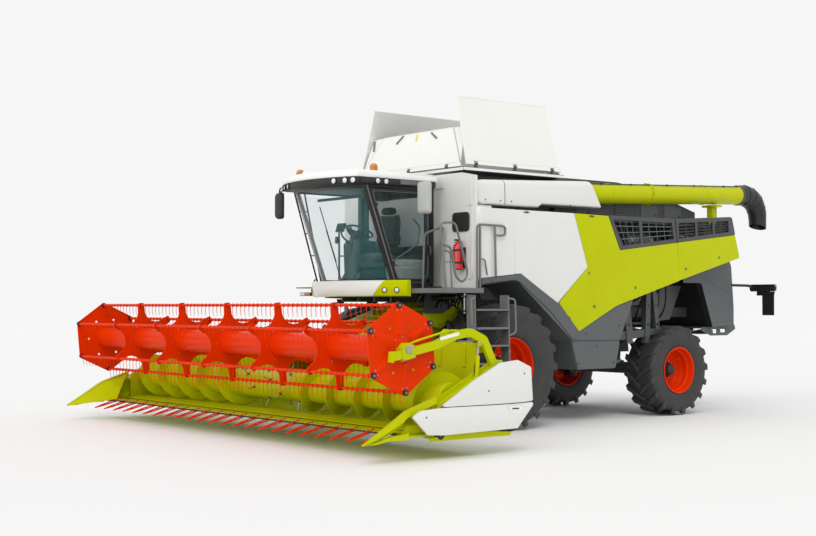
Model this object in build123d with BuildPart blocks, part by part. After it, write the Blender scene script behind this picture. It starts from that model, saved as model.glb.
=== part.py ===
# Combine harvester with a 7.7 m grain header, raised a little off the ground.
# X is the machine's left, Y runs rearward, Z is up; the machine faces -Y.
# Along the machine, a station s is the distance behind the front axle.
# Heights are those of the machine on front tyres of the stock radius.
# The origin lies on the ground under the middle of the whole outline.
import math
import os

from build123d import *

os.makedirs("parts", exist_ok=True)

# ---------------------------------------------------------------- sizes (mm)
# Whole machine
front_reach = 4240      # front axle to the divider points
rear_reach = 6830       # front axle to the end of the unloading spout
wheelbase = 4070
body_half = 1650        # outer face of the side doors
header_half = 3983      # header centre to a divider point
sides = (("left", 1), ("right", -1))

# Wheels
front_tyre_r = 925
front_tyre_w = 800
front_rim_r = 406
front_flange_r = 435
front_track_half = 1494
rear_tyre_r = 745
rear_tyre_w = 600
rear_rim_r = 356
rear_flange_r = 392
rear_track_half = 1280
kingpin_x = 900
stock_tyre_r = 925

axle_y = (front_reach - rear_reach) / 2
lift = front_tyre_r - stock_tyre_r      # taller front tyres raise the machine

# Body shell
skin = 30               # thickness of a side door
seam = 8                # gap round a door
core_half = 820         # half width of the threshing housing
rail_w = 100            # width of a frame rail
tank_half = 1300
tank_left = 980         # left tank wall, set in beside the unloading tube
tank_front = -440
tank_rear = 1640
tank_floor = 2150
rim_z = 3850            # top of the grain tank rim
wall = 10
deck_top = 3170
deck_t = 30
deck_rear = 5400
hinge_z = 3200          # height of the side doors' hinge line
door_top = 3230

# Hinges of the doors and flaps: a lug with a pin stands in a notch of the plate
lug_w = 50
lug_half = 14
notch_w = 80
notch_d = 40
pin_r = 8
pin_fit = 0.5
pin_grip = 25           # how far a pin reaches into the plate on each side

# Cab
cab_half = 880
cab_floor = 2100
cab_top = 3570
cab_rear = -660
pillar_foot = -1400     # station of the front pillar at the floor
pillar_head = -1950     # station of the front pillar at the roof
screen_bulge = 290
cab_wall = 45
glass_t = 6

# Unloading auger
unload_x = 1280
unload_s = -100         # station of its turning axis
tube_r = 165
tube_slope = 2.53       # degrees
tube_end = 6250
hood_r = 250

# Header
wall_x = header_half - 138      # inner face of the header's side wall
wall_t = 20
feeder_s = -200         # feeder house hinge
feeder_z = 1600
feeder_half = 750
auger_s = -2830
auger_z = 690
auger_r = 330
auger_tube_r = 200
auger_pitch = 600
trough_gap = 30
trough_r = auger_r + trough_gap
back_s = auger_s + trough_r     # front face of the header's back wall
knife_s = -3600
knife_z = 312
reel_s = -3606
reel_z = 1309
reel_r = 512
reel_bar_r = 17
reel_tube_r = 155
reel_plate = 12
reel_bays = 6
reel_phase = 5.36       # degrees the first bar stands off the vertical
arm_s = -2250           # reel arm pivot
arm_z = 1080
arm_x = header_half - 98        # inner face of a reel arm
arm_w = 55
lifter_step = 305

# Cylinders that lift the header and the reel
header_ram_x = 560
header_ram_r = 55
header_ram_foot = (-215, 790)
header_ram_head = (-1650, 700)
header_ram_lug = 20         # thickness of a lug at the foot
header_ram_pin_r = 22
header_rod_r = 32
reel_ram_r = 26
reel_ram_foot = (-2527, 900)
reel_ram_head = (-2505, 1355)
reel_rod_r = 14


# ------------------------------------------------------------------- planes
def side(x):
    """Plane across X: local x is the station, local y the height."""
    return Plane(origin=(x, axle_y, lift), x_dir=(0, 1, 0), z_dir=(1, 0, 0))


def level(z):
    """Level plane: local x is X, local y the station."""
    return Plane(origin=(0, axle_y, z + lift), x_dir=(1, 0, 0), z_dir=(0, 0, 1))


def across(s):
    """Plane across the machine, facing forward: local x is X, local y the height."""
    return Plane(origin=(0, axle_y + s, lift), x_dir=(1, 0, 0), z_dir=(0, -1, 0))


def save(builder, label):
    """Name a finished piece and write it."""
    builder.part.label = label
    export_step(builder.part, "parts/" + label + ".step")


def between(a, b, count):
    """Evenly spaced places from a to b, both ends included."""
    return [a + (b - a) * k / (count - 1) for k in range(count)]


def line_at(s, p, q):
    """Height at station s on the line from p to q."""
    return p[1] + (q[1] - p[1]) * (s - p[0]) / (q[0] - p[0])


# ------------------------------------------------------------------- wheels
# axle: name, X of the centre, station, height, radius, width, rim, flange, disc X
wheel_rows = (
    ("front", front_track_half, 0, front_tyre_r, front_tyre_w, front_rim_r, front_flange_r, 1440),
    ("rear", rear_track_half, wheelbase, rear_tyre_r, rear_tyre_w, rear_rim_r, rear_flange_r, 1230),
)
tyre_wall = 45
tread_t = 110
rim_t = 15
disc_t = 20
hub_gap = 0.5           # running gap between a wheel and what carries it

for axle, centre_x, station, radius, width, rim_r, flange_r, disc_x in wheel_rows:
    for hand, sign in sides:
        hub = Plane(origin=(sign * centre_x, axle_y + station, radius), x_dir=(sign, 0, 0),
                    z_dir=(0, -sign, 0))
        turn = Axis((0, axle_y + station, radius), (1, 0, 0))
        bead = width / 2 - 45
        shoulder = radius - 95
        disc = disc_x - centre_x + hub_gap
        with BuildPart() as wheel:
            with BuildSketch(hub):
                with BuildLine():
                    Polyline((-bead, rim_r), (-bead, flange_r + 6))
                    ThreePointArc((-bead, flange_r + 6), (-width / 2, (flange_r + shoulder) / 2),
                                  (-0.485 * width, shoulder))
                    Polyline((-0.485 * width, shoulder), (-0.46 * width, radius), (0.46 * width, radius),
                             (0.485 * width, shoulder))
                    ThreePointArc((0.485 * width, shoulder), (width / 2, (flange_r + shoulder) / 2),
                                  (bead, flange_r + 6))
                    Polyline((bead, flange_r + 6), (bead, rim_r), (-bead, rim_r))
                make_face()
                with BuildLine():
                    Polyline((-bead + tyre_wall, rim_r - 1), (-0.44 * width, shoulder - 20),
                             (-0.42 * width, radius - tread_t),
                             (0.42 * width, radius - tread_t), (0.44 * width, shoulder - 20),
                             (bead - tyre_wall, rim_r - 1),
                             (-bead + tyre_wall, rim_r - 1))
                make_face(mode=Mode.SUBTRACT)
                Polygon((-bead - rim_t, rim_r - rim_t), (bead + rim_t, rim_r - rim_t),
                        (bead + rim_t, flange_r),
                        (bead, flange_r), (bead, rim_r), (-bead, rim_r), (-bead, flange_r),
                        (-bead - rim_t, flange_r),
                        align=None)
                Polygon((disc, 0), (disc, 0.72 * rim_r), (disc + 110, rim_r - 2),
                        (disc + 110 + disc_t, rim_r - 2),
                        (disc + disc_t, 0.70 * rim_r), (disc + disc_t, 130), (disc + 110, 110),
                        (disc + 110, 0), align=None)
            revolve(axis=turn)
        save(wheel, "wheel_" + axle + "_" + hand)

# -------------------------------------------------------------------- axles
drive_r = 280           # final drive beside a front wheel
beam_h = 250
with BuildPart() as front_axle:
    with BuildSketch(side(-1000)):
        with Locations((0, stock_tyre_r)):
            Rectangle(beam_h, beam_h)
    extrude(amount=2000)
    for hand, sign in sides:
        with BuildSketch(side(sign * 1000)):
            with Locations((0, stock_tyre_r)):
                Circle(drive_r)
        extrude(amount=sign * (1440 - 1000))
        # lugs that hold the header's lift cylinders
        for edge in (-1, 1):
            with BuildSketch(side(sign * header_ram_x + edge * (header_ram_r + 10.6) - header_ram_lug / 2)):
                Polygon((-270, 740), (-270, 850), (-120, 1000), (-120, 740), align=None)
            extrude(amount=header_ram_lug)
        with BuildSketch(side(sign * header_ram_x - header_ram_r - header_ram_lug - 5)):
            with Locations(header_ram_foot):
                Circle(header_ram_pin_r + pin_fit)
        extrude(amount=2 * (header_ram_r + header_ram_lug + 5), mode=Mode.SUBTRACT)
save(front_axle, "front_axle")

rear_z = rear_tyre_r - lift     # height of the rear axle on the body's scale
eye_r = 85
eye_half = 145
pin_king_r = 40
pivot_half = 150
with BuildPart() as rear_axle:
    with BuildSketch(side(-kingpin_x)):
        with Locations((wheelbase, rear_z)):
            Rectangle(180, 180)
    extrude(amount=2 * kingpin_x)
    with BuildSketch(side(-pivot_half)):
        Polygon((wheelbase - 180, 1600), (wheelbase + 180, 1600), (wheelbase + 110, rear_z),
                (wheelbase - 110, rear_z),
                align=None)
    extrude(amount=2 * pivot_half)
    for hand, sign in sides:
        with BuildSketch(level(rear_z - eye_half)):
            with Locations((sign * kingpin_x, wheelbase)):
                Circle(eye_r)
        extrude(amount=2 * eye_half)
    for hand, sign in sides:
        with BuildSketch(level(rear_z - eye_half)):
            with Locations((sign * kingpin_x, wheelbase)):
                Circle(pin_king_r + pin_fit)
        extrude(amount=2 * eye_half, mode=Mode.SUBTRACT)
save(rear_axle, "rear_axle")

fork_t = 40
web_x = kingpin_x + eye_r + 8
for hand, sign in sides:
    with BuildPart() as knuckle:
        with BuildSketch(level(rear_z - eye_half - fork_t)):
            with Locations((sign * kingpin_x, wheelbase)):
                Circle(pin_king_r)
        extrude(amount=2 * (eye_half + fork_t))
        for base in (rear_z - eye_half - fork_t, rear_z + eye_half + pin_fit):
            with BuildSketch(level(base)):
                with Locations((sign * kingpin_x, wheelbase)):
                    Circle(eye_r)
                with Locations((sign * (kingpin_x + web_x + 50) / 2, wheelbase)):
                    Rectangle(web_x + 50 - kingpin_x, 160)
            extrude(amount=fork_t - pin_fit)
        with BuildSketch(side(sign * web_x)):
            with Locations((wheelbase, rear_z)):
                Rectangle(160, 2 * (eye_half + fork_t))
        extrude(amount=sign * 50)
        with BuildSketch(side(sign * (web_x + 50))):
            with Locations((wheelbase, rear_z)):
                Circle(110)
        extrude(amount=sign * (1230 - web_x - 50))
    save(knuckle, "steering_knuckle_" + hand)

# -------------------------------------------------------------------- frame
rail_low = 1060
rail_end = wheelbase + 980       # the rails reach past the rear axle
housing_rear = wheelbase + 430   # the threshing housing stands over the rear axle
stub_r = 60             # feeder house hinge stub
with BuildPart() as main_frame:
    for hand, sign in sides:
        with BuildSketch(side(sign * core_half)):
            Polygon((-480, 2060), (-400, 2060), (-400, 1800), (-100, 1740), (-100, 1240), (2900, 1240),
                    (3250, 1780),
                    (rail_end, 1780), (rail_end, 1620), (3330, 1620), (2980, rail_low), (-440, rail_low),
                    (-480, 1100), align=None)
            with Locations((feeder_s, feeder_z)):
                Circle(stub_r + pin_fit, mode=Mode.SUBTRACT)
        extrude(amount=sign * rail_w)
    # front cross member under the cab, and the carriers on the front axle
    with BuildSketch(side(-core_half)):
        with Locations((-440, 1980)):
            Rectangle(80, 160)
    extrude(amount=2 * core_half)
    for hand, sign in sides:
        with BuildSketch(side(sign * core_half)):
            Polygon((-160, stock_tyre_r + beam_h / 2), (160, stock_tyre_r + beam_h / 2), (220, rail_low),
                    (-220, rail_low),
                    align=None)
        extrude(amount=sign * rail_w)
save(main_frame, "main_frame")

with BuildPart() as threshing_housing:
    with BuildSketch(side(-core_half)):
        Polygon((150, rail_low), (150, tank_floor), (housing_rear, tank_floor), (housing_rear, 1600),
                (3150, 1600), (2900, 850), (1500, 850), (1100, rail_low), align=None)
    extrude(amount=2 * core_half)
save(threshing_housing, "threshing_housing")

# Mudguards over the front wheels, running down into the boxes behind them
guard_top = ((-400, 2206), (376, 2280), (1166, 1840), (1614, 1408))
guard_low = ((1467, 1288), (300, 2200), (-400, 2120))
box_out = body_half - 50
with BuildPart() as side_boxes:
    for hand, sign in sides:
        with BuildSketch(side(sign * (body_half - skin))):
            Polygon(*guard_top, *guard_low, align=None)
        extrude(amount=sign * skin)
        with BuildSketch(side(sign * (core_half + 50))):
            Polygon((tank_front, 2116), (300, 2200), (1467, 1288), (1460, 1276), (296, 2187),
                    (tank_front, 2103),
                    align=None)
        extrude(amount=sign * (body_half - core_half - 50))
        with BuildSketch(side(sign * (core_half + rail_w))):
            Polygon((1455, 1290), (2560, 1270), (2440, 825), (1600, 825), align=None)
        extrude(amount=sign * (box_out - core_half - rail_w))
        with BuildSketch(side(sign * (box_out - 12))):
            Polygon((1455, 1270), (1620, 1400), (2450, 1796), (2900, 1915), (2560, 1270), align=None)
        extrude(amount=sign * 12)
save(side_boxes, "lower_side_boxes")

# --------------------------------------------------------------- grain tank
rim_low = 3800
tank_left_line = ((core_half, tank_floor), (tank_left, 2450), (tank_left, rim_low - 20),
                  (tank_half, rim_low))
tank_right_line = ((-tank_half, 3000), (-core_half, tank_floor))
flap_hinge_z = rim_z + 26
side_hinge_z = flap_hinge_z + 30    # the side flaps fold over the end flaps
flap_in = 15            # hinge lines stand this far inside the rim
side_flap_pins = (tank_front + 250, (tank_front + tank_rear) / 2, tank_rear - 250)
end_flap_pins = (-900, 0, 900)
with BuildPart() as grain_tank:
    with BuildSketch(across(tank_rear)):
        Polygon(*tank_left_line, (tank_half, rim_z), (-tank_half, rim_z), *tank_right_line, align=None)
    extrude(amount=tank_rear - tank_front)
    with BuildSketch(across(tank_rear - wall)):
        Polygon((core_half - wall, tank_floor + wall), (tank_left - wall, 2450),
                (tank_left - wall, rim_low - 10),
                (tank_half - wall, rim_low + 10), (tank_half - wall, rim_z + 1),
                (-tank_half + wall, rim_z + 1),
                (-tank_half + wall, 3000), (-core_half + wall, tank_floor + wall), align=None)
    extrude(amount=tank_rear - tank_front - 2 * wall, mode=Mode.SUBTRACT)
    # hinge lugs with their pins along the four sides of the rim
    for hand, sign in sides:
        for spot in side_flap_pins:
            with BuildSketch(side(sign * (tank_half - flap_in) - lug_half)):
                with Locations((spot, (rim_z - wall + side_hinge_z + lug_half) / 2)):
                    Rectangle(lug_w, side_hinge_z + lug_half - rim_z + wall)
            extrude(amount=2 * lug_half)
            with BuildSketch(across(spot + notch_w / 2 + pin_grip)):
                with Locations((sign * (tank_half - flap_in), side_hinge_z)):
                    Circle(pin_r)
            extrude(amount=notch_w + 2 * pin_grip)
    for spot_s in (tank_front + flap_in, tank_rear - flap_in):
        for spot in end_flap_pins:
            with BuildSketch(side(spot - lug_w / 2)):
                with Locations((spot_s, (rim_z - wall + flap_hinge_z + lug_half) / 2)):
                    Rectangle(2 * lug_half, flap_hinge_z + lug_half - rim_z + wall)
            extrude(amount=lug_w)
            with BuildSketch(side(spot - notch_w / 2 - pin_grip)):
                with Locations((spot_s, flap_hinge_z)):
                    Circle(pin_r)
            extrude(amount=notch_w + 2 * pin_grip)
save(grain_tank, "grain_tank")

# Folding flaps that raise the tank's walls
flap_t = 26
side_flap_h = 1070
side_flap_lean = 15
end_flap_h = 640
end_flap_lean = 17
end_flap_foot = tank_half - 75
end_flap_head = 850
flap_edge = 15          # plate beyond the hinge line
side_flap_half = (tank_rear - tank_front) / 2 - 60


def flap_plane(x, s, z, out, lean):
    """Mid-plane of a leaning flap: local x along its hinge, local y up the flap."""
    up = Vector(0, 0, 1) * math.cos(math.radians(lean)) - Vector(*out) * math.sin(math.radians(lean))
    along = Vector(*out).cross(Vector(0, 0, 1))
    return Plane(origin=(x, axle_y + s, z + lift), x_dir=along, z_dir=along.cross(up))


# flap: name, plane, outline, pin places along the hinge
tank_mid = (tank_front + tank_rear) / 2
side_outline = ((-side_flap_half, -flap_edge), (side_flap_half, -flap_edge),
                (side_flap_half - 60, side_flap_h),
                (-side_flap_half + 60, side_flap_h))
end_outline = ((-end_flap_foot, -flap_edge), (end_flap_foot, -flap_edge), (end_flap_head, end_flap_h),
               (-end_flap_head, end_flap_h))
side_spots = [spot - tank_mid for spot in side_flap_pins]
flap_rows = (
    ("left", flap_plane(tank_half - flap_in, tank_mid, side_hinge_z, (1, 0, 0), side_flap_lean),
     side_outline, side_spots),
    ("right", flap_plane(-tank_half + flap_in, tank_mid, side_hinge_z, (-1, 0, 0), side_flap_lean),
     side_outline, side_spots),
    ("front", flap_plane(0, tank_front + flap_in, flap_hinge_z, (0, -1, 0), end_flap_lean), end_outline,
     end_flap_pins),
    ("rear", flap_plane(0, tank_rear - flap_in, flap_hinge_z, (0, 1, 0), end_flap_lean), end_outline,
     end_flap_pins),
)
for label, plane, outline, spots in flap_rows:
    with BuildPart() as flap:
        with BuildSketch(plane.offset(-flap_t / 2)):
            Polygon(*outline, align=None)
            for spot in spots:
                with Locations((spot, 0)):
                    Rectangle(notch_w, 2 * notch_d, mode=Mode.SUBTRACT)
        extrude(amount=flap_t)
        for spot in spots:
            pin_line = Plane(origin=plane.from_local_coords((spot - notch_w / 2 - pin_grip - 5, 0, 0)),
                             x_dir=plane.z_dir, z_dir=plane.x_dir)
            with BuildSketch(pin_line):
                Circle(pin_r + pin_fit)
            extrude(amount=notch_w + 2 * pin_grip + 10, mode=Mode.SUBTRACT)
    save(flap, "tank_flap_" + label)

# ---------------------------------------------------- engine, deck, radiator
with BuildPart() as engine_block:
    with BuildSketch(level(tank_floor)):
        with Locations((0, 3400)):
            Rectangle(1200, 1800)
    extrude(amount=800)
save(engine_block, "engine_block")

deck_half = body_half - 60
door_hinge_x = body_half - skin / 2
front_door_pins = (500, 1900, 3785)
rear_door_pins = (4400, 5310)
cradle_s = 5300
tube_z0 = 3492          # height of the tube's axis at the turning axis
cradle_z = tube_z0 + (cradle_s - unload_s) * math.tan(math.radians(tube_slope)) - tube_r - 8
with BuildPart() as engine_deck:
    with BuildSketch(level(deck_top - deck_t)):
        Polygon((-deck_half, -400), (-tank_half, -400), (-tank_half, tank_rear), (tank_left, tank_rear),
                (tank_left, -400), (deck_half, -400), (deck_half, deck_rear), (-deck_half, deck_rear),
                align=None)
    extrude(amount=deck_t)
    for hand, sign in sides:
        for spot in front_door_pins + rear_door_pins:
            with BuildSketch(side(sign * (deck_half - 40))):
                with Locations((spot, (deck_top - deck_t + hinge_z + lug_half) / 2)):
                    Rectangle(lug_w, hinge_z + lug_half - deck_top + deck_t)
            extrude(amount=sign * 50)
            with BuildSketch(side(sign * deck_half)):
                with Locations((spot, hinge_z)):
                    Rectangle(lug_w, 2 * lug_half)
            extrude(amount=sign * (door_hinge_x + lug_half - deck_half))
            with BuildSketch(across(spot + notch_w / 2 + pin_grip)):
                with Locations((sign * door_hinge_x, hinge_z)):
                    Circle(pin_r)
            extrude(amount=notch_w + 2 * pin_grip)
    # turning ring of the unloading auger, and the cradle its tube lies on
    with BuildSketch(level(deck_top)):
        with Locations((unload_x, unload_s)):
            Circle(200)
    extrude(amount=110)
    with BuildSketch(level(deck_top)):
        with Locations((unload_x, cradle_s)):
            Rectangle(110, 110)
    extrude(amount=cradle_z - 40 - deck_top)
    with BuildSketch(level(cradle_z - 40)):
        with Locations((unload_x, cradle_s)):
            Rectangle(300, 160)
    extrude(amount=34)
    # posts that carry the deck on the housing and the rails
    for post_s in (2100, 4400):
        for hand, sign in sides:
            with BuildSketch(level(tank_floor)):
                with Locations((sign * (core_half - 60), post_s)):
                    Rectangle(100, 100)
            extrude(amount=deck_top - deck_t - tank_floor)
save(engine_deck, "engine_deck")

with BuildPart() as radiator_housing:
    with BuildSketch(side(-1050)):
        Polygon((1700, deck_top), (1700, rim_z - 10), (3150, rim_z - 10), (3900, 3760), (5150, 3430),
                (5150, deck_top),
                align=None)
    extrude(amount=2080)
save(radiator_housing, "radiator_housing")

# --------------------------------------------------------------- side doors
seam_front = 258
grille_low = ((2535, 2690), (5480, 3030))
grille_rise = ((3890, door_top + 2), (5390, 3330))
split_top = (3870, door_top)
split_foot = (3990, 2220)
white_outline = ((seam_front, 2277), (seam_front, door_top), (1516, door_top), (1796, 2410), (1166, 1850),
                 (376, 2289))
green_outline = ((1520, door_top), split_top, split_foot, (2450, 1806), (1622, 1416), (1174, 1848),
                 (1802, 2410))
rear_outline = ((split_top[0] + seam, door_top), grille_rise[1], grille_low[1], (5590, 2635),
                (split_foot[0] + seam, 2222))
# window: station at the top front, top rear, bottom front, bottom rear
front_windows = ((2330, 3040, 2590, 3060), (3100, 3700, 3120, 3740))
rear_windows = ((3940, 4320, 3955, 4330), (4480, 4830, 4470, 4840), (4890, 5230, 4900, 5280))
frame_top = 45
frame_low = 50


def grille_quad(row, top_line):
    """Corners of one grille window under a top line and over the grille's foot."""
    a, b, c, d = row
    return ((a, line_at(a, *top_line) - frame_top), (b, line_at(b, *top_line) - frame_top),
            (d, line_at(d, *grille_low) + frame_low), (c, line_at(c, *grille_low) + frame_low))


front_top_line = ((1520, door_top), split_top)
# door: name, plates, windows, line along the top, hinge pins
door_rows = (
    ("front", (white_outline, green_outline), front_windows, front_top_line, front_door_pins),
    ("rear", (rear_outline,), rear_windows, grille_rise, rear_door_pins),
)
for hand, sign in sides:
    for label, plates, windows, top_line, spots in door_rows:
        with BuildPart() as door:
            with BuildSketch(side(sign * (body_half - skin))):
                for plate in plates:
                    Polygon(*plate, align=None)
                for row in windows:
                    Polygon(*grille_quad(row, top_line), align=None, mode=Mode.SUBTRACT)
                for spot in spots:
                    with Locations((spot, hinge_z + 80)):
                        Rectangle(notch_w, 2 * (80 + notch_d), mode=Mode.SUBTRACT)
            extrude(amount=sign * skin)
            for spot in spots:
                with BuildSketch(across(spot + notch_w / 2 + pin_grip + 5)):
                    with Locations((sign * door_hinge_x, hinge_z)):
                        Circle(pin_r + pin_fit)
                extrude(amount=notch_w + 2 * pin_grip + 10, mode=Mode.SUBTRACT)
        save(door, "side_door_" + label + "_" + hand)

# -------------------------------------------------------- front wall, corners
with BuildPart() as front_wall:
    with BuildSketch(across(tank_front)):
        Polygon((-box_out, 2060), (box_out, 2060), (box_out, 3700), (tank_half, 3760), (-tank_half, 3760),
                (-box_out, 3700),
                align=None)
    extrude(amount=40)
    for hand, sign in sides:
        with BuildSketch(side(sign * (body_half - skin))):
            Polygon((tank_front + 40, 2214), (seam_front - seam, 2276), (seam_front - seam, door_top),
                    (tank_front + 40, door_top), align=None)
        extrude(amount=sign * skin)
        with BuildSketch(side(sign * (box_out - 20))):
            Polygon((tank_front, 2230), (seam_front - seam, 2280), (seam_front - seam, deck_top - deck_t),
                    (tank_front, deck_top - deck_t), align=None)
        extrude(amount=sign * (body_half - skin - box_out + 20))
save(front_wall, "front_wall")

# --------------------------------------------------------------- straw hood
hood_half = 1300
hood_back = wheelbase + 1790    # rear face of the hood; its outlet stays clear of the rear wheels
spread_front = hood_back - 710
with BuildPart() as straw_hood:
    with BuildSketch(side(-hood_half)):
        Polygon((housing_rear, 3140), (hood_back - 410, 3140), (hood_back - 60, 2500), (hood_back, 1800),
                (hood_back, 1480), (hood_back - 610, 1440), (hood_back - 910, 2200), (housing_rear, 2200),
                align=None)
    extrude(amount=2 * hood_half)
    with BuildSketch(side(-hood_half + wall)):
        Polygon((housing_rear + wall, 3140 - wall), (hood_back - 410 - wall, 3140 - wall),
                (hood_back - 70, 2500),
                (hood_back - 10, 1800), (hood_back + 40, 1800), (hood_back + 40, 1400),
                (hood_back - 583, 1400), (hood_back - 898, 2200 + wall), (housing_rear + wall, 2200 + wall),
                align=None)
    extrude(amount=2 * hood_half - 2 * wall, mode=Mode.SUBTRACT)
    # spreader roof below the outlet, with a bearing plate for each disc
    with BuildSketch(side(-1150)):
        Polygon((spread_front, 1440), (hood_back + 200, 1480), (hood_back + 225, 1400),
                (hood_back + 210, 1395), (hood_back + 190, 1462), (spread_front, 1425), align=None)
    extrude(amount=2300)
    for hand, sign in sides:
        with BuildSketch(side(sign * 1150)):
            Polygon((spread_front, 1440), (hood_back + 200, 1480), (hood_back + 225, 1400),
                    (hood_back - 10, 1290), (hood_back - 460, 1290), (spread_front, 1380), align=None)
        extrude(amount=sign * 12)
    # marker lamps on arms behind the hood
    for hand, sign in sides:
        with BuildSketch(level(2150)):
            with Locations((sign * 1290, hood_back + 240)):
                Rectangle(40, 600)
        extrude(amount=40)
        with BuildSketch(level(2060)):
            with Locations((sign * 1540, hood_back + 520)):
                Rectangle(540, 60)
        extrude(amount=130)
        with BuildSketch(level(1640)):
            with Locations((sign * 1650, hood_back + 520)):
                Rectangle(250, 24)
        extrude(amount=420)
save(straw_hood, "straw_hood")

disc_s = hood_back - 240
spread_r = 430
for hand, sign in sides:
    with BuildPart() as spreader:
        with BuildSketch(level(1310)):
            with Locations((sign * 520, disc_s)):
                Circle(spread_r)
        extrude(amount=10)
        with BuildSketch(level(1310)):
            with Locations((sign * 520, disc_s)):
                Circle(70)
        extrude(amount=line_at(disc_s - 70, (spread_front, 1425), (hood_back + 190, 1462)) - 1310 - 0.6)
        for angle in range(0, 360, 60):
            with BuildSketch(level(1320)):
                with Locations(Location((sign * 520, disc_s), angle)):
                    with Locations((spread_r / 2 + 25, 0)):
                        Rectangle(spread_r - 60, 12)
            extrude(amount=75)
    save(spreader, "spreader_disc_" + hand)

# ----------------------------------------------------------------- platform
platform_out = body_half + 275
ladder_pin = (body_half + 285, -985)    # X and station of the ladder's hanging pin
ladder_pin_r = 12
with BuildPart() as platform:
    with BuildSketch(level(2040)):
        Polygon((cab_half, -1325), (platform_out, -1325), (platform_out, -290), (body_half + 15, -290),
                (body_half + 15, tank_front - 40), (cab_half, tank_front - 40), align=None)
    extrude(amount=20)
    # ladder bracket with its hanging pin
    with BuildSketch(level(1960)):
        with Locations((ladder_pin[0] - 100, ladder_pin[1])):
            Rectangle(250, 50)
    extrude(amount=80)
    with BuildSketch(level(1700)):
        with Locations(ladder_pin):
            Circle(ladder_pin_r)
    extrude(amount=280)
    # handrails, each bent in a plane across X: its X, then its path
    for rail_x, path in (
        (platform_out - 20, ((-1290, 2050), (-1300, 2950), (-1170, 2950), (-1000, 2050))),
        (body_half + 40, ((-510, 2050), (-510, 2975), (180, 2975), (180, 2790), (15, 2790))),
        (body_half + 40, ((20, 2960), (20, 2250), (-505, 2250))),
    ):
        with BuildLine(side(rail_x)) as rail:
            FilletPolyline(*path, radius=60)
        with BuildSketch(Plane(origin=rail.line @ 0, z_dir=rail.line % 0)):
            Circle(17)
        sweep(path=rail.line)
save(platform, "platform")

ladder_top = 1950
ladder_x = body_half + 280      # inner face of the ladder
ladder_w = 200
step_rows = (1765, 1510, 1260, 1010, 760)
with BuildPart() as ladder:
    for edge in (-955, -320):
        with BuildSketch(side(ladder_x)):
            Polygon((edge, 700), (edge + 20, 700), (edge + 20, ladder_top), (edge, ladder_top), align=None)
        extrude(amount=ladder_w)
    for step in step_rows:
        with BuildSketch(level(step - 30)):
            with Locations((ladder_x + 110, -627.5)):
                Rectangle(220, 635)
        extrude(amount=30)
    with BuildSketch(level(1705)):
        with Locations(ladder_pin):
            Circle(28)
        with Locations((ladder_pin[0] + 10, ladder_pin[1] + 20)):
            Rectangle(30, 40)
    extrude(amount=ladder_top - 1705)
    with BuildSketch(level(1705)):
        with Locations(ladder_pin):
            Circle(ladder_pin_r + pin_fit)
    extrude(amount=ladder_top - 1705, mode=Mode.SUBTRACT)
    # hand loop beside the upper steps
    with BuildLine(side(ladder_x + ladder_w - 20)) as rail:
        FilletPolyline((-310, 1900), (-205, 1900), (-205, 1400), (-310, 1400), radius=60)
    with BuildSketch(Plane(origin=rail.line @ 0, z_dir=rail.line % 0)):
        Circle(14)
    sweep(path=rail.line)
save(ladder, "ladder")

# ---------------------------------------------------------------------- cab
def cab_plan(z, foot, inset):
    """Plan of the cab at a height: straight back and sides, bowed front."""
    half = cab_half - inset
    with BuildSketch(level(z)) as plan:
        with BuildLine():
            Polyline((half, foot + inset), (half, cab_rear - inset), (-half, cab_rear - inset),
                     (-half, foot + inset))
            ThreePointArc((-half, foot + inset), (0, foot + inset - screen_bulge), (half, foot + inset))
        make_face()
    return plan.sketch


def pillar_at(z):
    """Station of the front pillar's outer edge at a height."""
    return pillar_foot + (pillar_head - pillar_foot) * (z - cab_floor) / (cab_top - cab_floor)


sill = 2200
head = 3480
pillar = 75
door_foot = 2150
screen_quad = ((-cab_half + pillar, sill), (cab_half - pillar, sill), (cab_half - pillar, head),
               (-cab_half + pillar, head))
side_quad = ((pillar_at(sill) + pillar, sill), (cab_rear - 90, sill), (cab_rear - 90, head),
             (pillar_at(head) + pillar, head))
door_quad = ((pillar_at(door_foot) + 60, door_foot), (cab_rear - 60, door_foot), (cab_rear - 60, head + 30),
             (pillar_at(head + 30) + 60, head + 30))
rear_quad = ((-700, 2700), (700, 2700), (700, 3430), (-700, 3430))

# the door's hinge line stands off the front pillar, parallel to it
hinge_x = cab_half + 20
hinge_off = 63
hinge_dir = Vector(0, pillar_head - pillar_foot, cab_top - cab_floor).normalized()
hinge_heights = (2420, 3250)


def cab_hinge(z, along):
    """Plane across the cab door's hinge line, moved along it."""
    start = Vector(hinge_x, axle_y + pillar_at(z) + hinge_off, z + lift)
    return Plane(origin=start + hinge_dir * along, x_dir=(1, 0, 0), z_dir=hinge_dir)


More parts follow.
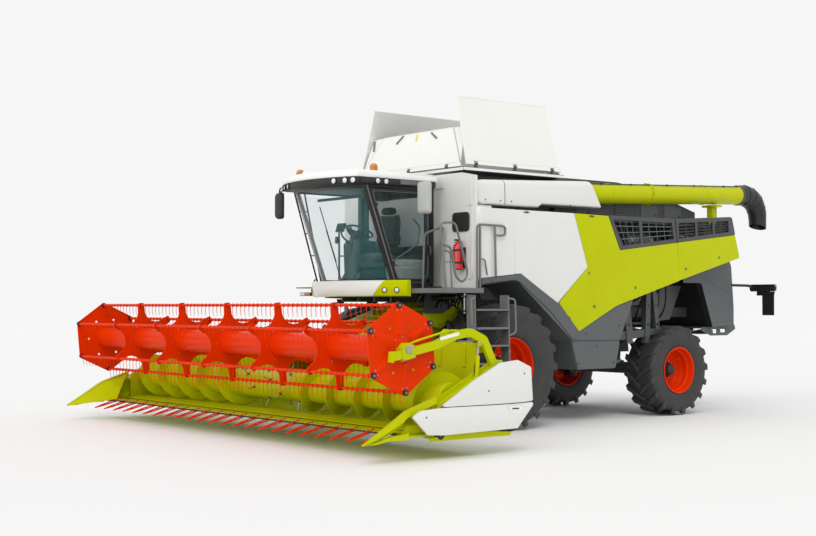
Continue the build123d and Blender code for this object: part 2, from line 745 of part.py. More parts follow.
with BuildPart() as cab_frame:
    loft(sections=[cab_plan(cab_floor, pillar_foot, 0), cab_plan(cab_top, pillar_head, 0)], ruled=True)
    loft(sections=[cab_plan(cab_floor + 30, pillar_at(cab_floor + 30), cab_wall),
                   cab_plan(cab_top - 30, pillar_at(cab_top - 30), cab_wall)], ruled=True,
                   mode=Mode.SUBTRACT)
    with BuildSketch(across(pillar_foot + 20)):
        Polygon(*screen_quad, align=None)
    extrude(amount=1200, mode=Mode.SUBTRACT)
    with BuildSketch(side(-cab_half - 10)):
        Polygon(*side_quad, align=None)
    extrude(amount=100, mode=Mode.SUBTRACT)
    with BuildSketch(side(cab_half - 90)):
        Polygon(*door_quad, align=None)
    extrude(amount=100, mode=Mode.SUBTRACT)
    with BuildSketch(across(cab_rear + 10)):
        Polygon(*rear_quad, align=None)
    extrude(amount=100, mode=Mode.SUBTRACT)
    for z in hinge_heights:
        with BuildSketch(cab_hinge(z, -60)):
            Circle(12)
            with Locations((-4, -24)):
                Rectangle(32, 36)
        extrude(amount=58)
        with BuildSketch(cab_hinge(z, -30)):
            Circle(6)
        extrude(amount=85)
save(cab_frame, "cab_frame")

with BuildPart() as cab_glass:
    loft(sections=[cab_plan(cab_floor, pillar_foot, 20), cab_plan(cab_top, pillar_head, 20)], ruled=True)
    loft(sections=[cab_plan(cab_floor, pillar_foot, 20 + glass_t),
                   cab_plan(cab_top, pillar_head, 20 + glass_t)],
         ruled=True, mode=Mode.SUBTRACT)
    with BuildSketch(across(pillar_foot + 20)):
        Polygon(*screen_quad, align=None)
    extrude(amount=1200, mode=Mode.INTERSECT)
    with BuildSketch(side(-cab_half + 20)):
        Polygon(*side_quad, align=None)
    extrude(amount=glass_t)
    with BuildSketch(across(cab_rear - 20)):
        Polygon(*rear_quad, align=None)
    extrude(amount=glass_t)
save(cab_glass, "cab_glass")

door_gap = 7
leaf_head = head + 18       # lower than its opening, because the hinge line leans and lifts the leaf
leaf_quad = ((pillar_at(door_foot) + 60, door_foot), (cab_rear - 60, door_foot), (cab_rear - 60, leaf_head),
             (pillar_at(leaf_head) + 60, leaf_head))
door_rim = 55
door_t = 30
mirror_z = 3310
with BuildPart() as cab_door:
    with BuildSketch(side(cab_half - door_t)):
        Polygon(*leaf_quad, align=None)
        offset(amount=-door_gap, kind=Kind.INTERSECTION, mode=Mode.REPLACE)
        offset(amount=-door_rim, kind=Kind.INTERSECTION, mode=Mode.SUBTRACT)
    extrude(amount=door_t)
    for z in hinge_heights:
        with BuildSketch(cab_hinge(z, 0)):
            Circle(12)
            with Locations((-4, 26)):
                Rectangle(32, 40)
        extrude(amount=52)
        with BuildSketch(cab_hinge(z, -1)):
            Circle(6 + pin_fit)
        extrude(amount=54, mode=Mode.SUBTRACT)
    # mirror on its arm at the door's rear edge
    with BuildSketch(level(3400)):
        Polygon((cab_half - 5, -800), (cab_half - 5, -770), (1250, -1110), (1250, -1145), align=None)
    extrude(amount=26)
    with BuildSketch(level(mirror_z - 160)):
        with Locations(Location((1290, -1160), -20)):
            Rectangle(230, 70)
    extrude(amount=320)
save(cab_door, "cab_door")

with BuildPart() as cab_door_glass:
    with BuildSketch(side(cab_half - door_t + 12)):
        Polygon(*leaf_quad, align=None)
        offset(amount=-door_gap - door_rim, kind=Kind.INTERSECTION, mode=Mode.REPLACE)
    extrude(amount=glass_t)
save(cab_door_glass, "cab_door_glass")

roof_half = 950
roof_front = -2360
with BuildPart() as cab_roof:
    with BuildSketch(level(cab_top)):
        with BuildLine():
            Polyline((roof_half, -2120), (roof_half, cab_rear), (-roof_half, cab_rear), (-roof_half, -2120))
            ThreePointArc((-roof_half, -2120), (0, roof_front), (roof_half, -2120))
        make_face()
    extrude(amount=180)
    chamfer(edges().group_by(Axis.Z)[-1], 45)
    # two beacons and the right-hand mirror with its arm
    for spot in ((-870, -1900), (560, -1560)):
        with BuildSketch(level(cab_top + 180)):
            with Locations(spot):
                Circle(60)
        extrude(amount=140)
    with BuildSketch(level(cab_top + 20)):
        Polygon((-roof_half + 5, -2100), (-roof_half + 5, -2060), (-1330, -1900), (-1330, -1930),
                align=None)
    extrude(amount=26)
    with BuildSketch(level(3130)):
        with Locations((-1300, -1900)):
            Rectangle(210, 80)
    extrude(amount=cab_top + 20 - 3130)
save(cab_roof, "cab_roof")

with BuildPart() as cab_base:
    with BuildSketch(level(1900)):
        Polygon((-cab_half, pillar_foot), (cab_half, pillar_foot), (cab_half, tank_front - 40),
                (-cab_half, tank_front - 40),
                align=None)
    extrude(amount=cab_floor - 1900)
    # bowed bumper under the windscreen
    with BuildSketch(level(1940)):
        with BuildLine():
            Polyline((1180, -1400), (1180, -1330), (-1180, -1330), (-1180, -1400))
            ThreePointArc((-1180, -1400), (0, -1790), (1180, -1400))
        make_face()
    extrude(amount=150)
save(cab_base, "cab_base")

floor_z = cab_floor + 30
with BuildPart() as cab_interior:
    # chair pedestal, right-hand console, and the steering column
    with BuildSketch(level(floor_z)):
        with Locations((0, -1010)):
            Rectangle(420, 420)
    extrude(amount=330)
    with BuildSketch(side(-470)):
        Polygon((-1300, floor_z), (-760, floor_z), (-760, 2780), (-1240, 2820), (-1330, 2740), align=None)
    extrude(amount=200)
    with BuildSketch(side(-60)):
        Polygon((-1540, floor_z), (-1420, floor_z), (-1370, 2780), (-1450, 2800), align=None)
    extrude(amount=120)
save(cab_interior, "cab_interior")

with BuildPart() as driver_cushion:
    with BuildSketch(side(-250)):
        Polygon((-1270, floor_z + 330.3), (-800, floor_z + 330.3), (-770, 3200), (-880, 3220),
                (-930, 2620), (-1270, 2610),
                align=None)
    extrude(amount=500)
save(driver_cushion, "driver_cushion")

# --------------------------------------------------------- unloading auger
slope = math.radians(tube_slope)
tube_dir = Vector(0, math.cos(slope), math.sin(slope))


def tube_plane(s):
    """Plane square to the unloading tube where its axis passes station s."""
    height = tube_z0 + (s - unload_s) * math.tan(slope)
    return Plane(origin=(unload_x, axle_y + s, height + lift), x_dir=(1, 0, 0), z_dir=tube_dir)


# the tube is filled by the screw that runs in it
with BuildPart() as unload_tube:
    with BuildSketch(tube_plane(unload_s + 120)):
        Circle(tube_r)
    extrude(amount=tube_end - unload_s - 120)
    with BuildSketch(tube_plane(3600)):
        Circle(tube_r + 14)
    extrude(amount=40)
save(unload_tube, "unloading_tube")

hood_low = deck_top + 111
with BuildPart() as unload_hood:
    with BuildSketch(level(hood_low)):
        with Locations((unload_x, unload_s)):
            Circle(hood_r)
        with Locations((unload_x, unload_s + 1100)):
            Rectangle(2 * hood_r, 2200)
    extrude(amount=3756 - hood_low)
    # the roof falls to the front; the tail is cut on the slant and raised
    with BuildSketch(side(unload_x - hood_r - 10)):
        Polygon((-400, 3660), (2150, 3760), (2150, 3900), (-400, 3900), align=None)
        Polygon((1770, 3900), (2130, 3200), (2300, 3200), (2300, 3900), align=None)
        Polygon((900, 3200), (900, 3345), (2300, 3345), (2300, 3200), align=None)
    extrude(amount=2 * hood_r + 20, mode=Mode.SUBTRACT)
    with BuildSketch(tube_plane(unload_s + 119)):
        Circle(tube_r)
    extrude(amount=2600, mode=Mode.SUBTRACT)
save(unload_hood, "unloading_hood")

spout_half = tube_r + 8
end_z = tube_z0 + (tube_end - unload_s) * math.tan(slope)
with BuildPart() as spout:
    with BuildSketch(side(unload_x - spout_half)):
        with BuildLine():
            Polyline((6620, 3330), (6400, 3170), (6210, 3560), (6200, end_z + spout_half),
                     (6380, end_z + spout_half - 5))
            ThreePointArc((6380, end_z + spout_half - 5), (6700, 3760), (rear_reach - 5, 3440))
            Line((rear_reach - 5, 3440), (6620, 3330))
        make_face()
    extrude(amount=2 * spout_half)
    with BuildSketch(side(unload_x - spout_half + 8)):
        with BuildLine():
            Polyline((6630, 3230), (6390, 3140), (6225, 3570), (6212, end_z + tube_r),
                     (6370, end_z + tube_r - 8))
            ThreePointArc((6370, end_z + tube_r - 8), (6680, 3740), (rear_reach - 13, 3430))
            Line((rear_reach - 13, 3430), (6630, 3230))
        make_face()
    extrude(amount=2 * spout_half - 16, mode=Mode.SUBTRACT)
    with BuildSketch(tube_plane(6150)):
        Circle(tube_r)
    extrude(amount=tube_end - 6150, mode=Mode.SUBTRACT)
save(spout, "unloading_spout")

# ------------------------------------------------------------------- header
mouth_half = 650
channel_end = feeder_s + 300    # the crop channel runs out through the drum housing
with BuildPart() as feeder_house:
    with BuildSketch(side(-feeder_half)):
        with Locations((feeder_s, feeder_z)):
            Circle(280)
        Polygon((feeder_s, feeder_z + 280), (-2300, 1130), (-2300, 560), (feeder_s, feeder_z - 280),
                align=None)
    extrude(amount=2 * feeder_half)
    with BuildSketch(side(-mouth_half)):
        Polygon((channel_end, 1926), (-2310, 1110), (-2310, 600), (channel_end, 1468), align=None)
    extrude(amount=2 * mouth_half, mode=Mode.SUBTRACT)
    # hinge stubs into the frame posts, and lugs for the lift cylinders
    for hand, sign in sides:
        with BuildSketch(side(sign * feeder_half)):
            with Locations((feeder_s, feeder_z)):
                Circle(stub_r)
        extrude(amount=sign * (core_half + 60 - feeder_half))
        for edge in (-1, 1):
            with BuildSketch(side(sign * header_ram_x + edge * (header_rod_r + 12) - 8)):
                Polygon((-1730, 740), (-1730, 660), (-1590, 660), (-1500, 780), (-1500, 860),
                        (-1700, 860), align=None)
            extrude(amount=16)
save(feeder_house, "feeder_house")

beam = 120
floor_t = 8
table_t = 12
skid_low = 222
skid_top = knife_z - table_t - 0.5


def round_auger(radius, angle):
    """Place on a circle round the intake auger, angle down from its rear side."""
    turn = math.radians(angle)
    return (auger_s + radius * math.cos(turn), auger_z - radius * math.sin(turn))


with BuildPart() as header_frame:
    with BuildSketch(side(-wall_x)):
        # back wall with its top beam, and the bottom beam behind the trough
        Polygon((back_s, auger_z), (back_s, 1360), (back_s + beam, 1360), (back_s + beam, 1240),
                (back_s + 10, 1240),
                (back_s + 10, auger_z), align=None)
        Polygon((back_s - 70, skid_low + 30), (back_s + 170, skid_low + 30), (back_s + 170, 500),
                (back_s + 20, 640),
                (back_s - 70, 430), align=None)
        # trough under the auger and the lip in front of it
        with BuildLine():
            ThreePointArc((back_s, auger_z), round_auger(trough_r, 45), round_auger(trough_r, 115))
            Polyline(round_auger(trough_r, 115), (-3250, 332), (-3250, 322),
                     round_auger(trough_r + floor_t, 115))
            ThreePointArc(round_auger(trough_r + floor_t, 115), round_auger(trough_r + floor_t, 45),
                          round_auger(trough_r + floor_t, 0))
            Line(round_auger(trough_r + floor_t, 0), (back_s, auger_z))
        make_face()
    extrude(amount=2 * wall_x)
    with BuildSketch(side(-mouth_half)):
        Polygon((back_s - 20, 590), (back_s + 20, 590), (back_s + 20, 1090), (back_s - 20, 1090),
                align=None)
    extrude(amount=2 * mouth_half, mode=Mode.SUBTRACT)
    # uprights that hook onto the feeder house
    for hand, sign in sides:
        with BuildSketch(side(sign * mouth_half)):
            Polygon((back_s, 640), (back_s + 170, 500), (-2300, 500), (-2300, 1130),
                    (back_s + beam, 1240), (back_s, 1240),
                    align=None)
        extrude(amount=sign * 100)
    # skids, which the sliding table runs on
    for spot in between(-wall_x + 150, wall_x - 150, 6):
        with BuildSketch(side(spot - 50)):
            Polygon((-3150, 245), (-3060, skid_low), (back_s + 170, skid_low), (back_s + 170, skid_top),
                    (-3150, skid_top), align=None)
        extrude(amount=100)
    # side walls with the reel arms' pivot pins
    for hand, sign in sides:
        with BuildSketch(side(sign * wall_x)):
            Polygon((-3150, 345), (-3150, 700), (-2230, 1150), (-2120, 1150), (-2120, skid_low + 30),
                    (back_s, skid_low + 30),
                    (-2900, 345), align=None)
        extrude(amount=sign * wall_t)
        with BuildSketch(side(sign * wall_x)):
            with Locations((arm_s, arm_z)):
                Circle(30)
        extrude(amount=sign * (arm_x + arm_w + 8 - wall_x))
        with BuildSketch(side(sign * wall_x)):
            with Locations(reel_ram_foot):
                Circle(20)
        extrude(amount=sign * (arm_x + arm_w / 2 - reel_ram_r - 0.5 - wall_x))
save(header_frame, "header_frame")

cover_in = header_half - 28
cover_w = 95
with BuildPart() as side_covers:
    for hand, sign in sides:
        with BuildSketch(side(sign * cover_in)):
            Polygon((-3626, 532), (-3222, 624), (-2680, 919), (-2240, 1140), (-1951, 1151), (-1741, 1059),
                    (-1696, 590),
                    (-1954, 312), (-3165, 292), (-3367, 306), align=None)
        extrude(amount=sign * cover_w)
        # spacers that hold the cover off the side wall
        for spot in ((-3050, 480), (-2200, 480)):
            with BuildSketch(side(sign * (wall_x + wall_t))):
                with Locations(spot):
                    Rectangle(80, 80)
            extrude(amount=sign * (cover_in - wall_x - wall_t))
save(side_covers, "header_side_covers")

auger_half = wall_x - 45
flight_t = 8
with BuildPart() as intake_auger:
    with BuildSketch(side(-auger_half)):
        with Locations((auger_s, auger_z)):
            Circle(auger_tube_r)
    extrude(amount=2 * auger_half)
    turns = int((auger_half - mouth_half) / auger_pitch) + 1
    for hand, sign in sides:
        for k in range(turns):
            with BuildSketch(side(sign * (auger_half - 30 - k * auger_pitch))):
                with Locations((auger_s, auger_z)):
                    Circle(auger_r)
            extrude(amount=-sign * flight_t)
        with BuildSketch(side(sign * auger_half)):
            with Locations((auger_s, auger_z)):
                Circle(45)
        extrude(amount=sign * (wall_x - auger_half - 0.5))
save(intake_auger, "intake_auger")

# Sliding table with the knife, the crop lifters and the dividers
table_half = wall_x - 15
divider_x = arm_x - 5
lifter_count = int((2 * table_half - 200) / lifter_step) + 1
lifter_half = (lifter_count - 1) * lifter_step / 2
with BuildPart() as cutter_table:
    with BuildSketch(side(-table_half)):
        Polygon((knife_s + 20, knife_z - table_t), (back_s - 150, knife_z - table_t),
                (back_s - 150, knife_z),
                (knife_s + 20, knife_z), align=None)
        Polygon((knife_s - 60, knife_z - 6), (knife_s + 40, knife_z - 20), (knife_s + 40, knife_z + 12),
                (knife_s - 60, knife_z + 2), align=None)
    extrude(amount=2 * table_half)
    for spot in between(-lifter_half, lifter_half, lifter_count):
        with BuildSketch(side(spot - 9)):
            Polygon((knife_s - 350, 205), (knife_s - 335, 196), (knife_s + 10, knife_z - 18),
                    (knife_s + 10, knife_z + 4),
                    (knife_s - 250, 262), align=None)
        extrude(amount=18)
    for hand, sign in sides:
        with BuildSketch(side(sign * table_half)):
            Polygon((knife_s - 60, knife_z - 30), (-3170, knife_z - 30), (-3170, knife_z),
                    (knife_s - 60, knife_z + 20),
                    align=None)
        extrude(amount=sign * (divider_x - table_half + 10))
        with BuildSketch(side(sign * divider_x)):
            Polygon((-front_reach, 229), (-3900, 268), (-3560, 262), (-3432, 282), (-3170, 282),
                    (-3170, 745),
                    (-3627, 596), (-front_reach, 243), align=None)
        extrude(amount=sign * (header_half - divider_x))
        # the divider narrows to its point on the outside
        with BuildSketch(level(100)):
            Polygon((sign * (divider_x - 2), -front_reach - 10), (sign * (divider_x - 2), -3500),
                    (sign * (header_half - 20), -front_reach - 10), align=None)
        extrude(amount=800, mode=Mode.SUBTRACT)
        # its rear half slides inside the side cover
        with BuildSketch(side(sign * (cover_in - 6))):
            Polygon((-3640, 200), (-3100, 200), (-3100, 800), (-3640, 800), align=None)
        extrude(amount=sign * 60, mode=Mode.SUBTRACT)
save(cutter_table, "cutter_table")

# --------------------------------------------------------------------- reel
arm_h = 100
slide_p = (-3180, 1350)
slide_q = (-3840, 1224)
slide_dir = Vector(0, slide_q[0] - slide_p[0], slide_q[1] - slide_p[1]).normalized()
slide_tilt = math.degrees(math.atan2(slide_q[1] - slide_p[1], slide_q[0] - slide_p[0]))
with BuildPart() as reel_arms:
    for hand, sign in sides:
        with BuildSketch(side(sign * arm_x)):
            with BuildLine() as bow:
                FilletPolyline(slide_q, slide_p, (-2870, 1462), (-2640, 1492), (-2420, 1400),
                               (arm_s, arm_z), radius=90)
            trace(bow.line, line_width=arm_h)
            with Locations((arm_s, arm_z)):
                Circle(60)
                Circle(30 + pin_fit, mode=Mode.SUBTRACT)
        extrude(amount=sign * arm_w)
save(reel_arms, "reel_arms")

carrier_len = 180
carrier_x = header_half - 148
with BuildPart() as reel_carriers:
    for hand, sign in sides:
        slide_mid = (reel_s, line_at(reel_s, slide_p, slide_q))
        with BuildSketch(side(sign * (carrier_x + 5))):
            with Locations(Location(slide_mid, slide_tilt)):
                Rectangle(carrier_len, arm_h + 50)
            with Locations((reel_s, reel_z)):
                Circle(75)
        extrude(amount=sign * (arm_x + arm_w + 10 - carrier_x - 5))
        with BuildSketch(side(sign * (arm_x - 1))):
            with Locations(Location(slide_mid, slide_tilt)):
                Rectangle(carrier_len + 200, arm_h + 2)
        extrude(amount=sign * (arm_w + 2), mode=Mode.SUBTRACT)
save(reel_carriers, "reel_carriers")

plate_x = header_half - 172     # inner face of an end plate
bar_angles = [90 + reel_phase - 60 * k for k in range(6)]


def bar_centre(angle):
    """Station and height of a tine bar at an angle round the reel."""
    turn = math.radians(angle)
    return (reel_s + reel_r * math.cos(turn), reel_z + reel_r * math.sin(turn))


with BuildPart() as reel:
    with BuildSketch(side(-plate_x)):
        with Locations((reel_s, reel_z)):
            Circle(reel_tube_r)
    extrude(amount=2 * plate_x)
    for spot in between(-plate_x, plate_x, reel_bays + 1):
        outer = abs(spot) > plate_x - 1
        with BuildSketch(side(spot - reel_plate / 2)):
            with Locations(Location((reel_s, reel_z), 90 + reel_phase)):
                RegularPolygon(reel_r + 40, 6)
            if not outer:
                for angle in bar_angles:
                    # open bows between the six arms of an inner spider
                    middle = math.radians(angle + 30)
                    with Locations((reel_s + 0.98 * reel_r * math.cos(middle),
                                    reel_z + 0.98 * reel_r * math.sin(middle))):
                        Circle(0.40 * reel_r, mode=Mode.SUBTRACT)
            for angle in bar_angles:
                with Locations(bar_centre(angle)):
                    Circle(reel_bar_r + 1, mode=Mode.SUBTRACT)
        extrude(amount=reel_plate)
    for hand, sign in sides:
        with BuildSketch(side(sign * plate_x)):
            with Locations((reel_s, reel_z)):
                Circle(40)
        extrude(amount=sign * (carrier_x + 5 - plate_x - 0.5))
save(reel, "reel")

for k, angle in enumerate(bar_angles):
    with BuildPart() as bar:
        with BuildSketch(side(-plate_x - reel_plate)):
            with Locations(bar_centre(angle)):
                Circle(reel_bar_r)
        extrude(amount=2 * (plate_x + reel_plate))
    save(bar, "reel_bar_" + str(k + 1))

# ---------------------------------------------------------- lift cylinders
bore_floor = 60         # bottom of a barrel's bore
rod_travel = 50         # room for the rod to go further in
# cylinder set: name, X, foot (station, height), head (station, height), barrel and rod radius
cylinder_rows = (
    ("header_lift", header_ram_x, header_ram_foot, header_ram_head, header_ram_r, header_rod_r),
    ("reel_lift", arm_x + arm_w / 2, reel_ram_foot, reel_ram_head, reel_ram_r, reel_rod_r),
)
for label, x, foot, top, barrel_r, rod_r in cylinder_rows:
    run = Vector(0, top[0] - foot[0], top[1] - foot[1])
    length = run.length
    for piece in ("barrels", "rods"):
        with BuildPart() as cylinder:
            for hand, sign in sides:
                start = Vector(sign * x, axle_y + foot[0], foot[1] + lift)
                axis_dir = run.normalized()
                if piece == "barrels":
                    with BuildSketch(Plane(origin=start, x_dir=(1, 0, 0), z_dir=axis_dir)):
                        Circle(barrel_r)
                    extrude(amount=0.68 * length)
                    if label == "header_lift":
                        # eye and pin between the lugs on the axle
                        for radius, half in ((header_ram_r - 5, header_ram_r),
                                             (header_ram_pin_r, header_ram_r + header_ram_lug + 5)):
                            with BuildSketch(side(sign * x - half)):
                                with Locations(foot):
                                    Circle(radius)
                            extrude(amount=2 * half)
                    bore = Plane(origin=start + axis_dir * bore_floor, x_dir=(1, 0, 0), z_dir=axis_dir)
                    with BuildSketch(bore):
                        Circle(rod_r + pin_fit)
                    extrude(amount=length, mode=Mode.SUBTRACT)
                else:
                    inner_end = bore_floor + rod_travel
                    with BuildSketch(Plane(origin=start + axis_dir * inner_end, x_dir=(1, 0, 0),
                                           z_dir=axis_dir)):
                        Circle(rod_r)
                    extrude(amount=length - inner_end)
        save(cylinder, label + "_" + piece)
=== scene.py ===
"""Looks of the combine harvester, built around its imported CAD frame."""
import math
import random

import bmesh
import bpy
from math import cos, pi, radians, sin
from mathutils import Matrix, Vector
from mathutils.geometry import delaunay_2d_cdt, tessellate_polygon


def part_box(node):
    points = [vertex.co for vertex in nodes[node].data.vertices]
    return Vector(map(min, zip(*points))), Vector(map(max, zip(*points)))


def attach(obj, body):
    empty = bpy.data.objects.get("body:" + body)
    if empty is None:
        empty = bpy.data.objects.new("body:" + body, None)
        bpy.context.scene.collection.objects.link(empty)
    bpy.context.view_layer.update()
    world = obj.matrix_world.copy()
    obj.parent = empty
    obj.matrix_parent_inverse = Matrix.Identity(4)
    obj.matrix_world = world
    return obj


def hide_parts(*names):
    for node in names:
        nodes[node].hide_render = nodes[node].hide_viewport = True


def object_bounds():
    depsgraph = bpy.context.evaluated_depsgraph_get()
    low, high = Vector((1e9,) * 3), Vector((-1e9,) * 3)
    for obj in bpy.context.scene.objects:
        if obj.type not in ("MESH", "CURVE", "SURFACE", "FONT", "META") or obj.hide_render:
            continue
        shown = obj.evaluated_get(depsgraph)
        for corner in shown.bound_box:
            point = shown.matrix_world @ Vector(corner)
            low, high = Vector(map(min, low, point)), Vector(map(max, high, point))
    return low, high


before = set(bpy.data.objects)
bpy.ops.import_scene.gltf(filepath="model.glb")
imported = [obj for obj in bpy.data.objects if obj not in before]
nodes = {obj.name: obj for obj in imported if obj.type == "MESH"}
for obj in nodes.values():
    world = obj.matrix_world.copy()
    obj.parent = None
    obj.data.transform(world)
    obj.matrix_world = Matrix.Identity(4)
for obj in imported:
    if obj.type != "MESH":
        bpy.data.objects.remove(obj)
cad_low, cad_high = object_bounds()

# The station s of a point is its distance behind the front axle
wheel_low, wheel_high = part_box("wheel_front_left")
AXLE_Y = (wheel_low.y + wheel_high.y) / 2
SIDES = (("left", 1), ("right", -1))
# Axes: away from the middle on the side in hand, towards the rear, upwards
OUT, BACK, UP = (1, 0, 0), (0, 1, 0), (0, 0, 1)


def at(x, s, z):
    """Point of the row frame from X, station and height."""
    return Vector((x, s + AXLE_Y, z))


def track(x, *points):
    """Points in one plane across X, each from its station and height."""
    return [at(x, s, z) for s, z in points]


def rect(u0, u1, v0, v1):
    """Outline of a rectangle."""
    return [(u0, v0), (u1, v0), (u1, v1), (u0, v1)]


# ----------------------------------------------------------------- materials
def linear(srgb):
    """Linear colour of an 8-bit sRGB triple."""
    out = []
    for c in srgb:
        c = c / 255
        out.append(c / 12.92 if c <= 0.04045 else ((c + 0.055) / 1.055) ** 2.4)
    return (*out, 1)


def noise(tree, place, scale, detail):
    """Noise over the given coordinates."""
    node = tree.nodes.new("ShaderNodeTexNoise")
    node.inputs["Scale"].default_value = scale
    node.inputs["Detail"].default_value = detail
    tree.links.new(place, node.inputs["Vector"])
    return node.outputs["Fac"]


def material(name, srgb, rough=0.4, metal=0.0, coat=0.0, grain=200, grain_depth=0.0004, mottle=0.06, mottle_scale=2.5,
        rough_spread=0.1, dust=0.0, dust_rgb=(150, 140, 120), streak=None, alpha=None, sheen=0.0, specular=0.5,
        tint=None):
    """Procedural surface: mottled colour, uneven gloss, fine grain in the bump and dust low down."""
    mat = bpy.data.materials.new(name)
    mat.use_nodes = True
    tree = mat.node_tree
    new, link = tree.nodes.new, tree.links.new
    shader = tree.nodes["Principled BSDF"]
    shader.inputs["Metallic"].default_value = metal
    shader.inputs["Coat Weight"].default_value = coat
    shader.inputs["Coat Roughness"].default_value = 0.12
    shader.inputs["Specular IOR Level"].default_value = specular
    if tint:
        shader.inputs["Specular Tint"].default_value = linear(tint)
    shader.inputs["Sheen Weight"].default_value = sheen
    if alpha is not None:
        shader.inputs["Alpha"].default_value = alpha
    place = new("ShaderNodeTexCoord").outputs["Object"]
    if streak:
        stretch = new("ShaderNodeMapping")
        stretch.inputs["Scale"].default_value = streak
        link(place, stretch.inputs["Vector"])
        streaked = stretch.outputs["Vector"]
    else:
        streaked = place
    cloud = noise(tree, streaked, mottle_scale, 4)
    base = linear(srgb)
    ramp = new("ShaderNodeValToRGB")
    ramp.color_ramp.elements[0].position = 0.3
    ramp.color_ramp.elements[1].position = 0.7
    ramp.color_ramp.elements[0].color = (*(c * (1 - mottle) for c in base[:3]), 1)
    ramp.color_ramp.elements[1].color = (*(min(1, c * (1 + mottle)) for c in base[:3]), 1)
    link(cloud, ramp.inputs["Fac"])
    colour = ramp.outputs["Color"]
    if grain_depth:
        fine = noise(tree, streaked, grain, 3)
    if dust:
        split = new("ShaderNodeSeparateXYZ")
        link(place, split.inputs["Vector"])
        height = new("ShaderNodeMapRange")
        height.inputs["From Min"].default_value = 1.8
        height.inputs["From Max"].default_value = 0.1
        height.inputs["To Min"].default_value = 0.25 * dust
        height.inputs["To Max"].default_value = dust
        link(split.outputs["Z"], height.inputs["Value"])
        patch = noise(tree, place, 9, 8)
        amount = new("ShaderNodeMath")
        amount.operation = "MULTIPLY"
        link(height.outputs["Result"], amount.inputs[0])
        link(patch, amount.inputs[1])
        mix = new("ShaderNodeMix")
        mix.data_type = "RGBA"
        link(amount.outputs["Value"], mix.inputs["Factor"])
        link(colour, mix.inputs["A"])
        mix.inputs["B"].default_value = linear(dust_rgb)
        colour = mix.outputs["Result"]
    link(colour, shader.inputs["Base Color"])
    gloss = new("ShaderNodeMapRange")
    gloss.inputs["To Min"].default_value = max(0.02, rough - rough_spread / 2)
    gloss.inputs["To Max"].default_value = min(1, rough + rough_spread / 2)
    link(cloud, gloss.inputs["Value"])
    link(gloss.outputs["Result"], shader.inputs["Roughness"])
    if grain_depth:
        bump = new("ShaderNodeBump")
        bump.inputs["Strength"].default_value = 0.5
        bump.inputs["Distance"].default_value = grain_depth
        link(fine, bump.inputs["Height"])
        link(bump.outputs["Normal"], shader.inputs["Normal"])
    return mat


def woven(name, srgb):
    """Cloth: two crossed waves give the weave, a noise the wear."""
    pitch = 0.004
    mat = material(name, srgb, rough=0.85, grain=90, grain_depth=0, mottle=0.18, mottle_scale=14, sheen=0.3)
    tree = mat.node_tree
    new, link = tree.nodes.new, tree.links.new
    place = new("ShaderNodeTexCoord").outputs["Object"]
    heights = []
    for axis in ("X", "Z"):
        wave = new("ShaderNodeTexWave")
        wave.bands_direction = axis
        wave.inputs["Scale"].default_value = 0.314 / pitch
        wave.inputs["Distortion"].default_value = 0.6
        link(place, wave.inputs["Vector"])
        heights.append(wave.outputs["Fac"])
    add = new("ShaderNodeMath")
    link(heights[0], add.inputs[0])
    link(heights[1], add.inputs[1])
    bump = new("ShaderNodeBump")
    bump.inputs["Distance"].default_value = 0.0008
    link(add.outputs["Value"], bump.inputs["Height"])
    link(bump.outputs["Normal"], tree.nodes["Principled BSDF"].inputs["Normal"])
    return mat


GREEN = material("green_paint", (188, 196, 0), rough=0.34, coat=0.03, mottle=0.035, dust=0.015, specular=0.3,
    tint=(200, 205, 40))
ROOF = material("roof_white", (240, 241, 238), rough=0.35, coat=0.1, mottle=0.01, dust=0.01)
WHITE = material("white_paint", (227, 228, 224), rough=0.3, coat=0.25, mottle=0.012, dust=0.03)
RED = material("red_paint", (224, 52, 0), rough=0.38, coat=0.02, mottle=0.05, dust=0.01, specular=0.22,
    tint=(235, 90, 40))
DARK = material("dark_paint", (62, 65, 68), rough=0.42, coat=0.1, mottle=0.08, dust=0.12)
CHASSIS = material("chassis_paint", (38, 40, 42), rough=0.5, mottle=0.1, dust=0.1)
GREY = material("grey_paint", (96, 100, 102), rough=0.42, coat=0.1, mottle=0.06, dust=0.12)
PANEL = material("grey_panel", (84, 88, 91), rough=0.5, grain=700, grain_depth=0.0006, mottle=0.05, dust=0.14)
BLACK = material("black_plastic", (30, 31, 33), rough=0.55, grain=900, grain_depth=0.0007, mottle=0.1, dust=0.1)
TRIM = material("black_trim", (20, 21, 22), rough=0.4, grain=600, grain_depth=0.0003, mottle=0.1)
SHEET = material("light_sheet", (236, 237, 232), rough=0.45, coat=0.05, mottle=0.02, mottle_scale=1.2)
STEEL = material("bare_steel", (168, 168, 170), rough=0.32, metal=1.0, mottle=0.12, mottle_scale=6, streak=(0.3, 4, 4),
    grain=120, grain_depth=0.0002)
CAST = material("cast_iron", (58, 60, 62), rough=0.6, metal=0.3, grain=260, grain_depth=0.0015, mottle=0.15)
RUBBER = material("tyre_rubber", (48, 49, 49), rough=0.62, grain=160, grain_depth=0.0012, mottle=0.2, mottle_scale=6,
    dust=0.12, dust_rgb=(96, 94, 90), specular=0.45)
HOSE = material("hose_rubber", (22, 22, 23), rough=0.6, grain=500, grain_depth=0.0004, mottle=0.12)
# windscreen glass: its pale cyan colour is partly the glass's tint and partly a painted reflection of the bright
# surroundings
GLASS = material("windscreen_glass", (120, 205, 210), rough=0.04, rough_spread=0.02, mottle=0.02, grain_depth=0,
    alpha=0.07, specular=0.7)
TINTED = material("side_glass", (40, 90, 85), rough=0.04, rough_spread=0.02, mottle=0.02, grain_depth=0, alpha=0.12,
    specular=0.6)
MIRROR = material("mirror_glass", (205, 210, 212), rough=0.05, rough_spread=0.02, metal=1.0, mottle=0.01, grain_depth=0)
AMBER = material("amber_lens", (205, 118, 22), rough=0.12, coat=0.6, mottle=0.04, grain=60, grain_depth=0.001,
    alpha=0.92)
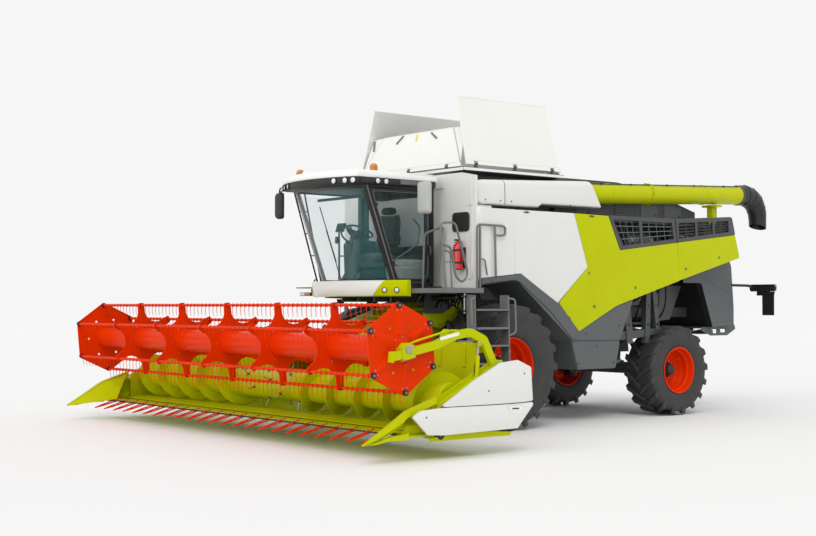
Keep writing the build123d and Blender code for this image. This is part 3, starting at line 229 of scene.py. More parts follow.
LENS = material("lamp_lens", (225, 230, 232), rough=0.12, coat=0.8, mottle=0.03, grain=90, grain_depth=0.0015)
RED_LENS = material("red_lens", (165, 12, 10), rough=0.15, coat=0.6, mottle=0.05, grain=140, grain_depth=0.001)
FLASK = material("extinguisher_red", (196, 20, 22), rough=0.22, coat=0.5, mottle=0.03)
CLOTH = woven("chair_cloth", (44, 46, 50))
VINYL = material("chair_vinyl", (34, 35, 37), rough=0.5, grain=420, grain_depth=0.0009, mottle=0.1)
LINING = material("headlining", (176, 180, 178), rough=0.85, grain=500, grain_depth=0.001, mottle=0.05)
SCREEN = material("screen_glass", (28, 34, 42), rough=0.08, coat=0.8, mottle=0.05, grain_depth=0)
MESH = material("screen_mesh", (46, 48, 50), rough=0.5, metal=0.4, grain=300, grain_depth=0.002, mottle=0.1)


def add_object(name, data):
    """New object in the scene."""
    obj = bpy.data.objects.new(name, data)
    bpy.context.scene.collection.objects.link(obj)
    return obj


# ------------------------------------------------------------ mesh building
# Points nearer than this are one point
MERGE = 0.00002


def turns(count, start=0):
    """Angles spaced evenly round a circle; start is a part of one step."""
    return [2 * pi * (k + start) / count for k in range(count)]


def circle(u, v, r, count):
    """Outline of a round hole."""
    return [(u + r * cos(t), v + r * sin(t)) for t in turns(count)]


def between(a, b, t):
    """Point of an outline's plane, t of the way from a to b."""
    return a[0] + (b[0] - a[0]) * t, a[1] + (b[1] - a[1]) * t


class Piece:
    """Gathers faces, each with a material, and becomes one object that rides on a body."""

    def __init__(self, sign=1):
        self.points, self.faces, self.marks, self.mats = [], [], [], []
        self.sign = sign

    def both(self):
        """Takes each side of the machine in turn: what is drawn at X = x lands at X = sign * x."""
        for self.sign in (1, -1):
            yield self.sign
        self.sign = 1

    def flip(self, point):
        """Point or direction on the side in hand."""
        x, y, z = point
        return Vector((self.sign * x, y, z))

    def mark(self, mat):
        if mat not in self.mats:
            self.mats.append(mat)
        return self.mats.index(mat)

    def add(self, points, faces, mat):
        base, mark = len(self.points), self.mark(mat)
        self.points += [Vector(p) for p in points]
        self.faces += [tuple(base + i for i in f) for f in faces]
        self.marks += [mark] * len(faces)

    def loft(self, rings, mat, closed=True, caps=True):
        """Skin over rings of equally many points."""
        self.skin([[self.flip(p) for p in ring] for ring in rings], mat, closed, caps)

    def skin(self, rings, mat, closed=True, caps=True):
        """The same, over points that are in place already."""
        n = len(rings[0])
        points = [p for ring in rings for p in ring]
        faces = []
        for k in range(len(rings) - 1):
            for i in range(n if closed else n - 1):
                j = (i + 1) % n
                faces.append((k * n + i, k * n + j, (k + 1) * n + j, (k + 1) * n + i))
        if caps and closed:
            faces.append(tuple(reversed(range(n))))
            faces.append(tuple((len(rings) - 1) * n + i for i in range(n)))
        self.add(points, faces, mat)

    def box(self, low, high, mat, turn=None, about=None):
        low, high = self.flip(low), self.flip(high)
        low.x, high.x = min(low.x, high.x), max(low.x, high.x)
        x0, y0, z0 = low
        x1, y1, z1 = high
        points = [Vector(p) for p in ((x0, y0, z0), (x1, y0, z0), (x1, y1, z0), (x0, y1, z0), (x0, y0, z1),
            (x1, y0, z1), (x1, y1, z1), (x0, y1, z1))]
        if turn is not None:
            centre = Vector(about) if about is not None else (low + high) / 2
            points = [centre + turn @ (p - centre) for p in points]
        self.add(points, [(0, 3, 2, 1), (4, 5, 6, 7), (0, 1, 5, 4), (1, 2, 6, 5), (2, 3, 7, 6), (3, 0, 4, 7)], mat)

    def slab(self, outline, place, depth, mat, holes=()):
        """Plate: outline and holes are local (u, v), place(u, v, w) gives the point, w from 0 to depth."""
        loops = [list(outline)] + [list(h) for h in holes]
        flat = [p for loop in loops for p in loop]
        triangles = tessellate_polygon([[Vector((u, v, 0)) for u, v in loop] for loop in loops])
        count = len(flat)
        points = [self.flip(place(u, v, w)) for w in (0, depth) for u, v in flat]
        faces = [tuple(t) for t in triangles] + [tuple(count + i for i in reversed(t)) for t in triangles]
        if not holes:
            faces = [tuple(range(count)), tuple(reversed(range(count, 2 * count)))]
        self.add(points, faces, mat)
        rim, base = [], 0
        for loop in loops:
            n = len(loop)
            rim += [(base + i, base + (i + 1) % n, count + base + (i + 1) % n, count + base + i) for i in range(n)]
            base += n
        self.add(points, rim, mat)

    def side(self, outline, x, depth, mat, holes=()):
        """Plate across X: outline in station and height, from x by depth along X."""
        self.slab(outline, lambda s, z, w: at(x + w, s, z), depth, mat, holes)

    def tube(self, path, radius, mat, sides=8, closed=False):
        """Round bar along points. radius is a number or one for each point."""
        path = [self.flip(p) for p in path]
        n = len(path)
        radii = radius if isinstance(radius, (list, tuple)) else [radius] * n
        rings, normal = [], None
        for k, p in enumerate(path):
            if closed:
                ahead, behind = path[(k + 1) % n], path[k - 1]
            else:
                ahead, behind = path[min(k + 1, n - 1)], path[max(k - 1, 0)]
            direction = (ahead - behind).normalized()
            if normal is None:
                normal = direction.orthogonal().normalized()
            normal = (normal - direction * normal.dot(direction)).normalized()
            other = direction.cross(normal)
            rings.append([p + (normal * cos(a) + other * sin(a)) * radii[k] for a in turns(sides)])
        if closed:
            rings.append(rings[0])
        self.skin(rings, mat, caps=not closed)

    def rod(self, a, b, radius, mat, sides=10):
        """Straight round bar."""
        self.tube([a, b], radius, mat, sides)

    def lathe(self, profile, centre, axis, mat, steps=32):
        """Profile of (distance along axis, radius) turned about the axis."""
        centre, axis = self.flip(centre), self.flip(axis).normalized()
        normal = axis.orthogonal().normalized()
        other = axis.cross(normal)
        rings = []
        for a in turns(steps):
            out = normal * cos(a) + other * sin(a)
            rings.append([centre + axis * d + out * r for d, r in profile])
        rings.append(rings[0])
        self.skin(rings, mat, closed=False)

    def bolt(self, place, axis, size, mat=STEEL):
        """Hexagon head on its washer."""
        axis = Vector(axis).normalized()
        place = Vector(place)
        self.rod(place, place + axis * size * 0.2, size * 0.95, mat, 12)
        self.rod(place + axis * size * 0.2, place + axis * size * 0.75, size * 0.62, mat, 6)

    def bolts(self, places, axis, size, mat=STEEL):
        for place in places:
            self.bolt(place, axis, size, mat)

    def build(self, name, body, replaces=(), slot=None, bevel=0, segments=2, angle=35, merge=True):
        mesh = bpy.data.meshes.new(name)
        mesh.from_pydata([tuple(p) for p in self.points], [], self.faces)
        for mat in self.mats:
            mesh.materials.append(mat)
        mesh.polygons.foreach_set("material_index", self.marks)
        mesh.polygons.foreach_set("use_smooth", [True] * len(mesh.polygons))
        work = bmesh.new()
        work.from_mesh(mesh)
        if merge:
            bmesh.ops.remove_doubles(work, verts=work.verts, dist=MERGE)
        bmesh.ops.recalc_face_normals(work, faces=work.faces)
        work.to_mesh(mesh)
        work.free()
        mesh.set_sharp_from_angle(angle=radians(angle))
        obj = add_object(name, mesh)
        if bevel:
            modifier = obj.modifiers.new("edges", "BEVEL")
            modifier.width = bevel
            modifier.segments = segments
            modifier.limit_method = "ANGLE"
            modifier.angle_limit = radians(40)
            modifier.use_clamp_overlap = True
            modifier.harden_normals = False
        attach(obj, body)
        if replaces:
            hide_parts(*replaces)
        return obj


def rounded(points, radius, steps=3):
    """Polygon with its corners rounded. radius is a number or one for each corner."""
    out = []
    n = len(points)
    radii = radius if isinstance(radius, (list, tuple)) else [radius] * n
    for k in range(n):
        p, a, b = (Vector(points[i % n]) for i in (k, k - 1, k + 1))
        if radii[k] <= 0:
            out.append(tuple(p))
            continue
        to_a, to_b = (a - p).normalized(), (b - p).normalized()
        half = math.acos(max(-1, min(1, to_a.dot(to_b)))) / 2
        reach = min(radii[k] / math.tan(max(half, 0.05)), 0.45 * (a - p).length, 0.45 * (b - p).length)
        for i in range(steps + 1):
            t = i / steps
            out.append(tuple((p + to_a * reach) * (1 - t) ** 2 + p * 2 * t * (1 - t) + (p + to_b * reach) * t ** 2))
    return out


def curve(points, radius):
    """Open path through points, with its inner corners rounded."""
    steps = 6
    points = [Vector(p) for p in points]
    out = [points[0]]
    for a, p, b in zip(points, points[1:], points[2:]):
        reach = min(radius, 0.45 * (a - p).length, 0.45 * (b - p).length)
        start, stop = p + (a - p).normalized() * reach, p + (b - p).normalized() * reach
        out += [start * (1 - t) ** 2 + p * 2 * t * (1 - t) + stop * t ** 2
            for t in (i / steps for i in range(steps + 1))]
    return out + [points[-1]]


def spline(points, steps=6):
    """Smooth path through points."""
    points = [Vector(p) for p in points]
    ends = [2 * points[0] - points[1]] + points + [2 * points[-1] - points[-2]]
    out = []
    for a, b, c, d in zip(ends, ends[1:], ends[2:], ends[3:]):
        for i in range(steps):
            t = i / steps
            out.append(((2 * b) + (c - a) * t + (2 * a - 5 * b + 4 * c - d) * t * t + (3 * b - a - 3 * c + d) * t ** 3)
                / 2)
    return out + [points[-1]]


def line_at(s, p, q):
    """Height at station s on the line from p to q."""
    return p[1] + (q[1] - p[1]) * (s - p[0]) / (q[0] - p[0])


def paint(node, mat):
    """Gives a CAD node its material."""
    mesh = nodes[node].data
    mesh.materials.clear()
    mesh.materials.append(mat)
    mesh.polygons.foreach_set("use_smooth", [True] * len(mesh.polygons))
    mesh.set_sharp_from_angle(angle=radians(30))


# -------------------------------------------------------------------- wheels
def wheel(hand, sign, axle, lugs, lug_h, bolts):
    """Tyre with slanted lugs, and a dished rim with its hub, in place of a CAD wheel."""
    node = f"wheel_{axle}_{hand}"
    low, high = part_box(node)
    centre = (low + high) / 2
    radius, half = (high.z - low.z) / 2, (high.x - low.x) / 2
    rim_r, flange_r, disc = (0.406, 0.435, -0.054) if axle == "front" else (0.356, 0.392, -0.05)
    if axle == "front":
        half = 0.4
        centre.x = sign * 1.494
    out = Vector((sign, 0, 0))
    tread = radius - lug_h
    tyre = Piece()
    wall = [(0.84 * half, flange_r - 0.02), (0.9 * half, flange_r + 0.012), (0.945 * half, flange_r + 0.03),
        (0.975 * half, flange_r + 0.075), (0.99 * half, flange_r + 0.135), (0.985 * half, tread - 0.1),
        (0.96 * half, tread - 0.055), (0.915 * half, tread - 0.018), (0.84 * half, tread - 0.004),
        (0.45 * half, tread + 0.001)]
    profile = wall + [(-d, r) for d, r in reversed(wall)]
    tyre.lathe(profile, centre, out, RUBBER, 96)
    # rings on the sidewall
    for d, r in ((0.952 * half, flange_r + 0.036), (0.982 * half, flange_r + 0.09)):
        for face in (1, -1):
            tyre.lathe([(face * d, r - 0.006), (face * (d + 0.006), r), (face * d, r + 0.008)], centre, out, RUBBER, 96)

    def spot(d, angle, r):
        return centre + out * d + Vector((0, cos(angle) * r, sin(angle) * r))

    sweep = 0.8 * half / radius
    for k in range(lugs):
        for face in (1, -1):
            base = 2 * pi * (k + (0.5 if face < 0 else 0)) / lugs
            rings = []
            for t in (0, 0.3, 0.65, 1.0):
                d = face * (-0.05 * half + half * t)
                angle = base - sweep * t ** 0.85
                wide = (0.036 + 0.018 * t) / radius
                top = radius - 0.003 - 0.01 * t
                low_r = tread - 0.02 - 0.05 * t ** 3
                rings.append([spot(d, angle - wide * 1.25, low_r), spot(d, angle + wide * 1.25, low_r),
                    spot(d, angle + wide * 0.85, top), spot(d, angle - wide * 0.85, top)])
            # the lug runs down the shoulder
            angle = base - sweep - 0.012
            wide = 0.04 / radius
            d = face * half
            rings.append([spot(0.9 * d, angle - wide, tread - 0.13), spot(0.9 * d, angle + wide, tread - 0.13),
                spot(0.992 * d, angle + wide * 0.8, tread - 0.115), spot(0.992 * d, angle - wide * 0.8, tread - 0.115)])
            tyre.loft(rings, RUBBER)
    tyre.build(f"tyre_{axle}_{hand}", f"{axle}_wheel_{hand}", replaces=(node,), slot="tyre", bevel=0.006, segments=1,
        angle=40, merge=False)
    rim = Piece()
    lip = 0.875 * half
    face = [(lip - 0.006, flange_r - 0.012), (lip + 0.012, flange_r - 0.006), (lip + 0.016, flange_r - 0.016),
        (lip + 0.008, rim_r + 0.002), (lip - 0.02, rim_r - 0.004), (0.62 * half, rim_r - 0.012),
        (0.55 * half, rim_r - 0.034), (0.36 * half, rim_r - 0.036), (0.3 * half, rim_r - 0.018),
        (disc + 0.14, rim_r - 0.02), (disc + 0.12, rim_r - 0.035), (disc + 0.045, 0.78 * rim_r),
        (disc + 0.022, 0.7 * rim_r), (disc + 0.018, 0.52 * rim_r), (disc + 0.03, 0.47 * rim_r),
        (disc + 0.05, 0.42 * rim_r), (disc + 0.05, 0.1)]
    rim.lathe(face, centre, out, RED, 64)
    back = [(disc + 0.03, 0.1), (disc + 0.03, 0.4 * rim_r), (disc - 0.004, 0.5 * rim_r), (disc - 0.004, 0.72 * rim_r),
        (disc + 0.1, rim_r - 0.05), (disc + 0.08, rim_r - 0.03), (-0.5 * half, rim_r - 0.03),
        (-lip + 0.02, rim_r - 0.004), (-lip - 0.008, rim_r + 0.002), (-lip - 0.014, flange_r - 0.014),
        (-lip + 0.006, flange_r - 0.012)]
    rim.lathe(back, centre, out, RED, 64)
    hub_r = 0.33 * rim_r
    rim.lathe([(disc + 0.03, hub_r + 0.012), (disc + 0.075, hub_r + 0.012), (disc + 0.085, hub_r),
        (disc + 0.115, 0.8 * hub_r), (disc + 0.16, 0.74 * hub_r), (disc + 0.175, 0.6 * hub_r),
        (disc + 0.18, 0.3 * hub_r), (disc + 0.19, 0.26 * hub_r), (disc + 0.19, 0.001)], centre, out, CAST)
    rim.bolts([spot(disc + 0.05, a, 0.405 * rim_r) for a in turns(bolts)], out, 0.017)
    rim.bolts([spot(disc + 0.115, a, 0.66 * hub_r) for a in turns(6, 0.4)], out, 0.011)
    # valve
    rim.rod(spot(disc + 0.06, 0.7, 0.84 * rim_r), spot(disc + 0.12, 0.7, 0.8 * rim_r), 0.006, STEEL, 8)
    rim.build(f"rim_{axle}_{hand}", f"{axle}_wheel_{hand}", slot="red_paint", angle=32, merge=False)


# lugs, height of a lug, bolts
for hand, sign in SIDES:
    wheel(hand, sign, "front", 20, 0.062, 12)
    wheel(hand, sign, "rear", 17, 0.06, 10)

# --------------------------------------------------------------- side panels
# X of the panels and of the locks' inner ends
OUTER, LOCK_X = 1.65, 1.64
white_line = [(0.258, 2.277), (0.258, 3.23), (1.516, 3.23), (1.796, 2.41), (1.166, 1.85), (0.376, 2.289)]
GRILLE_LOW = ((2.535, 2.69), (5.48, 3.03))
grille_front = [(2.29, 3.222), (3.866, 3.226), (3.925, 2.853), (2.543, 2.694)]
grille_rear = [(3.892, 3.228), (5.38, 3.322), (5.468, 3.031), (3.944, 2.857)]
windows = {"front": ((2.39, 2.985, 2.61, 3.035), (3.06, 3.79, 3.1, 3.85)),
    "rear": ((3.965, 4.39, 3.985, 4.405), (4.45, 4.845, 4.465, 4.86), (4.905, 5.27, 4.92, 5.29))}


def bowed(piece, outline, sign, mat, bow, creases, thick=0.024, cell=0.11, outer=OUTER):
    """Panel with rounded outline whose surface bows out and folds in below a crease."""
    loop = rounded(outline, 0.022)
    s_low, s_high = min(p[0] for p in loop), max(p[0] for p in loop)
    z_low, z_high = min(p[1] for p in loop), max(p[1] for p in loop)

    def depth(s, z):
        d = -bow * ((2 * (z - z_low) / (z_high - z_low) - 1) ** 2)
        for a, b, fall in creases:
            below = line_at(s, a, b) - z
            d -= fall * max(0, below)
        d -= 0.05 * max(0, z - 3.12) ** 1.2
        return max(d, -0.026)

    points = [Vector(p) for p in loop]
    n = len(points)
    edges = [(i, (i + 1) % n) for i in range(n)]
    rows = []
    for a, b, _ in creases:
        for k in range(33):
            s = s_low + (s_high - s_low) * k / 32
            rows.append((s, line_at(s, a, b)))
    s = s_low + cell
    while s < s_high:
        z = z_low + cell
        while z < z_high:
            rows.append((s, z))
            z += cell
        s += cell

    def inside(p):
        hit = False
        for k in range(n):
            a, b = points[k], points[k - 1]
            if (a.y > p[1]) != (b.y > p[1]) and p[0] < (b.x - a.x) * (p[1] - a.y) / (b.y - a.y) + a.x:
                hit = not hit
        return hit

    def near(p):
        for k in range(n):
            a, b = points[k], points[k - 1]
            ab = b - a
            t = max(0, min(1, (Vector(p) - a).dot(ab) / max(ab.length_squared, 1e-9)))
            if (a + ab * t - Vector(p)).length < 0.02:
                return True
        return False

    points += [Vector(p) for p in rows if inside(p) and not near(p)]
    out = delaunay_2d_cdt(points, edges, [list(range(n))], 1, 1e-5)
    verts, faces = out[0], out[2]
    front = [at(sign * (outer + depth(p.x, p.y)), p.x, p.y) for p in verts]
    rear = [at(sign * (outer + depth(p.x, p.y) - thick), p.x, p.y) for p in verts]
    count = len(verts)
    skin = [tuple(f) for f in faces] + [tuple(count + i for i in reversed(f)) for f in faces]
    used = {}
    for f in faces:
        for i in range(len(f)):
            used[(f[i], f[(i + 1) % len(f)])] = True
    rim = [(a, b, count + b, count + a) for a, b in used if (b, a) not in used]
    piece.add(front + rear, skin + rim, mat)


def quad(row, top, low_line, lift_top, lift_low):
    """Corners of a grille window between the grille's top line and its foot."""
    a, b, c, d = row
    return [(a, line_at(a, *top) - lift_top), (b, line_at(b, *top) - lift_top), (d, line_at(d, *low_line) + lift_low),
        (c, line_at(c, *low_line) + lift_low)]


CREASE = ((0.376, 2.3), (1.796, 2.415))
for hand, sign in SIDES:
    door = Piece(sign)
    bowed(door, white_line, sign, WHITE, 0.01, [(*CREASE, 0.035)])
    # green plate, cut away where the grille stands
    green_cut = [(1.524, 3.23), (2.284, 3.222), (2.536, 2.688), (3.928, 2.848), (3.986, 2.222), (2.45, 1.806),
        (1.622, 1.416), (1.178, 1.848), (1.804, 2.41)]
    bowed(door, green_cut, sign, GREEN, 0.01, [((1.17, 1.86), (4.0, 2.62), 0.02)])
    door.build(f"panels_front_{hand}", f"door_front_{hand}", replaces=(f"side_door_front_{hand}",), slot="green_paint",
        bevel=0.006, angle=50)
    tail = Piece(sign)
    rear_cut = [(3.936, 2.85), (5.468, 3.026), (5.588, 2.636), (3.996, 2.226)]
    bowed(tail, rear_cut, sign, GREEN, 0.01, [((4.0, 2.62), (5.6, 3.05), 0.02)])
    tail.build(f"panel_rear_{hand}", f"door_rear_{hand}", replaces=(f"side_door_rear_{hand}",), slot="green_paint",
        bevel=0.006, angle=50)
    for part, frame_line, top in (("front", grille_front, ((2.29, 3.222), (3.866, 3.226))),
            ("rear", grille_rear, ((3.882, 3.228), (5.38, 3.322)))):
        grille = Piece(sign)
        holes = [quad(row, top, GRILLE_LOW, 0.052, 0.062) for row in windows[part]]
        grille.side(rounded(frame_line, 0.02), 1.616, 0.03, DARK, holes)
        for hole in holes:
            a, b, c, d = hole
            # flat louvres across the window, upright bars behind them
            rows = 4 if part == "front" else 5
            for k in range(1, rows):
                t = k / rows
                p = between(a, d, t)
                q = between(b, c, t)
                if part == "front":
                    grille.rod(at(1.63, p[0] - 0.01, p[1]), at(1.63, q[0] + 0.01, q[1]), 0.008, GREY, 8)
                else:
                    grille.side([(p[0] - 0.01, p[1] - 0.013), (q[0] + 0.01, q[1] - 0.013), (q[0] + 0.01, q[1] + 0.013),
                        (p[0] - 0.01, p[1] + 0.013)], 1.622, 0.014, TRIM)
            bars = 3 if part == "front" else 1
            for k in range(1, bars + 1):
                t = k / (bars + 1)
                p = between(a, b, t)
                q = between(d, c, t)
                grille.rod(at(1.62, p[0], p[1] + 0.01), at(1.62, q[0], q[1] - 0.01), 0.006, GREY, 8)
            # lip round the window
            grille.tube([at(1.646, p[0], p[1]) for p in hole], 0.007, DARK, closed=True)
        if part == "rear":
            # dust screen behind the last window
            grille.side([(5.0, 3.02), (5.0, 3.29), (5.372, 3.312), (5.44, 3.06)], 1.594, 0.004, TRIM)
        # frame behind the panels, with its hinge straps
        grille.tube(track(1.606, *frame_line), 0.016, DARK, closed=True)
        grille.build(f"grille_{part}_{hand}", f"door_{part}_{hand}", slot="dark_paint", bevel=0.003, segments=1)
    # locks, and the frame on the inside of the doors
    for part, before, locks, lock_r, core_r, frames, bar in (("front", "",
            ((1.83, 2.315), (1.95, 1.8), (1.4, 1.62), (2.9, 2.1)), 0.021, 0.012,
            (((0.4, 3.1), (1.45, 3.1), (1.7, 2.45), (1.2, 2.02), (0.45, 2.42)),
            ((1.62, 3.1), (2.2, 3.12), (2.46, 2.62), (3.86, 2.78), (3.92, 2.3), (2.42, 1.9), (1.66, 1.54), (1.34, 1.88),
            (1.9, 2.42))), 0.014), ("rear", "rear_", ((5.02, 2.63), (4.15, 2.42)), 0.019, 0.011,
            (((4.02, 2.8), (5.4, 2.95), (5.5, 2.7), (4.06, 2.32)),), 0.013)):
        fittings = Piece(sign)
        for s, z in locks:
            fittings.rod(at(LOCK_X, s, z), at(1.652, s, z), lock_r, TRIM, 20)
            fittings.rod(at(1.65, s, z), at(1.6535, s, z), core_r, STEEL, 14)
        for path in frames:
            fittings.tube(track(1.6, *path), bar, DARK, closed=True)
        fittings.build(f"{before}door_fittings_{hand}", f"door_{part}_{hand}", slot="dark_paint")

# ---------------------------------------------- mudguards, boxes, front wall
paint("lower_side_boxes", PANEL)
for hand, sign in SIDES:
    guard = Piece(sign)
    outline = [(-0.4, 2.206), (0.376, 2.28), (1.166, 1.84), (1.614, 1.408), (1.467, 1.288), (1.02, 1.7), (0.3, 2.2),
        (-0.4, 2.12)]
    guard.side(rounded(outline, 0.02), 1.628, 0.018, PANEL)
    # rolled lip along the wheel opening
    guard.tube(curve(track(1.64, (-0.4, 2.118), (0.3, 2.196), (1.02, 1.697), (1.462, 1.29)), 0.12), 0.014, TRIM)
    # lower box with a lid line, and the slanted plate above it
    low_box = [(1.47, 1.262), (2.556, 1.25), (2.45, 0.835), (1.61, 0.835)]
    guard.side(rounded(low_box, 0.03), 1.6, 0.02, PANEL)
    plate = [(1.48, 1.285), (1.62, 1.412), (2.452, 1.8), (2.88, 1.905), (2.566, 1.276)]
    guard.side(rounded(plate, 0.015, 2), 1.596, 0.018, PANEL)
    for s, z in ((2.02, 1.18), (1.62, 0.92), (2.4, 0.92), (2.55, 1.5), (1.8, 1.38), (0.6, 2.1), (-0.2, 2.17)):
        x = 1.646 if z > 2 else (1.614 if z > 1.27 else 1.62)
        guard.bolt(at(x, s, z), OUT, 0.013, TRIM)
    guard.build(f"mudguard_{hand}", "chassis", slot="dark_paint", bevel=0.005)

paint("front_wall", WHITE)
wall = Piece()
for sign in wall.both():
    # smooth skin over the front wall beside the cab, with its rounded corner
    rings = []
    # on the left it stops under the hood of the unloading auger
    for z in (2.195, 2.6, 3.2, 3.272) if sign > 0 else (2.195, 2.6, 3.2, 3.66, 3.72):
        tuck = 0.03 if z > 3.7 else 0
        ring = [(1.5, -0.484), (1.52, -0.484)]
        ring += [(1.52 + 0.115 * sin(a), -0.484 + 0.115 * (1 - cos(a))) for a in (0.4, 0.8, 1.2, pi / 2)]
        ring += [(1.635, -0.2)]
        rings.append([at(x - tuck, s + tuck, z) for x, s in ring])
    wall.loft(rings, WHITE, closed=False)
    for ring in (rings[0], rings[-1]):
        flat = ring[1:] + track(1.4, (-0.2, ring[0].z), (-0.484, ring[0].z))
        wall.loft([flat, [p - Vector((0, 0, 0.006)) for p in flat]], WHITE)
    wall.slab(rect(0.905, 1.505, 2.075, 3.69), lambda u, v, w: at(u, -0.484 + w, v), 0.006, WHITE)
wall.build("front_wall_skin", "chassis", slot="white_paint", angle=40)
fill = Piece()
fill.box(at(-0.9, -0.49, 3.55), at(0.9, -0.478, 3.74), WHITE)
# black hatch, extinguisher in its bracket and small fittings on the wall
hatch = rounded(rect(1.105, 1.48, 2.89, 3.175), 0.07, 5)
fill.slab(hatch, lambda u, v, w: at(u, -0.485 - w, v), 0.016, BLACK)
fill.slab(rounded(rect(1.15, 1.435, 2.93, 3.135), 0.05, 5), lambda u, v, w: at(u, -0.5 - w, v), 0.01, TRIM)
fill.build("wall_hatch", "chassis", slot="dark_paint", bevel=0.004)
flask = Piece()
mid = at(1.335, -0.585, 2.33)
flask.lathe([(0, 0.001), (0.0, 0.06), (0.015, 0.074), (0.33, 0.074), (0.365, 0.062), (0.39, 0.03), (0.41, 0.02),
    (0.41, 0.001)], mid, UP, FLASK)
flask.lathe([(0.4, 0.018), (0.43, 0.022), (0.44, 0.001)], mid, UP, TRIM, 20)
flask.box(mid + Vector((-0.075, -0.012, 0.425)), mid + Vector((0.035, 0.012, 0.448)), TRIM)
flask.box(mid + Vector((-0.07, -0.008, 0.395)), mid + Vector((0.0, 0.008, 0.41)), TRIM)
flask.tube(spline([mid + Vector(p) for p in ((0.02, 0, 0.42), (0.09, -0.01, 0.4), (0.098, -0.01, 0.25),
    (0.085, -0.01, 0.1))], 8), 0.009, HOSE, 10)
for z in (0.09, 0.27):
    flask.lathe([(z, 0.0745), (z, 0.079), (z + 0.03, 0.079), (z + 0.03, 0.0745)], mid, UP, TRIM)
flask.box(at(1.275, -0.512, 2.36), at(1.395, -0.483, 2.66), TRIM)
flask.build("extinguisher", "chassis", slot="red_paint", bevel=0.002, segments=1)

# plate in front of the drive on the machine's left
guard = Piece()
guard.side(rounded([(-0.907, 1.712), (-0.493, 1.887), (-0.199, 1.896), (-0.199, 1.785), (-0.318, 1.617),
    (-0.609, 1.472), (-0.753, 1.514), (-0.907, 1.676)], 0.025), 0.93, 0.034, GREEN)
guard.bolts(track(0.964, (-0.845, 1.7), (-0.5, 1.84), (-0.25, 1.85), (-0.62, 1.53)), OUT, 0.012)
for s, z in ((-0.7, 1.62), (-0.3, 1.78)):
    guard.rod(at(0.86, s, z), at(0.932, s, z), 0.022, DARK, 16)
guard.build("drive_guard", "chassis", slot="green_paint", bevel=0.004)

# ----------------------------------------------- unloading tube, hood, spout
TUBE_X, TUBE_R = 1.28, 0.165


def tube_z(s):
    """Height of the tube's axis."""
    return 3.492 + (s + 0.1) * math.tan(radians(2.53))


def collar(piece, s0, s1, r, mat, sides):
    """Ring round the unloading tube from one station to another."""
    piece.tube([at(TUBE_X, s, tube_z(s)) for s in (s0, s1)], r, mat, sides)


tube = Piece()
for s0, s1, r in ((1.9, 3.58, TUBE_R), (3.62, 6.02, TUBE_R - 0.002)):
    a, b = at(TUBE_X, s0, tube_z(s0)), at(TUBE_X, s1, tube_z(s1))
    tube.tube([a, a.lerp(b, 0.25), a.lerp(b, 0.5), a.lerp(b, 0.75), b], r, GREEN, 48)
# flanges of the joint with their bolts, straps and the elbow inside the hood
for s in (3.575, 3.6):
    collar(tube, s, s + 0.02, TUBE_R + 0.016, GREEN, 48)
tube.bolts([at(TUBE_X + 0.18 * cos(a) * 0.99, 3.572, tube_z(3.572) + 0.18 * sin(a) * 0.99) for a in turns(12)],
    (0, -1, 0), 0.011)
for s in (2.62, 5.0):
    collar(tube, s, s + 0.035, TUBE_R + 0.006, GREEN, 48)
tube.tube(spline(track(TUBE_X, (-0.1, 3.3), (-0.1, 3.44), (0.06, 3.52), (0.6, tube_z(0.6)), (2.05, tube_z(2.05)))),
    TUBE_R - 0.003, DARK, 32)
# hose and lamp cable along the tube, with clips
tube.tube([at(TUBE_X + 0.1, s, tube_z(s) + 0.148) for s in (2.1, 2.8, 3.5, 4.4, 5.2, 5.9)], 0.008, HOSE)
for s in (2.4, 3.1, 4.0, 4.7, 5.5):
    p = at(TUBE_X + 0.1, s, tube_z(s) + 0.146)
    tube.box(p - Vector((0.014, 0.012, 0.01)), p + Vector((0.014, 0.012, 0.014)), TRIM)
tube.build("tube_skin", "unloader", replaces=("unloading_tube",), slot="green_paint", angle=40)

# hood: closed rounded shell of cross-sections along the station
hood = Piece()


def hood_ring(s, z_top, z_low, half, round_r):
    """Rounded cross-section of the hood at a station."""
    corner = min(round_r, 0.45 * (z_top - z_low))
    outline = rounded([(-half, z_low), (half, z_low), (half - 0.008, z_top), (-half + 0.008, z_top)],
        [0.04, 0.04, corner, corner], 6)
    return [at(TUBE_X + x, s, z) for x, z in outline]


def hood_top(s):
    """Height of the hood's top line."""
    return 3.66 + (s + 0.32) * (3.756 - 3.66) / 2.09


def hood_end(z):
    """Station of the slanted cut at the hood's rear."""
    return 2.01 + (3.77 - z) * 0.572


sections = [hood_ring(s, hood_top(s) - fall, 3.29 + fall * 0.7, 0.247 - tuck, 0.11) for s, fall,
    tuck in ((-0.352, 0.1, 0.055), (-0.34, 0.05, 0.028), (-0.31, 0.022, 0.012), (-0.262, 0.006, 0.004), (-0.2, 0, 0))]
for s in (0.0, 0.165):
    sections.append(hood_ring(s, hood_top(s), 3.287, 0.247, 0.11))
hood.loft(sections, WHITE)
# joint line, then the long part of the hood
sections = [hood_ring(0.166, hood_top(0.17) - 0.012, 3.298, 0.236, 0.1),
    hood_ring(0.182, hood_top(0.18) - 0.012, 3.298, 0.236, 0.1)]
hood.loft(sections, TRIM)
sections = [hood_ring(s, hood_top(s), low, 0.247, 0.11) for s,
    low in ((0.183, 3.287), (0.6, 3.287), (0.86, 3.29), (0.94, 3.345), (1.35, 3.347), (1.9, 3.35))]
# slanted rear cut
for t in (0.0, 0.33, 0.66, 1.0):
    ring = []
    base = hood_ring(1.96, hood_top(1.96), 3.35, 0.247 - 0.004 * t, 0.11)
    for p in base:
        ring.append(Vector((p.x, AXLE_Y + 1.96 + (hood_end(p.z) - 1.96) * t, p.z)))
    sections.append(ring)
hood.loft(sections, WHITE)
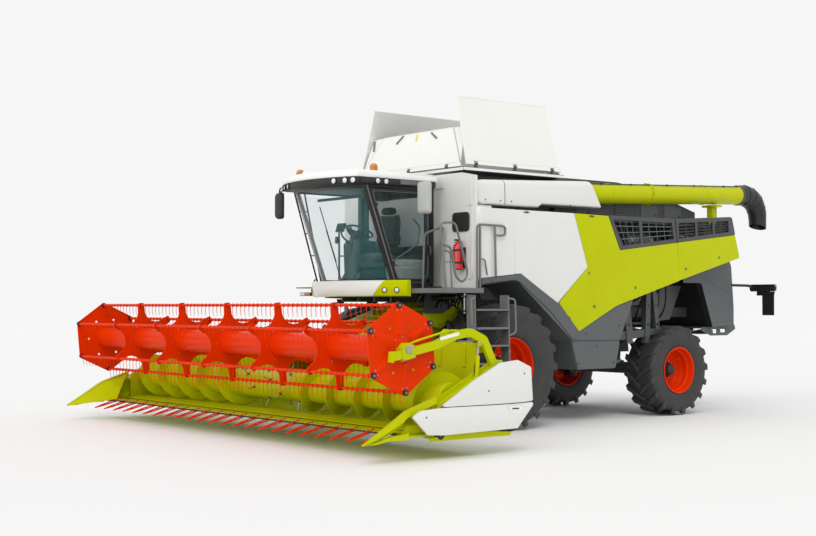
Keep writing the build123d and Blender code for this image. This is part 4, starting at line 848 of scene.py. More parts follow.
# black lip around the tube where it leaves the hood
ring = []
for a in turns(40):
    z = tube_z(2.1) + 0.178 * sin(a)
    ring.append(at(TUBE_X + 0.178 * cos(a), hood_end(z) + 0.004, z))
hood.tube(ring, 0.014, TRIM, closed=True)
for s in (-0.22, 0.08, 0.3, 1.55):
    hood.bolt(at(1.5265, s, 3.36), OUT, 0.012, TRIM)
hood.build("hood_shell", "unloader", replaces=("unloading_hood",), slot="white_paint", bevel=0.004, merge=False)

spout = Piece()
end = tube_z(6.0)
# rubber boot: round at the tube, bending down to a flattened, rounded mouth
path = spline(track(TUBE_X, (5.99, end), (6.22, end + 0.004), (6.44, end - 0.075), (6.565, end - 0.255),
    (6.59, end - 0.44)))
rings, inner = [], []
for k, c in enumerate(path):
    u = k / (len(path) - 1)
    d = (path[min(k + 1, len(path) - 1)] - path[max(k - 1, 0)]).normalized()
    up = Vector(OUT).cross(d)
    if up.z < 0 and u < 0.5:
        up = -up
    wide, high = 0.172 - 0.012 * u, 0.172 + 0.03 * sin(pi * u) - 0.034 * u
    rings.append([c + Vector(OUT) * wide * cos(b) + up * high * sin(b) for b in turns(36)])
    inner.append([c + Vector(OUT) * (wide - 0.012) * cos(b) + up * (high - 0.012) * sin(b) for b in turns(36)])
# the mouth's rear lip hangs lower than its front
for ring in (rings[-1], inner[-1]):
    for k, p in enumerate(ring):
        ring[k] = p + Vector((0, 0, -0.1 - 0.06 * cos(2 * pi * (k - 9) / 36)))
spout.loft(rings, TRIM, caps=False)
spout.loft(list(reversed(inner)), TRIM, caps=False)
spout.loft([rings[-1], inner[-1]], TRIM, caps=False)
for k in (5, 9, 13, 17, 21):
    spout.tube([p + (p - path[k]).normalized() * 0.002 for p in rings[k]], 0.005, TRIM, closed=True)
collar(spout, 5.985, 6.02, TUBE_R + 0.014, DARK, 40)
spout.build("spout_boot", "unloader", replaces=("unloading_spout",), slot="dark_paint", angle=50, merge=False)

# ------------------------------------------------------------ tank and flaps
CATCH = material("rubber_catch", (132, 118, 84), rough=0.6, grain=300, grain_depth=0.0006, mottle=0.12)
YELLOW = material("yellow_plastic", (232, 204, 62), rough=0.45, grain=300, grain_depth=0.0004, mottle=0.06)
paint("grain_tank", DARK)
for name in ("left", "right", "front", "rear"):
    paint(f"tank_flap_{name}", SHEET)


def pressed_rib(flap, on, middle, foot, crest):
    """Rib pressed into a flap. Foot and crest: half width, lower end, upper end, height off the sheet."""
    flap.loft([[on(u, q, high) for u, q in rect(middle - half, middle + half, low, top)] for half, low, top,
        high in (foot, crest)], SHEET)


for hand, sign in SIDES:
    flap = Piece(sign)
    lean = radians(15)
    hinge = (1.285, 3.906)

    def on(s, q, w):
        """Point on the side flap: q up the flap, w out of its outer face."""
        return at(hinge[0] - (q * sin(lean) - w * cos(lean)), s, hinge[1] + q * cos(lean) + w * sin(lean))

    s0, s1 = -0.38, 1.58
    # folded rim, stiffening ribs pressed into the sheet, and the hinge strip
    frame_line = [(s0 + 0.015, 0.055), (s1 - 0.015, 0.055), (s1 - 0.068, 1.058), (s0 + 0.068, 1.058)]
    flap.tube([on(s, q, 0.012) for s, q in rounded(frame_line, 0.03)], 0.006, SHEET, closed=True)
    for k in range(1, 5):
        s = s0 + 0.04 + (s1 - s0 - 0.08) * k / 5
        pressed_rib(flap, on, s, (0.028, 0.1, 0.98, 0.0125), (0.01, 0.115, 0.965, 0.0145))
    for k in range(9):
        s = s0 + 0.14 + (s1 - s0 - 0.28) * k / 8
        flap.bolt(on(s, 0.075, 0.0125), on(s, 0.03, 1.0) - on(s, 0.03, 0.0), 0.008, SHEET)
    flap.build(f"flap_ribs_{hand}", f"flap_{hand}", slot="white_paint", angle=30)
for name, s_hinge, way in (("front", -0.425, 1), ("rear", 1.625, -1)):
    flap = Piece()
    lean = radians(17)

    def on(x, q, w):
        """Point on the end flap: q up the flap, w out of its outer face."""
        return at(x, s_hinge + way * (q * sin(lean) - w * cos(lean)), 3.876 + q * cos(lean) + w * sin(lean))

    frame_line = [(-1.182, 0.055), (1.182, 0.055), (0.845, 0.625), (-0.845, 0.625)]
    flap.tube([on(x, q, 0.012) for x, q in rounded(frame_line, 0.03)], 0.006, SHEET, closed=True)
    for x in (-0.62, -0.2, 0.2, 0.62):
        pressed_rib(flap, on, x, (0.025, 0.09, 0.55, 0.0125), (0.008, 0.1, 0.54, 0.0142))
    for _ in flap.both():
        # cloth corner between the flap and the side flap, with its seam and hem
        corner = [(1.195, 0.06), (1.108, 0.625), (0.85, 0.632)]
        flap.loft([[on(x, q, 0.003) for x, q in corner], [on(x, q, -0.003) for x, q in corner]], SHEET)
        flap.tube([on(*corner[0], 0.008), on(*corner[2], 0.008)], 0.008, LINING)
        flap.tube([on(*corner[1], 0.0), on(*corner[2], 0.0)], 0.006, SHEET)
    if name == "front":
        # rubber catches
        for (x0, q0), (x1, q1), mat in (((-1.075, 0.6), (-1.035, 0.43), CATCH),
                ((-0.466, 0.495), (-0.33, 0.618), CATCH), ((0.36, 0.595), (0.52, 0.49), CATCH),
                ((0.022, 0.6), (0.022, 0.505), YELLOW)):
            flap.tube([on(x0, q0, 0.018), on(x1, q1, 0.018)], 0.016, mat, 10)
    flap.build(f"flap_ribs_{name}", f"flap_{name}", slot="white_paint", angle=30)
# strips along the top of the tank's walls
rim = Piece()
for _ in rim.both():
    rim.box(at(1.303, -0.44, 3.802), at(1.312, 1.64, 3.842), SHEET)
rim.box(at(-1.3, -0.452, 3.8), at(1.3, -0.443, 3.842), SHEET)
rim.build("rim_strip", "chassis", slot="white_paint", bevel=0.002, segments=1)

# ----------------------------------------------------------------------- cab
# Half width, heights of foot and head, and station of the back
CAB_HALF, CAB_FOOT, CAB_HEAD, CAB_BACK = 0.88, 2.1, 3.57, -0.7


def pillar_s(z):
    """Station of the front pillar's outer edge at a height."""
    return -1.4 - 0.55 * (z - 2.1) / 1.47


def bow(x, half, front, mid):
    """Station of a bowed front: front at X = half, mid at X = 0."""
    sag = front - mid
    r = (half * half + sag * sag) / (2 * sag)
    return mid + r - math.sqrt(r * r - x * x)


def screen_s(x, z):
    """Station of the windscreen."""
    return bow(x, CAB_HALF, pillar_s(z), pillar_s(z) - 0.29)


def spread(half, steps, ring):
    """Rings at even steps from X = -half to X = half."""
    return [ring(-half + 2 * half * k / steps) for k in range(steps + 1)]


shell = Piece()
for sign in shell.both():
    # front pillar: tapering bar with a rubber joint, and a grey strip along it that is a painted highlight on the
    # pillar
    rings = []
    for z in (CAB_FOOT, 2.5, 3.0, CAB_HEAD):
        s = pillar_s(z)
        rings.append([at(CAB_HALF, s - 0.005, z), at(CAB_HALF, s + 0.058, z), at(CAB_HALF - 0.045, s + 0.058, z),
            at(CAB_HALF - 0.055, s - 0.014, z), at(CAB_HALF - 0.025, s - 0.02, z)])
    shell.loft(rings, TRIM if sign > 0 else LINING)
    # grey strip on the pillar's outer face: painted highlight
    strip = [at(CAB_HALF + 0.004, pillar_s(z) + 0.012, z) for z in (2.14, 3.54)]
    wide = [at(CAB_HALF + 0.004, pillar_s(z) + 0.04, z) for z in (2.14, 3.54)]
    out = Vector((0.008, 0, 0))
    shell.loft([[strip[0], wide[0], wide[0] + out, strip[0] + out], [strip[1], wide[1], wide[1] + out, strip[1] + out]],
        GREY)
    # rear pillar, sill and roof rail
    shell.box(at(0.79, -0.745, CAB_FOOT), at(0.88, -0.66, CAB_HEAD), TRIM)
    shell.box(at(0.8, -1.39, CAB_FOOT), at(0.88, CAB_BACK, 2.15), TRIM)
    rail = [(pillar_s(3.52), 3.51), (CAB_BACK, 3.51), (CAB_BACK, CAB_HEAD), (pillar_s(CAB_HEAD), CAB_HEAD)]
    shell.side(rail, 0.8, 0.08, TRIM)
# right-hand side: sill up to the window's foot, mid bar of the side window
shell.side([(pillar_s(2.14) + 0.06, 2.14), (CAB_BACK, 2.14), (CAB_BACK, 2.205), (pillar_s(2.205) + 0.06, 2.205)], -0.86,
    0.05, TRIM)
# front sill and header following the bow
for z0, z1 in ((CAB_FOOT, 2.19), (3.5, CAB_HEAD)):
    shell.loft(spread(0.87, 24, lambda x: track(x, (screen_s(x, z0) + 0.002, z0), (screen_s(x, z1) + 0.002, z1),
        (screen_s(x, z1) + 0.07, z1), (screen_s(x, z0) + 0.07, z0))), TRIM)
# rear wall with its window
shell.slab(rect(-0.84, 0.84, CAB_FOOT, CAB_HEAD), lambda u, v, w: at(u, -0.705 + w, v), 0.045, BLACK,
    [rounded(rect(-0.7, 0.7, 2.7, 3.43), 0.06, 4)])
# floor and headlining
for z, gap, low, high, mat in ((2.12, 0.03, 2.105, 2.128, BLACK), (3.55, 0.04, 3.535, 3.565, LINING)):
    shell.loft(spread(0.85, 16, lambda x: track(x, (screen_s(x, z) + gap, low), (CAB_BACK, low), (CAB_BACK, high),
        (screen_s(x, z) + gap, high))), mat)
shell.build("cab_shell", "chassis", replaces=("cab_frame",), slot="dark_paint", bevel=0.008, angle=40)
paint("cab_glass", GLASS)

# ---- roof: white cap with rounded shoulders over a black band with the lamps
def roof_s(x):
    """Station of the roof's front edge."""
    return bow(x, 0.95, -2.12, -2.36)


def roof_ring(inset, z):
    """Outline of the roof at a height, drawn in by inset."""
    half = 0.95 - inset
    points = spread(half, 24, lambda x: at(x, roof_s(x) + inset, z))
    back = -0.66 - inset * 0.5
    return points + [at(half, -1.4, z), at(half, back, z), at(0.3, back, z), at(-half, back, z), at(-half, -1.4, z)]


roof = Piece()
roof.loft([roof_ring(i, z) for i, z in ((0.03, 3.628), (0.006, 3.636), (0.0, 3.655), (0.004, 3.69), (0.024, 3.722),
    (0.065, 3.742), (0.16, 3.75), (0.45, 3.752), (0.6, 3.753))], ROOF)
# long shallow press in the roof's top
roof.loft([roof_ring(i, z) for i, z in ((0.3, 3.748), (0.312, 3.756), (0.36, 3.758), (0.37, 3.752))], ROOF)
roof.build("roof_cap", "chassis", replaces=("cab_roof",), slot="white_plastic", angle=50, merge=False)
band = Piece()
band.loft([roof_ring(i, z) for i, z in ((0.075, 3.528), (0.045, 3.533), (0.02, 3.55), (0.012, 3.6), (0.022, 3.635))],
    BLACK)
# lamps sunk in the band
spots = []
for x in (0.58, 0.76, 0.88):
    for sign in (1, -1):
        slope = (roof_s(x + 0.01) - roof_s(x - 0.01)) / 0.02
        spots.append((at(sign * x, roof_s(x) + 0.014, 3.582), Vector((sign * slope, -1, 0)).normalized()))
for s in (-1.754, -1.603):
    spots += [(at(sign * 0.94, s, 3.59), Vector((sign, -0.12, 0)).normalized()) for sign in (1, -1)]
for p, out in spots:
    band.lathe([(-0.02, 0.001), (-0.02, 0.046), (0.012, 0.05), (0.02, 0.046), (0.018, 0.041), (0.004, 0.039)], p, out,
        TRIM, 24)
    band.lathe([(0.006, 0.04), (0.013, 0.03), (0.017, 0.014), (0.018, 0.001)], p, out, LENS, 24)
# grey side visor and rain rail over the door
for _ in band.both():
    band.side([(-2.06, 3.56), (-1.35, 3.575), (-1.35, 3.628), (-2.06, 3.628)], 0.943, 0.006, BLACK)
    band.side([(-1.34, 3.56), (-0.8, 3.575), (-0.8, 3.628), (-1.34, 3.628)], 0.94, 0.006, GREY)
band.build("roof_band", "chassis", slot="dark_paint", bevel=0.004, angle=40, merge=False)
# beacons
for x, s in ((-0.84, -1.87), (0.575, -1.545)):
    beacon = Piece()
    beacon.lathe([(-0.004, 0.001), (-0.004, 0.066), (0.02, 0.066), (0.026, 0.056), (0.028, 0.001)], at(x, s, 3.752), UP,
        TRIM)
    beacon.lathe([(0.026, 0.001), (0.026, 0.06), (0.085, 0.058), (0.112, 0.048), (0.128, 0.026), (0.132, 0.001)],
        at(x, s, 3.752), UP, AMBER)
    for z in (0.04, 0.058, 0.076):
        beacon.lathe([(z, 0.0585), (z + 0.004, 0.062), (z + 0.008, 0.0585)], at(x, s, 3.752), UP, AMBER)
    beacon.build(f"beacon_{'left' if x > 0 else 'right'}", "chassis", slot="white_plastic", angle=30)
aerial = Piece()
aerial.lathe([(0, 0.07), (0.02, 0.085), (0.045, 0.08), (0.06, 0.05), (0.064, 0.001)], at(-0.42, -2.02, 3.75), UP, SHEET)
aerial.build("receiver_dome", "chassis", slot="white_plastic", angle=30)


def mirror(piece, x, s, z0, z1, half, turn, mat=BLACK):
    """Tall mirror in a rounded housing, facing back."""
    c, d = cos(turn), sin(turn)

    def place(u, v, w):
        return at(x + u * c - w * d, s + u * d + w * c, v)

    outline = rounded(rect(-half, half, z0, z1), 0.055, 6)
    inner = rounded(rect(-half + 0.014, half - 0.014, z0 + 0.018, z1 - 0.018), 0.045, 6)
    rings = [[place(u * (1 + grow / half), (v - (z0 + z1) / 2) * (1 + 0.6 * grow / half) + (z0 + z1) / 2, w) for u,
        v in outline] for w, grow in ((0.0, 0.0), (-0.012, -0.002), (-0.04, -0.01), (-0.062, -0.03), (-0.068, -0.055))]
    piece.loft(rings[:2], TRIM)
    piece.loft(rings[1:], mat)
    piece.slab(inner, place, 0.004, MIRROR)
    piece.tube([place(u, v, 0.002) for u, v in inner], 0.005, TRIM, closed=True)


# right-hand mirror hangs from the roof; guard bars run down in front of it
right = Piece()
mirror(right, -1.325, -1.905, 3.15, 3.56, 0.1, 0)
right.tube(curve([at(-0.93, -2.08, 3.61), at(-1.2, -1.99, 3.615), at(-1.325, -1.925, 3.6), at(-1.325, -1.925, 3.45)],
    0.05), 0.013, TRIM, 12)
right.tube(curve([at(-0.92, -2.06, 3.585), at(-1.25, -1.95, 3.57), at(-1.325, -1.935, 3.22)], 0.05), 0.011, TRIM, 12)
right.build("mirror_right", "chassis", slot="dark_paint")
bars = Piece()
heads, feet = (at(-0.955, -1.905, 3.56), at(-0.925, -1.74, 3.56)), (at(-0.932, -1.48, 2.16), at(-0.908, -1.43, 2.16))
for head, foot in zip(heads, feet):
    bars.tube(curve([head, foot, foot + Vector((0.006, 0.02, -0.08))], 0.05), 0.013, TRIM, 12)
for t in (0.22, 0.46, 0.7):
    bars.rod(heads[0].lerp(feet[0], t), heads[1].lerp(feet[1], t), 0.008, TRIM)
bars.build("guard_bars", "chassis", slot="dark_paint")

# ---- door: one pane in a rounded black frame, with the mirror on its arm
door = Piece()
leaf = [(pillar_s(2.157) + 0.068, 2.157), (-0.728, 2.157), (-0.728, 3.488), (pillar_s(3.488) + 0.068, 3.488)]
outline = rounded(leaf, [0.02, 0.16, 0.03, 0.03], 8)
opening = rounded([(pillar_s(2.205) + 0.102, 2.205), (-0.775, 2.205), (-0.775, 3.452),
    (pillar_s(3.452) + 0.102, 3.452)], [0.05, 0.13, 0.05, 0.05], 8)
door.side(outline, 0.85, 0.03, TRIM, [opening])
door.tube(track(0.8805, *opening), 0.006, GREY, closed=True)
# grab rail across the pane, lock and handle
door.tube(curve([at(0.842, -1.36, 2.46), at(0.8, -1.34, 2.47), at(0.8, -1.0, 2.66), at(0.8, -0.9, 2.72),
    at(0.8, -0.86, 2.98), at(0.8, -0.98, 3.07), at(0.842, -1.0, 3.08)], 0.06), 0.012, GREY, 12)
door.box(at(0.88, -0.79, 2.545), at(0.902, -0.735, 2.7), TRIM)
door.tube(curve([at(0.895, -0.762, 2.56), at(0.925, -0.762, 2.575), at(0.925, -0.762, 2.665), at(0.895, -0.762, 2.68)],
    0.012), 0.008, GREY, 10)
for z in (2.42, 3.25):
    s = pillar_s(z) + 0.063
    a, b = Vector((0.9, s + AXLE_Y, z - 0.03)), Vector((0.9, s + AXLE_Y - 0.0206, z + 0.025))
    door.rod(a, b, 0.0115, TRIM, 16)
    door.box(at(0.868, s + 0.002, z - 0.02), at(0.9, s + 0.052, z + 0.03), TRIM)
mirror(door, 1.29, -1.165, 3.12, 3.59, 0.115, radians(20), LINING)
door.tube(curve([at(0.875, -0.785, 3.4), at(1.08, -0.98, 3.425), at(1.285, -1.185, 3.43), at(1.288, -1.19, 3.3)], 0.04),
    0.013, TRIM, 12)
door.tube(curve([at(0.875, -0.785, 3.24), at(1.08, -0.98, 3.2), at(1.285, -1.185, 3.21), at(1.288, -1.19, 3.34)], 0.04),
    0.011, TRIM, 12)
door.build("door_frame", "cab_door", replaces=("cab_door",), slot="dark_paint", bevel=0.003, segments=1)
paint("cab_door_glass", TINTED)

# ---- wiper
wiper = Piece()
p = at(0.05, screen_s(0.05, 2.16) - 0.004, 2.155)
wiper.lathe([(0, 0.022), (0.018, 0.02), (0.026, 0.001)], p, (0, -1, 0.1), TRIM, 20)
arm = [at(0.05, screen_s(0.05, 2.16 + 0.75 * t) - 0.022, 2.16 + 0.75 * t) for t in (0, 0.3, 0.6, 1.0)]
wiper.tube(arm, [0.009, 0.007, 0.006, 0.005], TRIM)
blade = [at(0.05, screen_s(0.05, z) - 0.012, z) for z in (2.45, 2.65, 2.85, 3.05, 3.25)]
wiper.tube(blade, 0.007, TRIM)
wiper.build("wiper", "chassis", slot="dark_paint")

# ---- bumper under the screen: white middle, slanted green ends with lamps
def bumper_s(x):
    """Station of the bumper's front."""
    return bow(x, 1.18, -1.4, -1.84)


def bumper_ring(x, tilt=0.0):
    """Section of the bumper at X; tilt slants the cut from its foot to its head."""
    out = []
    for z, back in ((1.945, 0.05), (1.955, 0.016), (1.985, 0.0), (2.07, -0.008), (2.155, 0.0), (2.176, 0.026)):
        xx = x + tilt * (z - 1.945)
        out.append(at(xx, bumper_s(xx) + back, z))
    xx = x + tilt * (2.176 - 1.945)
    out.append(at(xx, bumper_s(xx) + 0.06 if abs(xx) > 0.9 else screen_s(xx, 2.18) - 0.004, 2.18))
    out.append(at(xx, -1.335, 2.12))
    out.append(at(x, -1.335, 1.945))
    return out


bumper = Piece()


def bumper_span(x0, t0, x1, t1, steps, mat):
    rings = []
    for k in range(steps + 1):
        u = k / steps
        rings.append(bumper_ring(x0 + (x1 - x0) * u, t0 + (t1 - t0) * u))
    bumper.loft(rings, mat)


bumper_span(-0.72, -0.75, 0.72, 0.75, 24, WHITE)
bumper_span(0.7235, 0.75, 1.176, 0.0, 10, GREEN)
bumper_span(-0.7235, -0.75, -1.176, 0.0, 10, GREEN)
for _ in bumper.both():
    for x in (0.905, 1.06):
        s = bumper_s(x)
        slope = (bumper_s(x + 0.01) - bumper_s(x - 0.01)) / 0.02
        out = Vector((slope, -1, 0)).normalized()
        p = at(x, s - 0.004, 2.035)
        bumper.lathe([(0.002, 0.04), (0.01, 0.04), (0.012, 0.035), (0.006, 0.031), (0.0045, 0.001)], p, out, TRIM, 24)
        bumper.lathe([(0.005, 0.03), (0.01, 0.022), (0.012, 0.001)], p, out, LENS, 24)
bumper.build("bumper", "chassis", replaces=("cab_base",), slot="green_paint", merge=False)
base = Piece()
# dark tray under the cab, its front step and the side plates
base.loft(spread(0.86, 16, lambda x: track(x, (bow(x, 1.18, -1.4, -1.74) + 0.06, 2.0), (-0.5, 1.905), (-0.5, 2.098),
    (screen_s(x, 2.1) - 0.02, 2.098))), BLACK)
for _ in base.both():
    base.side([(-1.38, 1.93), (-0.5, 1.905), (-0.5, 2.097), (-1.38, 2.097)], 0.862, 0.016, BLACK)
    base.box(at(0.88, -1.335, 2.062), at(1.17, -1.3, 2.093), BLACK)
for x in (-0.6, -0.2, 0.2, 0.6):
    base.box(at(x - 0.02, -1.25, 1.87), at(x + 0.02, -0.56, 1.94), DARK)
# rubber mounts
for _ in base.both():
    for s in (-1.2, -0.62):
        base.lathe([(0, 0.001), (0, 0.055), (0.012, 0.06), (0.035, 0.05), (0.055, 0.062), (0.067, 0.055),
            (0.067, 0.001)], at(0.72, s, 1.845), UP, HOSE, 24)
base.build("cab_tray", "chassis", slot="dark_paint", bevel=0.004)
# right-hand front: step plate with its marker lamp
side_step = Piece()
side_step.box(at(-1.62, -1.42, 2.085), at(-1.02, -1.2, 2.1), BLACK)
side_step.box(at(-1.6, -1.36, 1.965), at(-1.3, -1.29, 2.02), TRIM)
side_step.box(at(-1.595, -1.368, 1.973), at(-1.46, -1.358, 2.012), LENS)
side_step.box(at(-1.455, -1.368, 1.973), at(-1.31, -1.358, 2.012), AMBER)
side_step.rod(at(-1.28, -1.32, 1.99), at(-1.02, -1.38, 2.02), 0.014, TRIM)
side_step.tube(curve([at(-1.0, -1.5, 2.09), at(-1.0, -1.5, 2.21), at(-1.02, -1.42, 2.21), at(-1.02, -1.42, 2.09)],
    0.03), 0.01, TRIM, 10)
# service plate beside the cab with its hoop and work lamp
side_step.box(at(-1.42, -0.96, 2.058), at(-0.89, -0.486, 2.072), BLACK)
for s in (-0.9, -0.55):
    side_step.rod(at(-0.89, s, 1.96), at(-1.3, s, 2.06), 0.012, TRIM)
side_step.lathe([(-0.045, 0.001), (-0.045, 0.03), (-0.03, 0.052), (0.0, 0.06), (0.012, 0.058), (0.008, 0.05),
    (0.006, 0.001)], at(-1.2, -0.935, 2.85), (-0.4, -1, 0), TRIM, 28)
side_step.rod(at(-1.2, -0.925, 2.85), at(-1.2, -0.878, 2.85), 0.01, TRIM)
side_step.build("right_step", "chassis", slot="dark_paint", bevel=0.003)


# ------------------------------------------------------------- cab interior
RAIL = material("rail_paint", (108, 111, 112), rough=0.42, coat=0.1, mottle=0.06, dust=0.06)
TREAD = material("tread_plate", (92, 95, 96), rough=0.5, metal=0.4, grain=60, grain_depth=0.004, mottle=0.1, dust=0.2)
SHELL = material("interior_plastic", (54, 62, 62), rough=0.6, grain=700, grain_depth=0.0007, mottle=0.05)
BOX_GREY = material("cool_box_plastic", (150, 160, 158), rough=0.5, grain=500, grain_depth=0.0005, mottle=0.04)


def cushion(name, place, half_u, half_v, thick, channels, body, replaces=()):
    """Foam pad with a crowned face, drawn-in sides, sewn channels and a welt along its seam."""
    pad = Piece()
    count = 36
    seam = 0.36 * thick

    def spot(a, b, face):
        u = a * half_u * (1 - 0.045 * (1 - b * b))
        v = b * half_v * (1 - 0.045 * (1 - a * a))
        rise = ((1 - abs(a) ** 4) * (1 - abs(b) ** 4)) ** 0.42
        if face:
            w = seam + (thick - seam) * rise * (1 - 0.1 * (a * a + b * b))
            for line in channels:
                w -= 0.011 * math.exp(-((b - line) * half_v / 0.01) ** 2) * rise
            for line in (-0.6, 0.6):
                w -= 0.01 * math.exp(-((a - line) * half_u / 0.009) ** 2) * rise
            w += 0.0016 * sin(23 * a + 3 * b) * sin(19 * b - 2 * a) * (1 - rise)
        else:
            w = seam * (1 - min(1, rise * 1.7))
        return place(u, v, w)

    steps = [sin(pi / 2 * (2 * i / count - 1)) for i in range(count + 1)]
    for face in (True, False):
        points = [spot(a, b, face) for b in steps for a in steps]
        faces = []
        for j in range(count):
            for i in range(count):
                k = j * (count + 1) + i
                quad_face = (k, k + 1, k + count + 2, k + count + 1)
                faces.append(quad_face if face else tuple(reversed(quad_face)))
        pad.add(points, faces, CLOTH)
    rim = [spot(a, -1, True) for a in steps] + [spot(1, b, True) for b in steps[1:]]
    rim += [spot(a, 1, True) for a in reversed(steps[:-1])] + [spot(-1, b, True) for b in reversed(steps[1:-1])]
    pad.tube(rim, 0.0045, VINYL, closed=True)
    obj = pad.build(name, body, replaces=replaces, slot="cushion", angle=60)
    return obj


cushion("seat_cushion", lambda u, v, w: at(u, -1.05 + v, 2.462 + w), 0.245, 0.215, 0.15, (-0.45, 0.1, 0.58), "chassis",
    replaces=("driver_cushion",))
lean = radians(8)


def on_back(u, v, w):
    """Point of the backrest: v runs up it and w forwards from its shell."""
    return at(u, -0.8 - w * cos(lean) + v * sin(lean), 2.905 + v * cos(lean) + w * sin(lean))


cushion("seat_back", on_back, 0.235, 0.275, 0.115, (-0.55, -0.2, 0.2, 0.58), "chassis")


def stack(piece, x, s, corner, sections, mat):
    """Upright box with rounded corners. Each section: height, half width, half depth."""
    piece.loft([[at(x + u, s + v, z) for u, v in rounded(rect(-a, a, -b, b), corner)] for z, a, b in sections], mat)


inside = Piece()
INNER = 0.82
# floor mat, seat pedestal with bellows, seat pan and back shell
inside.box(at(-INNER, -1.48, 2.128), at(INNER, -0.72, 2.142), VINYL)
for k in range(14):
    inside.box(at(-0.4, -1.46 + 0.028 * k, 2.142), at(0.4, -1.446 + 0.028 * k, 2.146), VINYL)
inside.box(at(-0.23, -1.24, 2.142), at(0.23, -0.8, 2.19), TRIM)
grow = [0.205 + (0.012 if k % 2 else -0.01) for k in range(13)]
stack(inside, 0, -1.02, 0.05, [(2.19 + 0.205 * k / 12, g, g * 0.9) for k, g in enumerate(grow)], VINYL)
inside.box(at(-0.235, -1.255, 2.395), at(0.235, -0.79, 2.46), SHELL)
inside.loft([[on_back(-half, v, 0.012), on_back(-half * 0.8, v, -deep), on_back(half * 0.8, v, -deep),
    on_back(half, v, 0.012)] for v, half, deep in ((-0.29, 0.2, 0.03), (-0.2, 0.232, 0.045), (0.0, 0.238, 0.05),
    (0.2, 0.225, 0.045), (0.275, 0.19, 0.03))], SHELL)
# head rest
inside.loft([[on_back(-half, v, w0), on_back(-half, v, w1), on_back(half, v, w1), on_back(half, v, w0)] for v, half, w0,
    w1 in ((0.285, 0.09, 0.03, 0.09), (0.3, 0.12, 0.015, 0.105), (0.345, 0.125, 0.012, 0.108),
    (0.385, 0.1, 0.02, 0.095))], VINYL)
for _ in inside.both():
    inside.rod(on_back(0.06, 0.22, 0.05), on_back(0.06, 0.3, 0.05), 0.008, STEEL)
    # arm rests on their brackets
    inside.tube(curve([on_back(0.26, -0.06, -0.01), at(0.27, -0.86, 2.7), at(0.27, -1.1, 2.715)], 0.06), 0.016, TRIM,
        10)
    inside.loft([[at(0.27 + dx, s, z) for dx, z in ((-0.045, 2.715), (-0.04, 2.76), (0.04, 2.76), (0.045, 2.715))]
        for s in (-0.84, -1.0, -1.22, -1.26)], VINYL)
    inside.rod(on_back(0.235, -0.27, 0.03), on_back(0.262, -0.27, 0.03), 0.032, TRIM, 20)
# operator's console on the right with lever, keys and terminal
inside.side(rounded([(-1.3, 2.142), (-0.76, 2.142), (-0.76, 2.77), (-1.24, 2.815), (-1.325, 2.742)],
    [0.02, 0.02, 0.04, 0.05, 0.04], 4), -0.47, 0.19, SHELL)
inside.loft([[at(-0.47 + 0.02, s, z), at(-0.47 + 0.17, s, z), at(-0.47 + 0.17, s, z + 0.012),
    at(-0.47 + 0.02, s, z + 0.012)] for s, z in ((-0.78, 2.77), (-1.02, 2.792), (-1.22, 2.812))], TRIM)
for i in range(3):
    for j in range(5):
        z = 2.776 + (0.82 + 0.05 * j - 0.78) * 0.09 + 0.012
        inside.box(at(-0.435 + 0.045 * i, -0.85 - 0.05 * j, z), at(-0.405 + 0.045 * i, -0.82 - 0.05 * j, z + 0.008),
            GREY)
inside.rod(at(-0.375, -1.235, 2.8), at(-0.375, -1.262, 2.9), 0.012, STEEL, 12)
inside.loft([[at(-0.375 + w * cos(t), -1.262 - 0.02 * k + w * 0.8 * sin(t), 2.885 + 0.032 * k) for t in turns(12)]
    for k, w in enumerate((0.016, 0.026, 0.03, 0.028, 0.018))], TRIM)
inside.tube(curve([at(-0.38, -1.3, 2.77), at(-0.4, -1.4, 2.86), at(-0.4, -1.42, 2.94)], 0.05), 0.014, TRIM, 10)
tilt = Matrix.Rotation(radians(-18), 3, "X")
inside.box(at(-0.5, -1.44, 2.925), at(-0.3, -1.418, 3.06), TRIM, tilt)
inside.box(at(-0.49, -1.421, 2.935), at(-0.31, -1.413, 3.05), SCREEN, tilt, (at(-0.4, -1.429, 2.9925)))
# steering column: stem, boot, wheel with three spokes and its knob
inside.tube(spline(track(0, (-1.48, 2.142), (-1.47, 2.32), (-1.44, 2.56), (-1.4, 2.78))),
    [0.085] * 6 + [0.075] * 6 + [0.062] * 6 + [0.056], SHELL, 20)
inside.lathe([(0, 0.115), (0.02, 0.112), (0.05, 0.09)], at(0, -1.478, 2.142), UP, VINYL, 28)
axis = Vector((0, 0.42, 0.91)).normalized()
wheel_mid = at(0, -1.365, 2.905)
inside.rod(at(0, -1.4, 2.78), wheel_mid, 0.03, TRIM, 18)
inside.lathe([(-0.01, 0.001), (-0.01, 0.052), (0.015, 0.055), (0.024, 0.04), (0.024, 0.001)], wheel_mid, axis, TRIM, 24)
across_x = Vector(OUT)
up_rim = axis.cross(across_x)
inside.tube([wheel_mid + axis * 0.02 + (across_x * cos(t) + up_rim * sin(t)) * 0.195 for t in turns(40)], 0.0155, TRIM,
    12, closed=True)
for t in (radians(90), radians(210), radians(330)):
    spoke = across_x * cos(t) + up_rim * sin(t)
    inside.tube([wheel_mid + spoke * 0.045, wheel_mid + axis * 0.018 + spoke * 0.19], 0.011, TRIM)
knob = wheel_mid + axis * 0.02 + (across_x * cos(2.4) + up_rim * sin(2.4)) * 0.195
inside.lathe([(0.01, 0.001), (0.01, 0.014), (0.035, 0.014), (0.045, 0.024), (0.065, 0.022), (0.072, 0.001)], knob, axis,
    TRIM, 20)
for _ in inside.both():
    inside.tube([at(0.05, -1.395, 2.8), at(0.15, -1.375, 2.832)], 0.007, TRIM)
    # pedals
    inside.box(at(0.17 - 0.04, -1.53, 2.19), at(0.17 + 0.04, -1.512, 2.3), VINYL, Matrix.Rotation(radians(-35), 3, "X"))
    inside.rod(at(0.17, -1.56, 2.15), at(0.17, -1.522, 2.25), 0.009, STEEL, 8)
